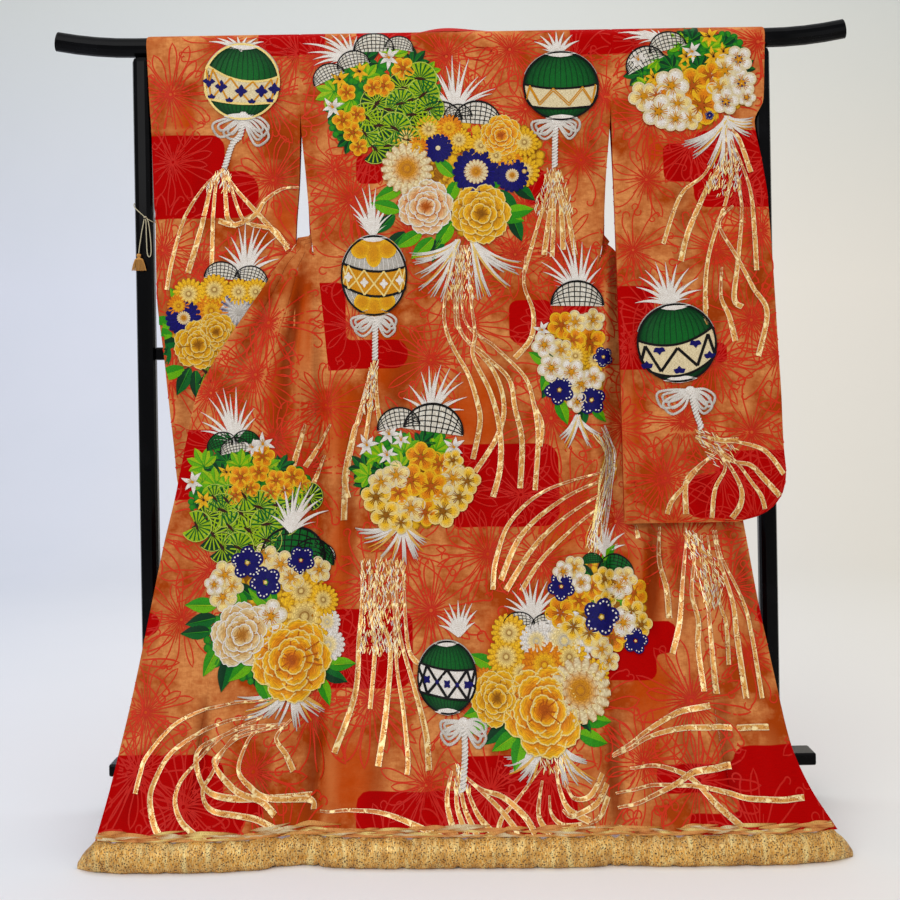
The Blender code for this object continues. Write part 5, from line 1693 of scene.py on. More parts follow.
def cloth_panel(name, point, share, rows, width, materials, flip=1.0):
    """A wall of constant thickness on a drape function: satin on its lifted face, lining behind."""
    shares = columns_across(width, bpy.context.scene.kimono_cloth.cell)
    columns = len(shares) - 1
    bm = bmesh.new()
    weave = bm.verts.layers.float_vector.new("weave")
    outward = bm.verts.layers.float_vector.new("outward")
    fold = bm.verts.layers.float.new("fold")

    def place(s, t):
        row = rows[round(t * (len(rows) - 1))]
        low, high = share(row)
        return point(mix(low, high, shares[round(s * columns)]), row) + Vector((0, BAR_Y, 0))

    made = grid(bm, len(rows) - 1, columns, place)
    bm.normal_update()
    facing = surface_normal(point, 0.5, rows[len(rows) // 2], 1e-3, 1e-4) * flip
    half = place(0.5, 0.5)
    middle = min(made, key=lambda vert: (vert.co - half).length_squared)
    turned = 1.0 if middle.normal.dot(facing) > 0 else -1.0
    creases = creases_of(side_of(name))
    for i, vert in enumerate(made):
        column = i % (columns + 1)
        below = BAR_Z - CREASE_TOP - vert.co.z
        if below > 0.0 and name != "collar_back" and vert.co.y < BAR_Y + DEPTH_FAR:
            height = crease_height(creases, vert.co.x, vert.co.z)
            height *= smooth(0.0, CREASE_START, below)
            vert.co.y -= height
            # The crease height is kept as the fold attribute, which the satin paints as highlight on ridges and shade
            # in valleys.
            vert[fold] = height
        dip = SEAM_DIP[min(column, columns - column, 2)]
        vert[outward] = vert.normal * turned
        vert[weave] = (vert.co.x, vert.co.z, 0.0)
        vert.co -= vert[outward] * (WALL / 2 + dip)
    kept = bm.faces[:]
    lifted = bmesh.ops.extrude_face_region(bm, geom=kept)["geom"]
    for item in lifted:
        if isinstance(item, bmesh.types.BMVert):
            item.co += item[outward] * WALL
    for face in kept:
        face.material_index = 1
    bmesh.ops.recalc_face_normals(bm, faces=bm.faces[:])
    mesh = to_mesh(bm, name, 70.0)
    set_mist(mesh, panel_of(name))
    return new_object(name + "_cloth", mesh, materials, "copper_satin")

def fine_rows(high, low, step):
    count = max(1, round((high - low) / step))
    return [mix(high, low, i / count) for i in range(count + 1)]


def over_bar_rows(count):
    """Rows over the bar, from the shoulder line on its top to level with its axis."""
    return [BAR_Z + WRAP_RADIUS * (1 - i / count) for i in range(count)]


def whole_width(row):
    return 0.0, 1.0


def make_backs(materials, cell):
    rows = over_bar_rows(8) + fine_rows(BAR_Z, HEM_Z, cell)
    for side, flip in (("left", -1.0), ("right", 1.0)):
        cloth_panel(f"back_{side}", back_panel(side), whole_width, rows, 0.32, materials, flip)


def make_fronts(materials, cell):
    """Front, overlap and collar of each side, as three strips of one sheet."""
    for side, flip in (("left", -1.0), ("right", 1.0)):
        sheet = front_sheet(side)
        gather = GATHER_Z[side]
        overlap_from = FRONT_SHARES["overlap"]
        collar_from = FRONT_SHARES["collar"]

        def half_seam(row):
            at_side, at_edge = front_edges(side, row)
            return SEAM_HALF / (at_edge - at_side).length

        def front_share(row):
            tuck = SIDE_TUCK / SEAM_HALF if row < gather + GATHER_TURN else 0.0
            return -tuck * half_seam(row), overlap_from(row) - half_seam(row)

        def overlap_share(row):
            outer = collar_from(row) - half_seam(row) if row > COLLAR_END_Z else 1.0
            return overlap_from(row) + half_seam(row), outer

        def collar_share(row):
            return collar_from(row) + half_seam(row), 1.0

        upper = fine_rows(BAR_Z, gather + GATHER_ABOVE, cell)[:-1]
        turn = fine_rows(gather + GATHER_ABOVE, gather, cell * 0.6)[:-1]
        turn += fine_rows(gather, gather - GATHER_TURN, cell * 0.4)[:-1]
        above = fine_rows(gather - GATHER_TURN, COLLAR_END_Z + SEAM / 2, cell)
        below = fine_rows(COLLAR_END_Z - SEAM / 2, HEM_Z, cell)
        rows = over_bar_rows(6) + upper + turn + above + below
        cloth_panel(f"front_{side}", sheet, front_share, rows, 0.18, materials, flip)
        cloth_panel(f"okumi_{side}", sheet, overlap_share, rows, 0.12, materials, flip)
        top = BAR_Z - COLLAR_BACK_DROP - SEAM
        rows = fine_rows(top, gather + GATHER_ABOVE, cell)[:-1] + turn + above
        cloth_panel(f"collar_{side}", sheet, collar_share, rows, 0.05, materials, flip)


def make_sleeves(materials, cell):
    rows = over_bar_rows(6) + fine_rows(BAR_Z, SLEEVE_END_Z, cell)
    for side in SIDE_SIGN:
        for layer in ("seen", "hidden"):
            flip = SIDE_SIGN[side] * (1.0 if layer == "seen" else -1.0)
            name = f"sleeve_{side}_{'back' if layer == 'seen' else 'front'}"
            sleeve = sleeve_layer(side, layer)
            cloth_panel(name, sleeve, whole_width, rows, 0.33, materials, flip)


class KimonoCloth(bpy.types.PropertyGroup):
    cell: measure("Mesh cell", "Size of the cloth's mesh cells", 0.010, 0.004, 0.05)
    copper: tint("Copper", "Ground of the satin", "a03c08")
    # Peach: painted sheen of the satin, and the painted highlight on crease ridges.
    peach: tint("Peach", "Lustre of the satin", "d68c4e")
    # Shade: painted shade between the ribs and in crease valleys.
    shade: tint("Shade", "Shade between the ribs", "7a2a06")
    heart: tint("Flower heart", "Glow round the hearts of the line flowers", "d03808")
    plain: tint("Plain orange", "Soft patches without lines", "b84204")
    mist: tint("Mist", "Red of the mist bands", "ae0000")
    # Deep mist: painted shade between the ribs and in crease valleys of the mist bands.
    mist_deep: tint("Deep mist", "Shade in the mist bands", "800000")
    lining: tint("Lining", "Red of the lining", "c80c00")
    lining_deep: tint("Deep lining", "Shade of the lining", "a01004")


class KIMONO_OT_cloth(bpy.types.Operator):
    """Make the back panels, fronts, overlaps, collar and sleeves as thin walls"""

    bl_idname = "kimono.cloth"
    bl_label = "Cloth"

    def execute(self, context):
        settings = context.scene.kimono_cloth
        materials = [weave_satin(settings), lining_silk(settings)]
        make_backs(materials, settings.cell)
        make_fronts(materials, settings.cell)
        rows = [i / 60 for i in range(61)]
        cloth_panel("collar_back", collar_back, whole_width, rows, 0.18, materials, -1.0)
        make_sleeves(materials, settings.cell)
        for name, (flat, held, rests_on) in SHEETS.items():
            piece = bpy.data.objects[name + "_cloth"]
            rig.replaces(piece, name)
            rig.sheet(piece, flat=flat, held=held, rests_on=rests_on)
        return {"FINISHED"}


# The hem roll

def speckled_brocade(settings):
    """Gold brocade with scattered dark sprigs between fine slanting ribs, with painted glints and pucker highlights
    and shade.
    """
    f = Finish("speckled_gold_brocade", Metallic=0.30, Roughness=0.36)
    weave = f.attribute("weave").outputs["Vector"]
    spots = f.node("TexVoronoi", {"Vector": weave, "Scale": 290.0, "Randomness": 0.9})
    spot = f.ranged(spots.outputs["Distance"], 0.52, 0.36)
    curl = f.ranged(f.noise(weave, 300.0, 3.0, 0.7), 0.44, 0.54)
    dark = f.math("MULTIPLY", spot, curl)
    # Painted glints: streaks along the threads lightened towards the highlight.
    glint = f.ranged(f.streaks(weave, 700.0, 90.0), 0.45, 0.75)
    gold = f.mixed(glint, settings.gold, settings.highlight)
    gold = f.mixed(f.ranged(f.noise(weave, 26.0, 2.0), 0.35, 0.7, 0.0, 0.5), gold, settings.shade)
    puckers = f.streaks(weave, 62.0, 12.0, 3.0)
    # Pucker ridges lightened as a painted highlight, pucker hollows darkened as painted shade.
    gold = f.mixed(f.ranged(puckers, 0.52, 0.68, 0.0, 0.55), gold, settings.highlight)
    gold = f.mixed(f.ranged(puckers, 0.46, 0.32, 0.0, 0.5), gold, settings.shade)
    f.into("Base Color", f.mixed(dark, gold, settings.speckle))
    f.into("Roughness", f.ranged(glint, 0.0, 1.0, 0.52, 0.30))
    ribs = f.bump(f.twill(weave, 120.0, 1.5), 0.3, 0.0005)
    f.into("Normal", f.bump(puckers, 0.9, 0.006, ribs))
    return f.material


def roll_gather(x, turn):
    """How far the roll's cloth stands in at a place, from its gathers and tight pinches."""
    slant = x + ROLL_SLANT * turn
    gathers = sum(
        depth * math.sin(slant * pitch + phase) for pitch, phase, depth in ROLL_GATHERS)
    ripple = 0.5 + 0.5 * math.cos(2 * math.pi * (turn - ROLL_SEAM_TURN))
    pinch = 0.0
    for at, depth, width in ROLL_PINCHES:
        away = (slant - at) / width
        pinch += ROLL_PINCH * depth * math.exp(-away * away)
    return pinch - gathers * (0.45 + 0.9 * ripple)


class KimonoHem(bpy.types.PropertyGroup):
    cell: measure("Mesh cell", "Length of the roll's mesh cells", 0.0042, 0.002, 0.02)
    gold: tint("Gold", "Ground of the brocade", "e0a03a")
    highlight: tint("Highlight", "Threads that catch the light", "fff0a8")
    # Painted shade in the hollows of the puckers, also used for broad random darker patches.
    shade: tint("Shade", "Duller gold in the gathers", "9a6420")
    speckle: tint("Speckle", "Dark sprigs", "3a1c08")


class KIMONO_OT_hem(bpy.types.Operator):
    """Make the padded roll of gold brocade under the hem"""

    bl_idname = "kimono.hem"
    bl_label = "Hem roll"

    def execute(self, context):
        settings = context.scene.kimono_hem
        count = round(2 * ROLL_HALF_LENGTH / settings.cell)
        bm = bmesh.new()
        weave = bm.verts.layers.float_vector.new("weave")

        def radius_at(x):
            taper = math.sqrt(min(1.0, (ROLL_HALF_LENGTH - abs(x)) / ROLL_TAPER + 0.02))
            sag = 1 - 0.02 * math.cos(14.0 * x) ** 6
            return max(ROLL_TIP_RADIUS, ROLL_RADIUS * taper * sag)

        def place(x, s):
            outer = radius_at(x)
            y = BAR_Y + DEPTH["body"](HEM_Z) + HEM_SWAY(x) - ROLL_FORWARD
            angle = 2 * math.pi * s
            radius = outer + ROLL_CLOTH - roll_gather(x, s) * min(1.0, outer / ROLL_RADIUS)
            spot = Vector((x, y, outer - ROLL_FLAT))
            spot += Vector((0, math.cos(angle), math.sin(angle))) * radius
            spot.z = max(spot.z, 0.0)
            return spot

        for vert, s, t in grid_points(bm, count, ROLL_SIDES):
            x = mix(-ROLL_HALF_LENGTH, ROLL_HALF_LENGTH, t)
            vert[weave] = (x, s * 2 * math.pi * ROLL_RADIUS, 0)
            vert.co = place(x, s)
        close_up(bm)
        name = "hem_roll_brocade"
        roll = new_object(name, to_mesh(bm, name), [speckled_brocade(settings)], "gold_brocade")
        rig.replaces(roll, "hem_roll")
        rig.padded(roll, fill=0.8)
        return {"FINISHED"}


# The tie and its tassel

def twisted_yarn(name, tint, shade, pitch):
    """Two-ply yarn with its plies laid slantwise, by the turn and the length along it."""
    f = Finish(name, Roughness=0.7, Sheen_Weight=0.3)
    turn, along, _ = f.node("SeparateXYZ", {0: f.attribute("weave").outputs["Vector"]}).outputs
    turned = f.math("ADD", f.math("MULTIPLY", turn, 2.0), f.math("MULTIPLY", along, 2.0 / pitch))
    ply = f.math("ABSOLUTE", f.math("SINE", f.math("MULTIPLY", turned, math.pi), 0.0), 0.0)
    fuzz = f.noise(f.place(), 2600.0, 3.0)
    tone = f.math("MULTIPLY", ply, f.ranged(fuzz, 0.3, 0.7, 0.6, 1.0))
    f.into("Base Color", f.mixed(tone, shade, tint))
    f.into("Normal", f.bump(ply, 0.6, 0.0004, f.bump(fuzz, 0.3, 0.0002)))
    return f.material


def yarn_piece(name, replaced, points, diameter, pitch, yarn):
    """A two-ply cord through points: its section turns along it, narrower between the plies."""
    path = resample(points, diameter * 0.4)
    total = route_length(path)

    def radius(t, s):
        turn = 2 * math.pi * (s - t * total / pitch)
        return diameter / 2 * (0.80 + 0.20 * abs(math.cos(turn)))

    mesh = tube(name, path, radius, 12)
    layer = mesh.attributes.new("weave", "FLOAT_VECTOR", "POINT")
    spots = np.empty(len(mesh.vertices) * 3)
    mesh.vertices.foreach_get("co", spots)
    spots = spots.reshape(-1, 3)
    line = np.array([tuple(p) for p in path])
    nearest = np.argmin(((spots[:, None, :] - line[None, :, :]) ** 2).sum(axis=2), axis=1)
    weave = np.zeros_like(spots)
    weave[:, 1] = nearest * diameter * 0.4
    layer.data.foreach_set("vector", weave.ravel())
    piece = new_object(name, mesh, [yarn], "cream_cord")
    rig.replaces(piece, replaced)
    return piece, path


class KimonoTie(bpy.types.PropertyGroup):
    diameter: measure("Cord diameter", "Thickness of the tie", CORD_DIAMETER, 0.001, 0.01)
    pitch: measure("Twist", "Length of one turn of the plies", 0.0055, 0.001, 0.05)
    cord: tint("Cord", "Colour of the tie", "d8cfae")
    cord_shade: tint("Cord shade", "Between the plies", "8d8058")
    tassel: tint("Tassel", "Colour of the tassel", "ecc070")
    tassel_shade: tint("Tassel shade", "Between its strands", "b8802c")


class KIMONO_OT_tie(bpy.types.Operator):
    """Make the thin tie round the left post, its knot, loop, tail and tassel"""

    bl_idname = "kimono.tie"
    bl_label = "Tie and tassel"

    def execute(self, context):
        settings = context.scene.kimono_tie
        pitch = settings.pitch
        yarn = twisted_yarn("cream_twisted_cord", settings.cord, settings.cord_shade, pitch)
        knot = knot_centre()
        sag = TASSEL_Y + BAR_Y - knot.y
        routes = {}
        ends = (("tie_tail", TAIL_ROUTE, sag), ("tie_loop", LOOP_ROUTE, -LOOP_FORWARD))
        for name, route, forward in ends:
            drop = min(up for out, up in route)
            places = [knot + Vector((out, forward * up / drop, up)) for out, up in route]
            routes[name] = yarn_piece(
                name + "_yarn", name, catmull_rom(places, 6), settings.diameter, pitch, yarn)
        ring = []
        for i in range(96):
            angle = 2 * math.pi * i / 96
            c, s = math.cos(angle), math.sin(angle)
            reach = TIE_HALF_WIDTH / (abs(c) ** 3 + abs(s) ** 3) ** (1 / 3)
            z = TIE_Z + TIE_SLANT * math.cos(angle - TIE_HIGH_SIDE)
            ring.append(Vector((-POST_X + reach * c, BAR_Y + reach * s, z)))
        ring.append(ring[0])
        yarn_piece("tie_ring_yarn", "tie_cord", ring, settings.diameter, pitch, yarn)
        self.make_knot(knot, settings, yarn)
        tassel = self.make_tassel(settings)
        for name, far_end, extra in (("tie_tail", "tool", [tassel]), ("tie_loop", "knot", [])):
            piece, path = routes[name]
            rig.cord(piece, exit=path[0], length=route_length(path), diameter=settings.diameter,
                    far_end=far_end, stiffness="limp", lay="hanging", path=path, with_pieces=extra)
        return {"FINISHED"}

    def make_knot(self, knot, settings, yarn):
        """An overhand knot: three turns of the cord wound close round one another."""
        radius = settings.diameter * 0.42
        reach = KNOT_RADIUS - radius
        turns = []
        for i in range(73):
            angle = 2 * math.pi * 3 * i / 72
            tilt = 0.75 * math.sin(angle * 2 / 3)
            turns.append(knot + Vector((
                reach * math.cos(angle) * math.cos(tilt),
                reach * math.sin(angle) * 0.85,
                reach * math.sin(tilt) * 1.1 * math.cos(angle * 0.5),
            )))
        yarn_piece("tie_knot_yarn", "tie_knot", turns, radius * 2, settings.pitch, yarn)

    def make_tassel(self, settings):
        """A bound head with a skirt of fine strands, each its own small tube."""
        silk = twisted_yarn("gold_tassel_silk", settings.tassel, settings.tassel_shade, 0.004)
        place = Vector((TASSEL_X, BAR_Y + TASSEL_Y, TASSEL_Z))
        bm = bmesh.new()
        heights = [row[0] for row in TASSEL_SECTIONS]
        half_width, half_depth = TASSEL_HEAD_HALF

        def skin(s, t):
            z = mix(heights[0], heights[-1], t)
            i = min(bisect.bisect_right(heights, z), len(heights) - 1)
            low, high = TASSEL_SECTIONS[i - 1], TASSEL_SECTIONS[i]
            share = (z - low[0]) / (high[0] - low[0])
            ridges = 1 + 0.05 * math.sin(2 * math.pi * 18 * s)
            angle = 2 * math.pi * s
            width = mix(low[1], high[1], share) * half_width * ridges
            depth = mix(low[2], high[2], share) * half_depth * ridges
            return place + Vector((width * math.cos(angle), depth * math.sin(angle), z))

        grid(bm, 28, 108, skin)
        bmesh.ops.remove_doubles(bm, verts=bm.verts[:], dist=1e-6)
        bmesh.ops.holes_fill(bm, edges=[edge for edge in bm.edges if edge.is_boundary])
        draw = random.Random(7)
        for ring, count in TASSEL_RINGS:
            for i in range(count):
                angle = 2 * math.pi * (i + draw.random() * 0.6) / count
                c, s = ring * math.cos(angle), ring * math.sin(angle)
                length = TASSEL_STRAND_LENGTH * (0.94 + 0.06 * draw.random())
                sway = (draw.random() - 0.5) * STRAND_SWAY
                strand = []
                for k in range(9):
                    t = k / 8
                    flare = 1 + t ** 0.8 * (TASSEL_SPREAD[0] / TASSEL_HEAD_HALF[0] * 0.9)
                    strand.append(place + Vector((
                        c * half_width * 0.92 * flare + sway * math.sin(3 * t),
                        s * half_depth * 0.9 * (1 + 0.4 * t),
                        0.001 - length * t,
                    )))
                bm.from_mesh(tube("strand", strand, lambda t, s: STRAND_RADIUS, 6))
        bmesh.ops.recalc_face_normals(bm, faces=bm.faces[:])
        name = "tie_tassel_silk"
        piece = new_object(name, to_mesh(bm, name), [silk], "gold_tassel")
        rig.replaces(piece, "tie_tassel")
        return piece


# The stand

def black_lacquer(settings):
    """Deep black lacquer under a clear coat: faint brushing, dust on top, handling marks."""
    f = Finish("black_lacquer_coat", Specular_IOR_Level=0.06, Coat_Weight=0.03, Coat_Roughness=0.05)
    brushed = f.noise(f.stretched(f.place(), (30.0, 30.0, 400.0)), 1.0, 2.0)
    handled = f.ranged(f.noise(f.place(), 9.0, 4.0, 0.65), 0.50, 0.78)
    up = f.node("SeparateXYZ", {0: f.node("NewGeometry").outputs["Normal"]}).outputs[2]
    specks = f.noise(f.place(), 400.0, 4.0, 0.7)
    dust = f.math("MULTIPLY", f.ranged(up, 0.7, 1.0, 0.0, 0.12), specks)
    base = f.mixed(handled, settings.lacquer, settings.worn)
    f.into("Base Color", f.mixed(dust, base, settings.dust))
    f.into("Roughness", f.math("ADD", f.ranged(handled, 0.0, 1.0, 0.14, 0.24), dust))
    f.into("Normal", f.bump(brushed, 0.04, 0.0004))
    return f.material


class KimonoStand(bpy.types.PropertyGroup):
    lacquer: tint("Lacquer", "Black of the stand", "040405")
    worn: tint("Handled lacquer", "Where it is handled", "0d0d10")
    dust: tint("Dust", "Dust on upward faces", "6f6c68")


class KIMONO_OT_stand(bpy.types.Operator):
    """Give the stand its lacquer"""

    bl_idname = "kimono.stand"
    bl_label = "Stand"

    def execute(self, context):
        lacquer = black_lacquer(context.scene.kimono_stand)
        for name in STAND_NODES:
            node = bpy.data.objects[name]
            for spot in node.material_slots:
                spot.material = lacquer
        return {"FINISHED"}


# Stage

class KimonoStage(bpy.types.PropertyGroup):
    lens: bpy.props.FloatProperty(
        name="Lens", description="Focal length in millimetres", default=CAMERA_LENS)
    distance: measure("Distance", "Camera to the bar's plane", CAMERA_DISTANCE)
    eye: measure("Eye height", "Height of the camera", CAMERA_EYE)
    paper: tint("Backdrop", "Pale sweep behind and under the stand", "e9edf8")
    # Painted warm light on the right side of the sweep.
    paper_warm: tint("Warm side", "Right side of the sweep", "f8f2e6")
    paper_cool: tint("Cool paper", "Faint clouds in the sweep", "eceffa")
    # Painted shade towards the top of the sweep.
    paper_high: tint("High paper", "Top of the sweep", "dfe2dc")
    key: strength("Key light", "Power of the large front light", 58.0)
    fill: strength("Fill light", "Power of the side light", 12.0)
    wall: strength("Wall light", "Power of the light on the backdrop", 92.0)
    world: strength("Room light", "Strength of the even light", 0.56)


class KIMONO_OT_stage(bpy.types.Operator):
    """Set up the floor and backdrop, the soft lights and the camera"""

    bl_idname = "kimono.stage"
    bl_label = "Stage"

    def execute(self, context):
        settings = context.scene.kimono_stage
        camera = bpy.data.cameras.new("camera")
        camera.lens = settings.lens
        camera.sensor_width = CAMERA_SENSOR
        camera.shift_y = CAMERA_SHIFT
        holder = bpy.data.objects.new("camera", camera)
        holder.location = (CAMERA_X, BAR_Y - settings.distance, settings.eye)
        holder.rotation_euler = (math.pi / 2, CAMERA_ROLL, 0)
        context.scene.collection.objects.link(holder)
        context.scene.camera = holder
        self.make_sweep(settings)
        for name, place, turn, size, power in (
            ("key_light", (-1.6, -3.2, 2.9), (56, 0, -26), 2.6, settings.key),
            ("fill_light", (2.4, -2.6, 2.0), (68, 0, 42), 2.2, settings.fill),
            ("top_light", (0.0, -0.4, 3.6), (8, 0, 0), 3.0, settings.key * 0.38),
            ("wall_light", (0.0, 0.9, 4.6), (68, 0, 0), 3.6, settings.wall),
        ):
            light = bpy.data.lights.new(name, "AREA")
            light.energy = power
            light.size = size
            lamp = bpy.data.objects.new(name, light)
            lamp.location = place
            lamp.rotation_euler = [math.radians(a) for a in turn]
            context.scene.collection.objects.link(lamp)
        world = bpy.data.worlds.new("room")
        world.use_nodes = True
        background = world.node_tree.nodes["Background"]
        background.inputs["Color"].default_value = ROOM_COLOUR
        background.inputs["Strength"].default_value = settings.world
        context.scene.world = world
        context.scene.view_settings.view_transform = "Standard"
        return {"FINISHED"}

    def make_sweep(self, settings):
        """One sheet of pale paper: floor, a wide curve and an upright back."""
        front, back, radius, height, half = SWEEP
        floor, bend = back - radius - front, radius * math.pi / 2

        def place(s, t):
            along = t * (floor + bend + height - radius)
            x = mix(-half, half, s)
            if along < floor:
                return Vector((x, front + along, 0))
            if along < floor + bend:
                angle = (along - floor) / radius
                y = back - radius + radius * math.sin(angle)
                return Vector((x, y, radius - radius * math.cos(angle)))
            return Vector((x, back, radius + along - floor - bend))

        bm = bmesh.new()
        grid(bm, 160, 4, place)
        sweep = bpy.data.objects.new("paper_sweep", to_mesh(bm, "paper_sweep"))
        bpy.context.scene.collection.objects.link(sweep)
        f = Finish("pale_paper", Roughness=0.9)
        tone = f.ranged(f.noise(f.place(), 1.3, 2.0), 0.3, 0.7)
        across, _, height = f.node("SeparateXYZ", {0: f.place()}).outputs
        base = f.mixed(tone, settings.paper, settings.paper_cool)
        # The one sheet of paper is painted warmer towards the right and darker towards the top: painted light and
        # shade.
        base = f.mixed(f.ranged(across, -2.2, 2.2), base, settings.paper_warm)
        f.into("Base Color", f.mixed(f.ranged(height, 1.6, 3.8), base, settings.paper_high))
        sweep.data.materials.append(f.material)
        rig.stage(sweep)

# Thread work: laid flat in x and z, with y its height off the cloth, then set on the cloth

THREADS = {
    name: (*colour(code), metal)
    for metal, codes in THREAD_CODES.items() for name, code in codes.items()
}


def polar(angle, reach, middle=(0.0, 0.0)):
    """The place at an angle in radians and a reach from a middle."""
    return middle[0] + reach * math.cos(angle), middle[1] + reach * math.sin(angle)


def arc(middle, wide, tall, start, end, count):
    """Points on an ellipse from one angle to another, in degrees."""
    turns = [math.radians(mix(start, end, i / count)) for i in range(count + 1)]
    return [(middle[0] + wide * math.cos(a), middle[1] + tall * math.sin(a)) for a in turns]


def bow(root, tip, bend, count=6):
    """Points from root to tip on a curve that leans bend times its length to the left."""
    (x0, z0), (x1, z1) = root, tip
    middle = ((x0 + x1) / 2 - (z1 - z0) * bend, (z0 + z1) / 2 + (x1 - x0) * bend)
    points = []
    for i in range(count + 1):
        t = i / count
        a, b, c = (1 - t) ** 2, 2 * t * (1 - t), t * t
        points.append((a * x0 + b * middle[0] + c * x1, a * z0 + b * middle[1] + c * z1))
    return points


def between(values, t):
    """The neighbours a share t of the way through an even list, and the share between them."""
    at = t * (len(values) - 1)
    i = min(int(at), max(len(values) - 2, 0))
    return values[i], values[min(i + 1, len(values) - 1)], at - i


def heading_at(points, i):
    """The unit direction of a line of points at one of them."""
    (ax, az), (bx, bz) = points[max(i - 1, 0)], points[min(i + 1, len(points) - 1)]
    length = math.hypot(bx - ax, bz - az) or 1.0
    return (bx - ax) / length, (bz - az) / length


def beside(points, i, off):
    """The place that lies off to the right of a line of points, at one of them."""
    ux, uz = heading_at(points, i)
    return points[i][0] + uz * off, points[i][1] - ux * off


def flat_curve(points, per_span=5):
    spots = catmull_rom([Vector((x, 0.0, z)) for x, z in points], per_span)
    return [(spot.x, spot.z) for spot in spots]


class Stitches:
    """A bmesh of stitched shapes, with each point's thread colour, metal share and stitch place."""

    def __init__(self, size=1.0):
        self.size = size
        self.bm = bmesh.new()
        self.thread = self.bm.verts.layers.float_color.new("thread")
        self.stitch = self.bm.verts.layers.float_vector.new("stitch")

    def put(self, vert, x, lift, z, shade, stitch):
        """Gives a point its place, its thread's colour and where it lies on its stitch."""
        vert.co = (x, lift, z)
        vert[self.thread] = shade
        vert[self.stitch] = (stitch[0] * self.size, stitch[1] * self.size, 0.0)

    def stroke(self, points, widths, tint, lift=0.0, crown=0.0, across=1, edge=None):
        """A band along points. tint is one thread or several along it; edge is its rim's thread."""
        rows = len(points) - 1
        tints = [THREADS[name] for name in (tint if isinstance(tint, tuple) else (tint,))]
        run = [0.0]
        for (ax, az), (bx, bz) in zip(points, points[1:]):
            run.append(run[-1] + math.hypot(bx - ax, bz - az))
        for vert, s, t in grid_points(self.bm, rows, across):
            i = round(t * rows)
            off = (s - 0.5) * mix(*between(widths, i / rows))
            x, z = beside(points, i, off)
            a, b, share = between(tints, i / rows)
            shade = [mix(p, q, share) for p, q in zip(a, b)]
            if edge and s in (0.0, 1.0):
                shade = THREADS[edge]
            self.put(vert, x, lift + crown * (1 - (2 * s - 1) ** 2), z, shade, (run[i], off))

    def spoke(self, angle, start, end, widths, tint, lift):
        """A straight band out from the middle at an angle in radians."""
        self.stroke([polar(angle, start), polar(angle, end)], widths, tint, lift)

    def disc(self, middle, radius, tint, lift, crown, rings, sides, edge=None, tall=1.0):
        """A filled round, domed by crown. tall is its height as a share of its width."""
        inner, rim = THREADS[tint], THREADS[edge or tint]
        made = []
        for vert, s, t in grid_points(self.bm, rings, sides):
            angle = 2 * math.pi * s
            x, z = polar(angle, radius * t)
            shade = [mix(a, b, t ** 3) for a, b in zip(inner, rim)]
            self.put(vert, middle[0] + x, lift + crown * (1 - t * t), middle[1] + z * tall, shade,
                     (0.6 * angle * radius, t * radius))
            made.append(vert)
        bmesh.ops.remove_doubles(self.bm, verts=made, dist=radius * min(1.0, tall) * 0.02)

    def ring(self, middle, radius, width, tint, lift, start=0, end=360, count=12):
        """A thin line round a middle, from one angle to another in degrees."""
        self.stroke(arc(middle, radius, radius, start, end, count), (width,), tint, lift)

    def petal(self, angle, start, end, width, tint, lift, crown, edge, across=2):
        """A round-tipped petal from start to end, out from the middle at an angle in degrees."""
        a = math.radians(angle)
        widths = [width * share for share in (0.25, 0.55, 0.80, 0.98, 1.0, 0.50)]
        line = bow(polar(a, start), polar(a, end), 0.0, 5)
        self.stroke(line, widths, tint, lift, crown, across, edge)

    def finish(self, name):
        mesh = bpy.data.meshes.new(name)
        self.bm.to_mesh(mesh)
        self.bm.free()
        return mesh


# Motifs, each about 1 in radius round its middle. Lifts and crowns are in metres.

def plum(work, fill, rim, heart):
    """Five round petals with couched rims, and stamens from the heart."""
    for i in range(5):
        angle = 90 + 72 * i
        middle = polar(math.radians(angle), 0.56)
        work.disc(middle, 0.40, fill, 0.0002 * i, 0.0006, 3, 12, rim)
        work.ring(middle, 0.40, 0.085, rim, 0.0006 + 0.0002 * i, angle - 150, angle + 150)
        for spread in (-16, 0, 16):
            work.spoke(math.radians(angle + spread), 0.1, 0.52, (0.05,), heart, 0.0017)
    work.disc((0, 0), 0.15, heart, 0.0018, 0.0004, 2, 8)


def dotted_plum(work, fill, rim, heart):
    """Plum flower in one deep colour, with pale dots round each petal's edge."""
    for i in range(5):
        a = math.radians(90 + 72 * i)
        middle = polar(a, 0.56)
        work.disc(middle, 0.42, fill, 0.0002 * i, 0.0006, 3, 12)
        for turn in (-70, -25, 25, 70):
            spot = polar(a + math.radians(turn), 0.25, middle)
            work.disc(spot, 0.055, rim, 0.0019, 0.0002, 1, 6)
    work.disc((0, 0), 0.10, heart, 0.0020, 0.0003, 1, 8)


def chrysanthemum(work, outer, inner, heart, parting, count=18):
    """Two rings of narrow petals round a button, each ringed by a thin parting thread."""
    for ring, (start, end, share) in enumerate(((0.30, 1.0, 1.0), (0.12, 0.62, 0.70))):
        petals = round(count * share)
        width = 2.0 * math.pi * end * 0.94 / petals
        tint = (parting, inner, outer, outer) if ring == 0 else (parting, heart, outer)
        for i in range(petals):
            work.petal(360 * (i + 0.5 * ring) / petals, start * 0.5, end, width, tint,
                       0.0006 * ring + 0.0001 * (i % 2), 0.0006, parting, 4)
    work.disc((0, 0), 0.16, heart, 0.0018, 0.0006, 2, 10, parting)


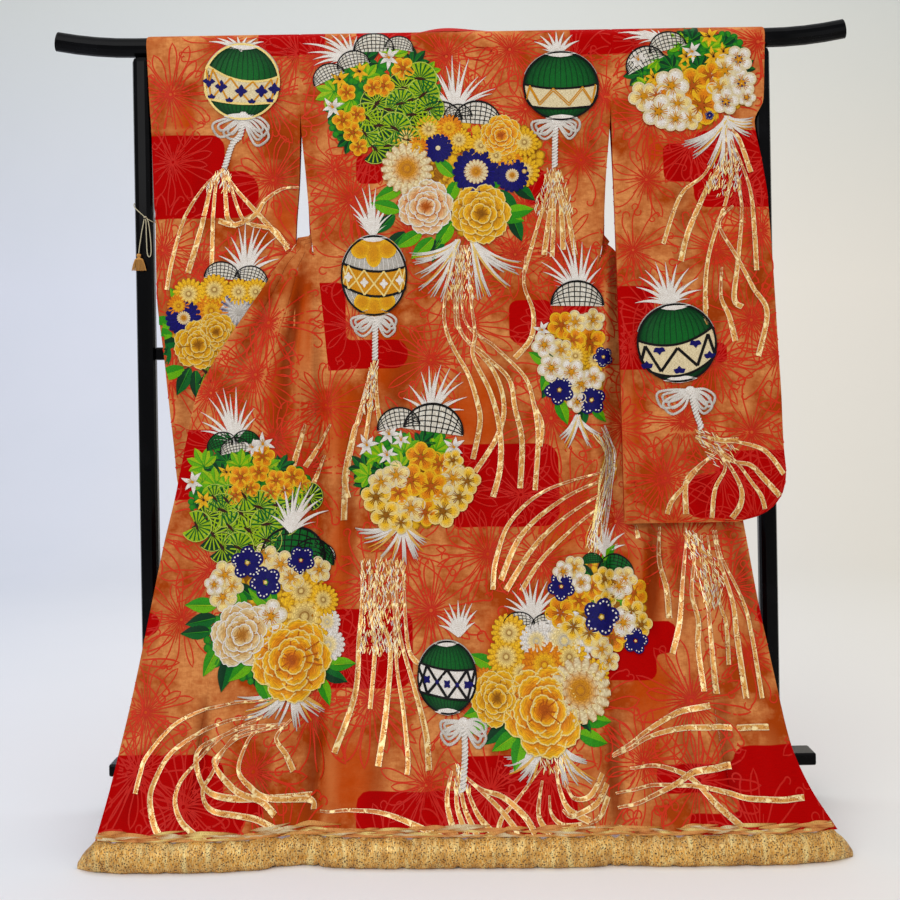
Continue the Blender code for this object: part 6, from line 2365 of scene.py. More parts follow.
def dark_chrysanthemum(work, outer, inner, heart):
    """A full round of one deep colour: scalloped rim, faint partings and a small pale heart."""
    work.disc((0, 0), 0.90, outer, 0.0004, 0.0006, 4, 24)
    for i in range(18):
        a = math.radians(20 * i)
        work.disc(polar(a, 0.88), 0.14, outer, 0.0005, 0.0004, 2, 8)
        work.spoke(a, 0.30, 0.80, (0.022,), inner, 0.0010)
    work.disc((0, 0), 0.17, heart, 0.0012, 0.0005, 2, 10)


def bed(work, fill, deep):
    """Close round petals that fill the ground between the flowers of a bouquet."""
    draw = random.Random(5)
    # The deep thread shows under and round each small petal: painted shade between them.
    work.disc((0, 0), 0.92, deep, 0.0, 0.0002, 3, 20)
    for ring, count in ((0.90, 17), (0.64, 12), (0.36, 7), (0.08, 2)):
        for i in range(count):
            a = 2 * math.pi * (i + 0.4 * draw.random()) / count
            size = 0.15 + 0.03 * draw.random()
            work.disc(polar(a, ring), size, fill, 0.0002 + 0.0001 * (i % 2), 0.0004, 2, 9, deep)


def fan_chrysanthemum(work, outer, inner, heart):
    """Deep tips round a pale inside, parted by pale lines."""
    for i in range(16):
        work.petal(22.5 * i, 0.12, 1.0, 0.36, (heart, heart, outer, outer), 0.0001 * (i % 2),
                   0.0005, inner)
    work.disc((0, 0), 0.2, heart, 0.0012, 0.0005, 2, 10)


def peony(work, edge, light, middle, deep):
    """Tiers of wide scalloped petals that close in over the heart, each edged in a paler thread."""
    # Each petal runs from the deep thread at its foot, under the tier above, to the light thread at its rim: the deep
    # foot is painted shade.
    shades = [THREADS[name] for name in (deep, middle, light)]
    for tier, (count, start, end, spread) in enumerate(
            ((9, 0.35, 1.0, 29), (7, 0.22, 0.78, 34), (6, 0.10, 0.56, 40), (4, 0.0, 0.34, 54))):
        for i in range(count):
            heading = 360 * (i + 0.4 * tier) / count + 7 * math.sin(2.3 * i + tier)
            reach = end * (1 + 0.06 * math.sin(3.1 * i + tier))
            lift = 0.0007 * tier + 0.00014 * (i % 3)

            def rim(u):
                scallop = 1 - 0.22 * u * u + 0.05 * abs(math.sin(2.5 * math.pi * u))
                return math.radians(heading + spread * u), reach * scallop

            for vert, s, t in grid_points(work.bm, 4, 8):
                u = 2 * s - 1
                a, far = rim(u)
                r = mix(start, far, t)
                x, z = polar(a, r)
                at = max(0.0, 3 * t - 1)
                low = min(int(at), 1)
                shade = [mix(p, q, at - low) for p, q in zip(shades[low], shades[low + 1])]
                work.put(vert, x, lift + 0.0008 * t * (1 - u * u), z, shade, (r, a * r))
            work.stroke([polar(*rim(-1 + k / 6)) for k in range(13)], (0.034,), edge, lift + 0.0010)
            # A deep line along one side of each petal: a painted shadow of the next petal.
            a, far = rim(0.98)
            work.spoke(a, far, start, (0.030,), deep, lift + 0.0009)


def leaf_pair(work, root, tip, bend, count, widths, tints, lift, crown):
    """The two halves of a leaf, in two threads that meet at its rib."""
    for side, tint in zip((-1, 1), tints):
        work.stroke(bow(root, tip, -bend * side, count), widths, tint, lift, crown, 2)


def leaf(work, left, right, rib):
    """One broad pointed leaf from its foot near the middle."""
    leaf_pair(work, (0, -0.25), (0, 1.70), 0.15, 7, (0.24, 0.52, 0.66, 0.62, 0.44, 0.20, 0.01),
              (left, right), 0.0002, 0.0005)
    work.spoke(math.pi / 2, -0.2, 1.5, (0.06, 0.015), rib, 0.0011)


def sprig(work, left, right, rib):
    """Five broad pointed leaves that spread from one stem."""
    for turn, size in ((-78, 1.0), (78, 1.0), (-38, 1.2), (38, 1.2), (0, 1.3)):
        a = math.radians(90 - turn)
        leaf_pair(work, polar(a, 0.06), polar(a, size), 0.13, 5, (0.16, 0.38, 0.42, 0.30, 0.01),
                  (left, right), 0.0002 + 0.00012 * (2 - abs(turn) / 39), 0.0004)
        work.spoke(a, 0, size * 0.9, (0.05, 0.015), rib, 0.0012)


def lily(work, fill, shade, heart):
    """Six pointed petals, folded along the middle, with stamens."""
    for i in range(6):
        a = math.radians(90 + 60 * i + 8 * math.sin(2 * i))
        line = bow((0, 0), polar(a, 1.0 - 0.15 * (i % 2)), 0.08 * (-1) ** i, 5)
        work.stroke(line, (0.16, 0.36, 0.34, 0.20, 0.01), (shade, fill, fill), 0.0002 * (i % 2),
                    0.0007, 2)
    for turn in (60, 90, 120):
        work.spoke(math.radians(turn), 0, 0.4, (0.05,), heart, 0.0012)
    work.disc((0, 0), 0.12, heart, 0.0010, 0.0004, 1, 8)


def pine_fan(work, fill, needle, twig):
    """A round of pine open at its foot: a scalloped rim and needles spread from a twig."""
    for vert, s, t in grid_points(work.bm, 3, 26):
        turn = math.radians(90 + 138 * (2 * s - 1))
        x, z = polar(turn, t * (1.18 + 0.07 * abs(math.sin(5 * turn))))
        work.put(vert, x, 0.0003 + 0.0005 * (1 - t), z, THREADS[fill], (0.6 * turn, t))
    work.ring((0, 0), 1.2, 0.05, "pale_green", 0.0011, -42, 222, 22)
    for i in range(13):
        turn = math.radians(90 + 122 * (i / 6 - 1))
        work.spoke(turn, 0.16 + 0.06 * (i % 2), 1.12, (0.05, 0.13), needle, 0.0012)
    work.stroke([(-0.30, -0.26), (0.02, 0.03), (0.34, 0.26)], (0.10, 0.24, 0.03), twig, 0.0016)


def net_mound(work, ground, line, rim):
    """A high dome of cloth under a fine net, bound by a cord along its top."""
    tall = 0.94
    for vert, s, t in grid_points(work.bm, 5, 18):
        turn = math.pi * (s - 0.5)
        x, z = math.sin(turn), tall * math.cos(turn) * t
        work.put(vert, x, 0.0003 + 0.0020 * t * (1 - t), z, THREADS[ground], (x, z))
    for i in range(1, 9):
        x = -1 + 2 * i / 9
        top = (x, tall * math.sqrt(1 - x * x))
        work.stroke(bow((x * 0.80, 0.0), top, -0.12 * x, 4), (0.034,), line, 0.0012)
    for share in (0.18, 0.38, 0.58, 0.78):
        work.stroke(arc((0, 0), 0.985, tall * share, 172, 8, 14), (0.034,), line, 0.0012)
    work.stroke(arc((0, 0), 1.0, tall, 178, 2, 20), (0.05, 0.085, 0.05), rim, 0.0015, 0.0003, 2)


def flower_lines(work, seed, petals, curl):
    """A spider chrysanthemum in line only: fine rays at the heart, long looped petals round it."""
    draw = random.Random(seed)
    for i in range(30):
        a = 2 * math.pi * (i + draw.random() * 0.6) / 30
        tip = polar(a + 0.1, 0.22 + 0.26 * draw.random())
        line = bow(polar(a, 0.03), tip, 0.10 * (draw.random() - 0.5), 3)
        work.stroke(line, (0.016, 0.020, 0.012), "ray")
    for i in range(petals):
        a = 2 * math.pi * (i + 0.5 * draw.random()) / petals
        start, end = 0.14 + 0.12 * draw.random(), 0.72 + 0.30 * draw.random()
        lean = 0.22 * (draw.random() - 0.5)
        width = 0.055 + 0.045 * draw.random()
        middle = bow(polar(a, start), polar(a + lean, end), lean, 9)
        shares = [math.sin(math.pi * (k / 9) ** 1.6) ** 0.7 + 0.10 * (1 - k / 9) for k in range(10)]
        left = [beside(middle, k, -width * share) for k, share in enumerate(shares)]
        right = [beside(middle, k, width * share) for k, share in enumerate(shares)]
        line = left + right[-2::-1]
        if draw.random() < curl:
            ux, uz = heading_at(middle, 9)
            turn = 1 if draw.random() < 0.5 else -1
            radius = 0.05 + 0.03 * draw.random()
            first = math.degrees(math.atan2(uz, ux)) - turn * 90
            hook = beside(middle, 9, -turn * radius)
            line = left[:-1] + arc(hook, radius, radius, first, first + turn * 230, 9)
        work.stroke(line, (0.021, 0.028, 0.021), "line")


# Motifs that are used more than once: the shape, then its threads or its own numbers.
MOTIFS = {
    "plum_gold": (plum, "orange_gold", "bright_gold", "amber"),
    "plum_yellow": (plum, "bright_gold", "pale_gold", "brass"),
    "plum_cream": (plum, "pale_gold", "cream", "gold"),
    "plum_white": (plum, "white", "cream", "gold"),
    "plum_navy": (dotted_plum, "navy", "white", "pale_gold"),
    "mum_gold": (chrysanthemum, "bright_gold", "gold", "pale_gold", "brass"),
    "mum_orange": (chrysanthemum, "orange_gold", "gold", "bright_gold", "amber"),
    "mum_silver": (chrysanthemum, "white", "silver", "pale_gold", "silver"),
    "mum_cream": (chrysanthemum, "cream", "pale_gold", "gold", "tan"),
    "mum_navy": (dark_chrysanthemum, "navy", "blue", "cream"),
    "mum_fan": (fan_chrysanthemum, "navy", "white", "silver"),
    "peony_cream": (peony, "white", "cream", "pale_tan", "tan"),
    "peony_gold": (peony, "pale_gold", "bright_gold", "gold", "brass"),
    "peony_orange": (peony, "pale_gold", "bright_gold", "orange_gold", "amber"),
    "peony_white": (peony, "white", "cream", "peach", "amber"),
    "bed_gold": (bed, "bright_gold", "brass"),
    "bed_green": (bed, "leaf_green", "green"),
    "leaf_lime": (leaf, "lime", "leaf_green", "yellow_green"),
    "leaf_dark": (leaf, "green", "dark_green", "leaf_green"),
    "sprig_lime": (sprig, "lime", "yellow_green", "leaf_green"),
    "sprig_dark": (sprig, "green", "dark_green", "leaf_green"),
    "lily": (lily, "white", "silver", "gold"),
    "lily_gold": (lily, "bright_gold", "gold", "brown"),
    "pine_lime": (pine_fan, "yellow_green", "green", "brown"),
    "pine_dark": (pine_fan, "dark_green", "yellow_green", "brown"),
    "net_white": (net_mound, "net_grey", "black", "black"),
    "net_green": (net_mound, "green", "black", "black"),
    "bloom_a": (flower_lines, 3, 17, 0.45),
    "bloom_b": (flower_lines, 8, 19, 0.25),
    "bloom_c": (flower_lines, 21, 14, 0.70),
    "bloom_d": (flower_lines, 34, 18, 0.50),
}


def templates(family=""):
    """One flat mesh for each motif whose name starts with the family's."""
    meshes = {}
    for kind, (shape, *details) in MOTIFS.items():
        if kind.startswith(family):
            work = Stitches(MOTIF_SIZE)
            shape(work, *details)
            meshes[kind] = work.finish(kind)
    return meshes


def seen_surface(names, side):
    """A tree of the outer faces of some cloth pieces, to lay thread work on from one side."""
    points, faces, panels = [], [], []
    for name in names:
        mesh = bpy.data.objects[name + "_cloth"].data
        first = len(points)
        points.extend(vert.co.copy() for vert in mesh.vertices)
        faces.extend([first + i for i in face.vertices] for face in mesh.polygons)
        panels.extend([panel_of(name)] * len(mesh.polygons))
    return BVHTree.FromPolygons(points, faces), side, panels


def cast_on_cloth(tree, x, z, side):
    """The cloth seen at a place, or just beside it where a seam's gap opens: its point and face."""
    found = None
    for reach in (0.0, -SEAM_REACH, SEAM_REACH):
        spot, _, face, _ = tree.ray_cast((x + reach, side * 2.0, z), (0.0, -side, 0.0))
        if spot and (found is None or (spot.y - found[0].y) * side > SEAM_STEP):
            found = spot, face
    return found


def lay_on_cloth(bm, surface):
    """Sets flat thread work on the cloth and cuts what hangs past an edge or bridges a step."""
    tree, side, panels = surface
    mist = bm.verts.layers.float.new("mist")
    lost = []
    on_panel = {}
    for vert in bm.verts:
        found = cast_on_cloth(tree, vert.co.x, vert.co.z, side)
        if found is None:
            lost.append(vert)
            continue
        spot, face = found
        vert.co.y = spot.y + side * (vert.co.y + LEAST_LIFT)
        on_panel.setdefault(panels[face], []).append(vert)
    for panel, verts in on_panel.items():
        x = np.array([vert.co.x for vert in verts])
        z = np.array([vert.co.z for vert in verts])
        for vert, value in zip(verts, mist_distance(bands_of(panel), x, z)):
            vert[mist] = value
    steep = []
    for face in bm.faces:
        depths = [vert.co.y for vert in face.verts]
        if max(depths) - min(depths) > STEEPEST:
            steep.append(face)
    bmesh.ops.delete(bm, geom=steep, context="FACES")
    bmesh.ops.delete(bm, geom=[vert for vert in lost if vert.is_valid], context="VERTS")
    loose = [vert for vert in bm.verts if not vert.link_faces]
    bmesh.ops.delete(bm, geom=loose, context="VERTS")


def motif_places(side, kind):
    """Where each motif of a kind stands on a side: across, up, size and turn in degrees."""
    lean, wobble, foot, larger = FAMILIES[kind.split("_")[0]]
    for on, (middle_x, middle_y), kinds in BOUQUETS:
        for x, y, reach in rows_of(3, kinds.get(kind, ()) if on == side else ()):
            across, up, unit = on_side(side, x, y)
            outward = math.degrees(math.atan2(middle_y - y, x - middle_x)) - 90
            turn = (5 * x + 11 * y) % 72
            if lean:
                turn = lean * outward + wobble * ((7 * x + 3 * y) % 5 - 2)
            heading = math.radians(turn + 90)
            yield *polar(heading, -foot * reach * unit, (across, up)), larger * reach * unit, turn


def place_motif(bm, mesh, x, z, size, turn, lift=0.0, tall=1.0):
    """Merges a copy of a flat mesh at a place, with its size and its turn in degrees."""
    spin = Matrix.Rotation(math.radians(-turn), 4, "Y")
    scale = Matrix.Diagonal((size, 1.0, size * tall, 1.0))
    moved = Matrix.Translation((x, lift, z)) @ spin @ scale
    mesh.transform(moved)
    bm.from_mesh(mesh)
    mesh.transform(moved.inverted())


def piece_of_work(bm, name, surface, material):
    """Lays thread work on its cloth, turns its faces to the viewer and finishes the piece."""
    lay_on_cloth(bm, surface)
    side = surface[1]
    bm.normal_update()
    turned = [face for face in bm.faces if face.normal.y * side < 0]
    bmesh.ops.reverse_faces(bm, faces=turned)
    return new_object(name, to_mesh(bm, name, 60.0), [material], "copper_satin")


# The chrysanthemum lines of the ground

def line_silk(settings):
    """Thin red-orange silk laid in loops, duller where it crosses a mist band."""
    f = Finish("red_orange_line_silk", Roughness=0.5, Specular_IOR_Level=0.15)
    thread = f.attribute("thread").outputs["Color"]
    mist = f.attribute("mist").outputs["Fac"]
    stitch = f.attribute("stitch").outputs["Vector"]
    glint_streaks = f.streaks(stitch, 1500.0, 300.0)
    # Painted glints: streaks along the silk lightened towards the glint colour.
    plain = f.mixed(f.ranged(glint_streaks, 0.35, 0.75, 0.0, 0.45), thread, settings.glint)
    f.into("Base Color", f.mixed(f.ranged(mist, 0.0008, -0.0008), plain, settings.on_mist))
    f.into("Normal", f.bump(glint_streaks, 0.4, 0.0003))
    return f.material


class KimonoLines(bpy.types.PropertyGroup):
    radius: measure("Flower radius", "Reach of a flower's longest petals", 0.112, 0.02, 0.3)
    spacing: measure("Spacing", "Distance between flowers", 0.146, 0.05, 0.5)
    glint: tint("Glint", "Where the silk catches the light", "d23a0c")
    on_mist: tint("On mist", "The lines on the red bands", "bc1404")


class KIMONO_OT_lines(bpy.types.Operator):
    """Lay the line-drawn chrysanthemums all over the ground"""

    bl_idname = "kimono.lines"
    bl_label = "Chrysanthemum lines"

    def execute(self, context):
        settings = context.scene.kimono_lines
        silk = line_silk(settings)
        meshes = templates("bloom")
        for seed, (name, (panels, side, _)) in enumerate(GROUND_SIDES.items()):
            draw = random.Random(100 + seed)
            bm = bmesh.new()
            for x, z in bloom_spots(name, settings.spacing):
                size = settings.radius * (0.85 + 0.3 * draw.random())
                kind = draw.choice(list(meshes))
                place_motif(bm, meshes[kind], x, z, size, 360 * draw.random())
            piece_of_work(bm, f"flower_lines_{name}", seen_surface(panels, side), silk)
        return {"FINISHED"}


# The embroidery

def silk_thread(settings):
    """Silk and metal thread laid side by side: the ridges of the stitches catch the light."""
    f = Finish("embroidery_thread", Roughness=0.45, Specular_IOR_Level=0.12)
    thread = f.attribute("thread")
    ridges = f.streaks(f.attribute("stitch").outputs["Vector"], 2400.0, 260.0)
    patch = f.noise(f.place(), 120.0, 2.0)
    shaded = f.mixed(f.ranged(ridges, 0.30, 0.62), settings.stitch_shade, (1.0, 1.0, 1.0))
    lit = f.mixed(f.ranged(patch, 0.3, 0.7), (0.88, 0.86, 0.84), (1.0, 1.0, 1.0))
    base = f.mixed(1.0, f.mixed(1.0, thread.outputs["Color"], shaded, "MULTIPLY"), lit, "MULTIPLY")
    f.into("Base Color", base)
    f.into("Metallic", thread.outputs["Alpha"])
    f.into("Roughness", f.ranged(ridges, 0.3, 0.7, 0.52, 0.34))
    f.into("Normal", f.bump(ridges, 0.5, 0.0004))
    return f.material


def gold_leaf(settings):
    """Thin strips of metal leaf, broken by fine cracks and rows of dots, with pale edges, painted glints and painted
    shade.
    """
    f = Finish("gold_leaf_thread", Roughness=0.34, Metallic=0.30, Specular_IOR_Level=0.3)
    thread = f.attribute("thread").outputs["Color"]
    stitch = f.attribute("stitch").outputs["Vector"]
    dots = f.node("TexVoronoi", {"Vector": stitch, "Scale": 330.0, "Randomness": 0.85})
    dot = f.ranged(dots.outputs["Distance"], 0.50, 0.34)
    worn = f.noise(f.place(), 70.0, 3.0, 0.65)
    # Painted highlight and painted shade along the leaf: streaks lightened towards the leaf light and darkened towards
    # the leaf shade.
    glint = f.ranged(f.streaks(stitch, 62.0, 90.0), 0.50, 0.62)
    leaf_shade_streaks = f.ranged(f.streaks(stitch, 48.0, 60.0, scale=1.3), 0.48, 0.66, 0.0, 0.75)
    gold = f.mixed(glint, f.mixed(leaf_shade_streaks, thread, settings.leaf_dull), settings.leaf_light)
    broken = f.math("MULTIPLY", dot, f.ranged(worn, 0.42, 0.56))
    f.into("Base Color", f.mixed(broken, gold, settings.leaf_worn))
    f.into("Normal", f.bump(worn, 0.5, 0.0008, f.bump(glint, 0.3, 0.0003)))
    return f.material


def scaled(points):
    """Places in metres from places in millimetres."""
    return [(x * MM, z * MM) for x, z in points]


def bearing(a, b):
    """The angle from one place to another in radians, and the distance."""
    return math.atan2(b[1] - a[1], b[0] - a[0]), math.hypot(b[0] - a[0], b[1] - a[1])


def blades(work, raised, foot, tips):
    """White blades that arch out from one foot, each a tapered band with a shorter partner."""
    for i, tip in enumerate(tips):
        heading, length = bearing(foot, tip)
        bend = 0.20 * math.cos(heading) + 0.03 * math.sin(2.1 * i)
        for k, (lean, reach, wide) in enumerate(BLADE_BANDS):
            end = polar(heading + lean * (-1) ** i, length * reach, foot)
            lift = raised + 0.0006 + 0.00022 * (i % 5) + 0.00008 * k
            widths = [wide * share for share in BLADE_TAPER]
            work.stroke(bow(foot, end, bend, 8), widths, "white", lift, 0.0006, 2)


def strands(work, foot, tips, seed):
    """Loose strands that arch out and down from one foot, thin and close, white with some gold."""
    draw = random.Random(seed)
    for i, tip in enumerate(tips):
        bend = -0.20 * math.cos(bearing(foot, tip)[0])
        for k in range(4):
            end = (tip[0] + 0.014 * (draw.random() - 0.5), tip[1] + 0.018 * (draw.random() - 0.3))
            start = (foot[0] + 0.012 * (draw.random() - 0.5), foot[1] + 0.008 * draw.random())
            tint = ("white", "white", "silver") if draw.random() < 0.85 else ("pale_gold", "gold")
            wide = 0.0034 + 0.0026 * draw.random()
            line = bow(start, end, bend + 0.06 * (draw.random() - 0.5), 6)
            work.stroke(line, (wide * 0.8, wide, wide * 0.9, wide * 0.3), tint,
                        0.0006 + LAYER * ((7 * i + k) % 9), CROWN, 2)


def loop(work, knot, tip, lift):
    """A bow's loop: out to its tip and back, as one rounded band with a smaller one inside it."""
    for wide, reach in BOW_LOOPS:
        dx, dz = (tip[0] - knot[0]) * reach, (tip[1] - knot[1]) * reach
        line = [(knot[0] + dx * out - dz * wide * off, knot[1] + dz * out + dx * wide * off)
                for out, off in LOOP_SHAPE]
        line = flat_curve([knot, *line, knot], 4)
        work.stroke(line, (BOW_BAND,), ("white", "silver", "white"), lift, 0.0010, 3)


def twisted_cord(work, points, width, lift):
    """A silver cord whose white plies cross it slantwise."""
    line = flat_curve(points, 8)
    work.stroke(line, (width * 0.9,), "silver", lift, 0.0006, 2)
    step, at = width * 0.55, 0.0
    for a, b in zip(line, line[1:]):
        heading, length = bearing(a, b)
        slant, half = heading + math.atan2(-1.0, 0.7), width * 0.5 * math.hypot(1.0, 0.7)
        while at < length:
            spot = polar(heading, at, a)
            ply = bow(polar(slant, -half, spot), polar(slant, half, spot), 0.12, 4)
            work.stroke(ply, (width * 0.2, width * 0.42, width * 0.2), "white", lift + 0.0010,
                        0.0007, 2)
            at += step
        at -= length


def hatch(work, corners, seed):
    """Short broken stitches that cross at a slant, over a patch given by its four corners."""
    draw = random.Random(seed)
    (ax, az), (bx, bz), (cx, cz), (dx, dz) = corners
    area = abs((bx - ax + dx - cx) / 2 * (az + bz - cz - dz) / 2)
    down = math.atan2(cz + dz - az - bz, cx + dx - ax - bx)
    for i in range(max(8, round(area / HATCH_AREA))):
        u, v = draw.random(), draw.random()
        spot = (mix(mix(ax, bx, u), mix(cx, dx, u), v), mix(mix(az, bz, u), mix(cz, dz, u), v))
        heading = down + (0.28 if i % 2 else -0.28)
        half = 0.0040 + 0.004 * draw.random()
        tint = draw.choice(("cream", "cream", "pale_gold", "pale_tan", "silver", "leaf"))
        work.stroke([polar(heading, -half, spot), spot, polar(heading, half, spot)],
                    (0.0008, 0.0018, 0.0008), tint, 0.0018 + 0.0001 * (i % 7))


def bundle(work, points, seed):
    """A loose bundle of fine strands that wander side by side along a line."""
    draw = random.Random(seed)
    line = flat_curve(points, 6)
    for i in range(BUNDLE_STRANDS):
        phase, swing = 6.3 * draw.random(), 0.5 + draw.random()
        middle = i / (BUNDLE_STRANDS - 1) - 0.5
        offs = [BUNDLE_WIDTH * (middle + 0.16 * math.sin(0.5 * swing * k + phase))
                for k in range(len(line))]
        path = [beside(line, k, -off) for k, off in enumerate(offs)]
        tint = draw.choice(("silver", "white", "pale_gold", "gold", "cream"))
        path = path[draw.randrange(3):len(path) - draw.randrange(4)]
        work.stroke(path, (0.0012, 0.0022, 0.0022, 0.0010), tint, 0.0008 + LAYER * (i % 6),
                    CROWN, 2)


def gathers(work):
    """Long low wrinkles of copper and gold cloth along the hem, where the roll draws it in."""
    draw = random.Random(3)
    x = -HEM_HALF
    while x < HEM_HALF:
        low = HEM_Z + 0.001 + 0.014 * draw.random() ** 1.5
        long, rise = 0.035 + 0.075 * draw.random(), 0.016 * (draw.random() - 0.5)
        # Each wrinkle pales towards its middle: a painted highlight.
        tint = draw.choice(WRINKLE_TINTS)
        wide = 0.0045 + 0.0045 * draw.random()
        tip = (x + long, max(HEM_Z + 0.001, low + rise))
        line = bow((x, low), tip, 0.12 * (draw.random() - 0.5), 9)
        work.stroke(line, (0.001, wide, wide, wide * 0.6, 0.001), tint,
                    0.0004 + 0.0002 * draw.random(), 0.0020, 3)
        x += WRINKLE_STEP


def small_flower(work, spot, size, tint, lift, first=45, step=90, count=4):
    """Pointed petals out from a place, each a step in degrees on from the first."""
    for i in range(count):
        line = bow(spot, polar(math.radians(first + step * i), size, spot), 0.0, 5)
        widths = [size * share for share in (0.14, 0.52, 0.76, 0.70, 0.40, 0.05)]
        work.stroke(line, widths, tint, lift, CROWN, 2)


class Belt:
    """The patterned belt round a thread ball, between its lower and its upper edge."""

    def __init__(self, upper, lower):
        self.edges = (lower, upper)

    def __call__(self, share, u):
        """The place a share of the way up the belt, u across the ball."""
        heights = [middle + (right - left) / 2 * u + ((left + right) / 2 - middle) * u * u
                   for left, middle, right in self.edges]
        rim = math.sqrt(max(0.0, 1 - u * u))
        return u, max(-rim, min(rim, mix(*heights, share)))

    def spread(self, count, reach):
        """Places across the ball, closer together towards its sides."""
        return [reach * math.sin(math.pi / 2 * (-1 + 2 * i / count)) for i in range(count + 1)]

    def zigzag(self, work, teeth, width, tint, rises, buds):
        """A line of teeth, with a bud in each notch."""
        across = self.spread(teeth, 0.92)
        line = [self(0.12 + 0.76 * (i % 2), u) for i, u in enumerate(across)]
        for a, b in zip(line, line[1:]):
            for rise in rises:
                work.stroke([(x, z + rise) for x, z in (a, b)], (width,), tint, 0.0046, CROWN)
        for i in range(1, teeth if buds else 0):
            spot = self(0.10 if i % 2 else 0.90, across[i])
            small_flower(work, spot, 0.17, "navy", 0.0046, 30 if i % 2 else 210, 60, 3)

    def lattice(self, work, pattern):
        """Crossed lines, with flowers between them."""
        cells, width, tint = LATTICES[pattern]
        across = self.spread(cells, 0.96)
        for i, (u0, u1) in enumerate(zip(across, across[1:])):
            heart = (u0 + u1) / 2
            for low, high in ((0.0, 1.0), (1.0, 0.0)):
                line = [self(low, u0), self(0.5, heart), self(high, u1)]
                work.stroke(line, (width,), tint, 0.0045)
            if pattern == "flowers":
                small_flower(work, self(0.55, heart), 0.17, "navy", 0.0047, 0)
            if i and pattern == "lattice":
                small_flower(work, self(0.5, u0), 0.13, "white", 0.0047, 0)
            if i and pattern == "flowers":
                small_flower(work, self(0.04, u0), 0.12, "navy", 0.0047, 30, 60, 3)
            if i and pattern == "black_lattice":
                small_flower(work, self(0.5, u0), 0.14, "navy", 0.0047)
                work.disc(self(0.5, heart), 0.07, "navy", 0.0048, 0.0003, 2, 8)


def temari(work, upper, lower, dome, rim, pattern):
    """A thread ball: its domes in one silk, a patterned belt round it, caps and a rim."""
    silk, shade, meridian, foot = DOMES[dome]
    work.disc((0, 0), 1.0, silk, 0.0006, 0.0028, 8, 36, shade)
    for i in range(13):
        bend = -0.92 + 1.84 * i / 12
        work.stroke(arc((0, 0), bend, 1.0, -80, 80, 10), (0.018,), meridian, 0.0034)
    belt = Belt(upper, lower)
    for vert, s, t in grid_points(work.bm, 4, 30):
        u, z = belt(t, 0.985 * math.sin(math.pi * (s - 0.5)))
        ground = THREADS[BELT_GROUNDS[pattern]]
        work.put(vert, u, 0.0036 + 0.0004 * (1 - u * u), z, ground, (z, u))
    for share in (0.0, 1.0):
        work.stroke([belt(share, u) for u in belt.spread(24, 0.96)], (0.06,), rim, 0.0044, CROWN)
    if pattern == "zigzag":
        belt.zigzag(work, 6, 0.075, "black", (0.0,), True)
    elif pattern == "gold_zigzag":
        belt.zigzag(work, 7, 0.032, "gold", (0.0, 0.075), False)
    else:
        belt.lattice(work, pattern)
    for height, tint in ((0.93, "white"), (-0.93, foot)):
        work.stroke([(x, height) for x in (-0.42, -0.2, 0.0, 0.2, 0.42)],
                    (0.02, 0.14, 0.19, 0.14, 0.02), tint, 0.0042, 0.0005, 2)
    for x, z, wide, tall in GOLD_SCALLOPS if dome == "gold" else ():
        work.disc((x, z), wide, "gold", 0.0036, 0.0006, 3, 16, "bright_gold", tall / wide)
    work.ring((0, 0), 0.985, 0.055, rim, 0.0046, 0, 360, 48)
    work.ring((0, 0), 1.02, 0.030, "silver", 0.0016, 20, 160, 20)


def bouquets(name, settings):
    """Leaves, nets, pines and flowers, each kind over the one before."""
    bm = bmesh.new()
    meshes = templates()
    for kind, lift in MOTIF_LIFT.items():
        for i, place in enumerate(motif_places(name, kind)):
            place_motif(bm, meshes[kind], *place, (lift + 0.22 * (i % 4)) * MM)
    return bm


def sprays(name, settings):
    """White blades over the bouquets, loose strands under them, and the gathers of the hem."""
    work = Stitches()
    for raised, *numbers in BLADES.get(name, ()):
        foot, *tips = route(name, numbers)
        blades(work, raised * MM, foot, tips)
    if name == "back":
        gathers(work)
    for seed, numbers in enumerate(STRANDS.get(name, ())):
        foot, *tips = route(name, numbers)
        strands(work, foot, tips, seed)
    return work.bm


def balls(name, settings):
    """Thread balls, and the bows and cords under them."""
    bm = bmesh.new()
    for side, middle, half_sizes, turn, *details in TEMARI:
        if side == name:
            (x, z), (half, tall) = scaled([middle, half_sizes])
            work = Stitches(half)
            temari(work, *details)
            place_motif(bm, work.finish("ball"), x, z, half, turn, tall=tall / half)
    work = Stitches()
    for side, knot, tips, cord in BOWS:
        if side == name:
            spot = scaled([knot])[0]
            for i, tip in enumerate(scaled(tips)):
                loop(work, spot, tip, 0.0010 + 0.0003 * i)
            twisted_cord(work, scaled(cord), BOW_CORD, 0.0014)
            half, tall = BOW_KNOT
            work.disc(spot, half, "white", 0.0030, 0.0012, 3, 12, tall=tall / half)
    bm.from_mesh(work.finish("bows"))
    return bm


def ribbons(name, settings):
    """Gold ribbons, loose bundles and patches of broken stitches."""
    work = Stitches()
    for i, numbers in enumerate(RIBBONS.get(name, ())):
        width = settings.ribbon * (0.85 + 0.3 * abs(math.sin(1.7 * i)))
        line = flat_curve(route(name, numbers), 10)
        work.stroke(line, [width * share for share in RIBBON_TAPER],
                    ("copper", "copper", "leaf", "leaf", "leaf"),
                    0.0005 + LAYER * (i % 7), CROWN, 5, "cream")
    for seed, numbers in enumerate(BUNDLES.get(name, ())):
        bundle(work, route(name, numbers), seed)
    for seed, numbers in enumerate(HATCHES.get(name, ())):
        hatch(work, route(name, numbers), seed)
    return work.bm


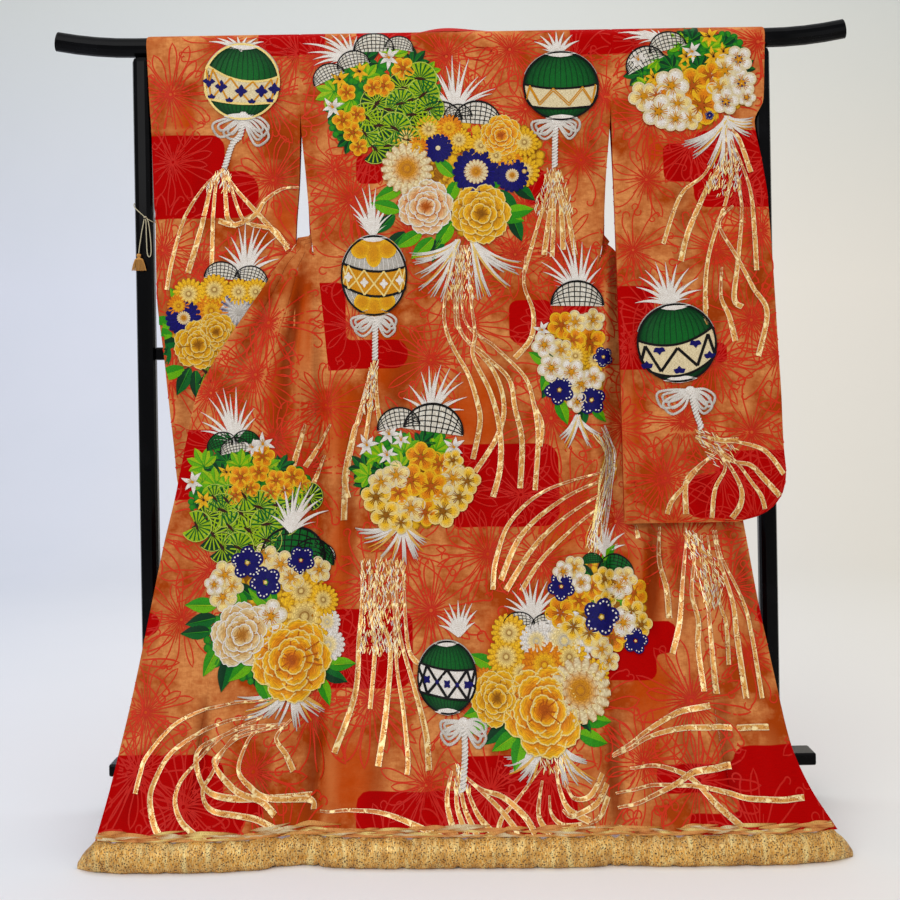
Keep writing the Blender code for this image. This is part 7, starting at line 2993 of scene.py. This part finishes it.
class KimonoMotifs(bpy.types.PropertyGroup):
    stitch_shade: tint("Stitch shade", "Between the stitches", "b09c80")
    leaf_light: tint("Leaf light", "Where the metal leaf shines", "f8dfa0")
    # Painted shade along the metal leaf.
    leaf_dull: tint("Leaf dull", "Where the metal leaf lies in shade", "a06c34")
    leaf_worn: tint("Leaf worn", "Where the metal leaf is broken", "a04c14")
    ribbon: measure("Ribbon width", "Width of the gold ribbons", 0.0104, 0.002, 0.05)


class KIMONO_OT_motifs(bpy.types.Operator):
    """Lay the bouquets, thread balls, bows, sprays and ribbons"""

    bl_idname = "kimono.motifs"
    bl_label = "Embroidery"

    def execute(self, context):
        settings = context.scene.kimono_motifs
        silk, leaf_gold = silk_thread(settings), gold_leaf(settings)
        near = [(name, name, 0.0, 0.0) for name in ("back", "left_sleeve", "right_sleeve")]
        for name, like, across, up in near + list(FAR_WORK):
            panels, side, _ = GROUND_SIDES[name]
            surface = seen_surface(panels, side)
            moved = Matrix.Translation((across * MM, 0.0, up * MM))
            for make in (bouquets, sprays, balls, ribbons):
                bm = make(like, settings)
                bmesh.ops.transform(bm, matrix=moved, verts=bm.verts[:])
                material = leaf_gold if make is ribbons else silk
                piece_of_work(bm, f"{make.__name__}_{name}", surface, material)
        return {"FINISHED"}


class KIMONO_PT_panel(bpy.types.Panel):
    """The kimono's pieces, in the order they are made"""

    bl_idname = "KIMONO_PT_panel"
    bl_label = "Kimono"
    bl_space_type = "VIEW_3D"
    bl_region_type = "UI"
    bl_category = "Kimono"

    def draw(self, context):
        for group, operator in STEPS:
            box = self.layout.box()
            box.operator(operator)
            settings = getattr(context.scene, group, None)
            if settings:
                for prop in settings.bl_rna.properties:
                    if not prop.is_readonly and prop.identifier != "name":
                        box.prop(settings, prop.identifier)


GROUPS = {
    "kimono_stage": KimonoStage,
    "kimono_tie": KimonoTie,
    "kimono_cloth": KimonoCloth,
    "kimono_hem": KimonoHem,
    "kimono_lines": KimonoLines,
    "kimono_motifs": KimonoMotifs,
    "kimono_stand": KimonoStand,
}
STEPS = (
    ("kimono_stage", "kimono.stage"),
    ("kimono_tie", "kimono.tie"),
    ("kimono_cloth", "kimono.cloth"),
    ("kimono_hem", "kimono.hem"),
    ("kimono_lines", "kimono.lines"),
    ("kimono_motifs", "kimono.motifs"),
    ("kimono_stand", "kimono.stand"),
)
CLASSES = (
    *GROUPS.values(), KIMONO_OT_stage, KIMONO_OT_tie, KIMONO_OT_cloth, KIMONO_OT_hem,
    KIMONO_OT_lines, KIMONO_OT_motifs, KIMONO_OT_stand, KIMONO_PT_panel,
)


def register():
    for each in CLASSES:
        bpy.utils.register_class(each)
    for name, group in GROUPS.items():
        setattr(bpy.types.Scene, name, bpy.props.PointerProperty(type=group))


def unregister():
    for name in GROUPS:
        delattr(bpy.types.Scene, name)
    for each in reversed(CLASSES):
        bpy.utils.unregister_class(each)


def main():
    register()
    for _, operator in STEPS:
        getattr(bpy.ops.kimono, operator.removeprefix("kimono."))()
    with open("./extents.json", "w") as out:
        json.dump({"cad": [list(c) for c in CAD_BOX], "visual": [list(c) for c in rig.bounds()]}, out)


if __name__ == "__main__":
    main()
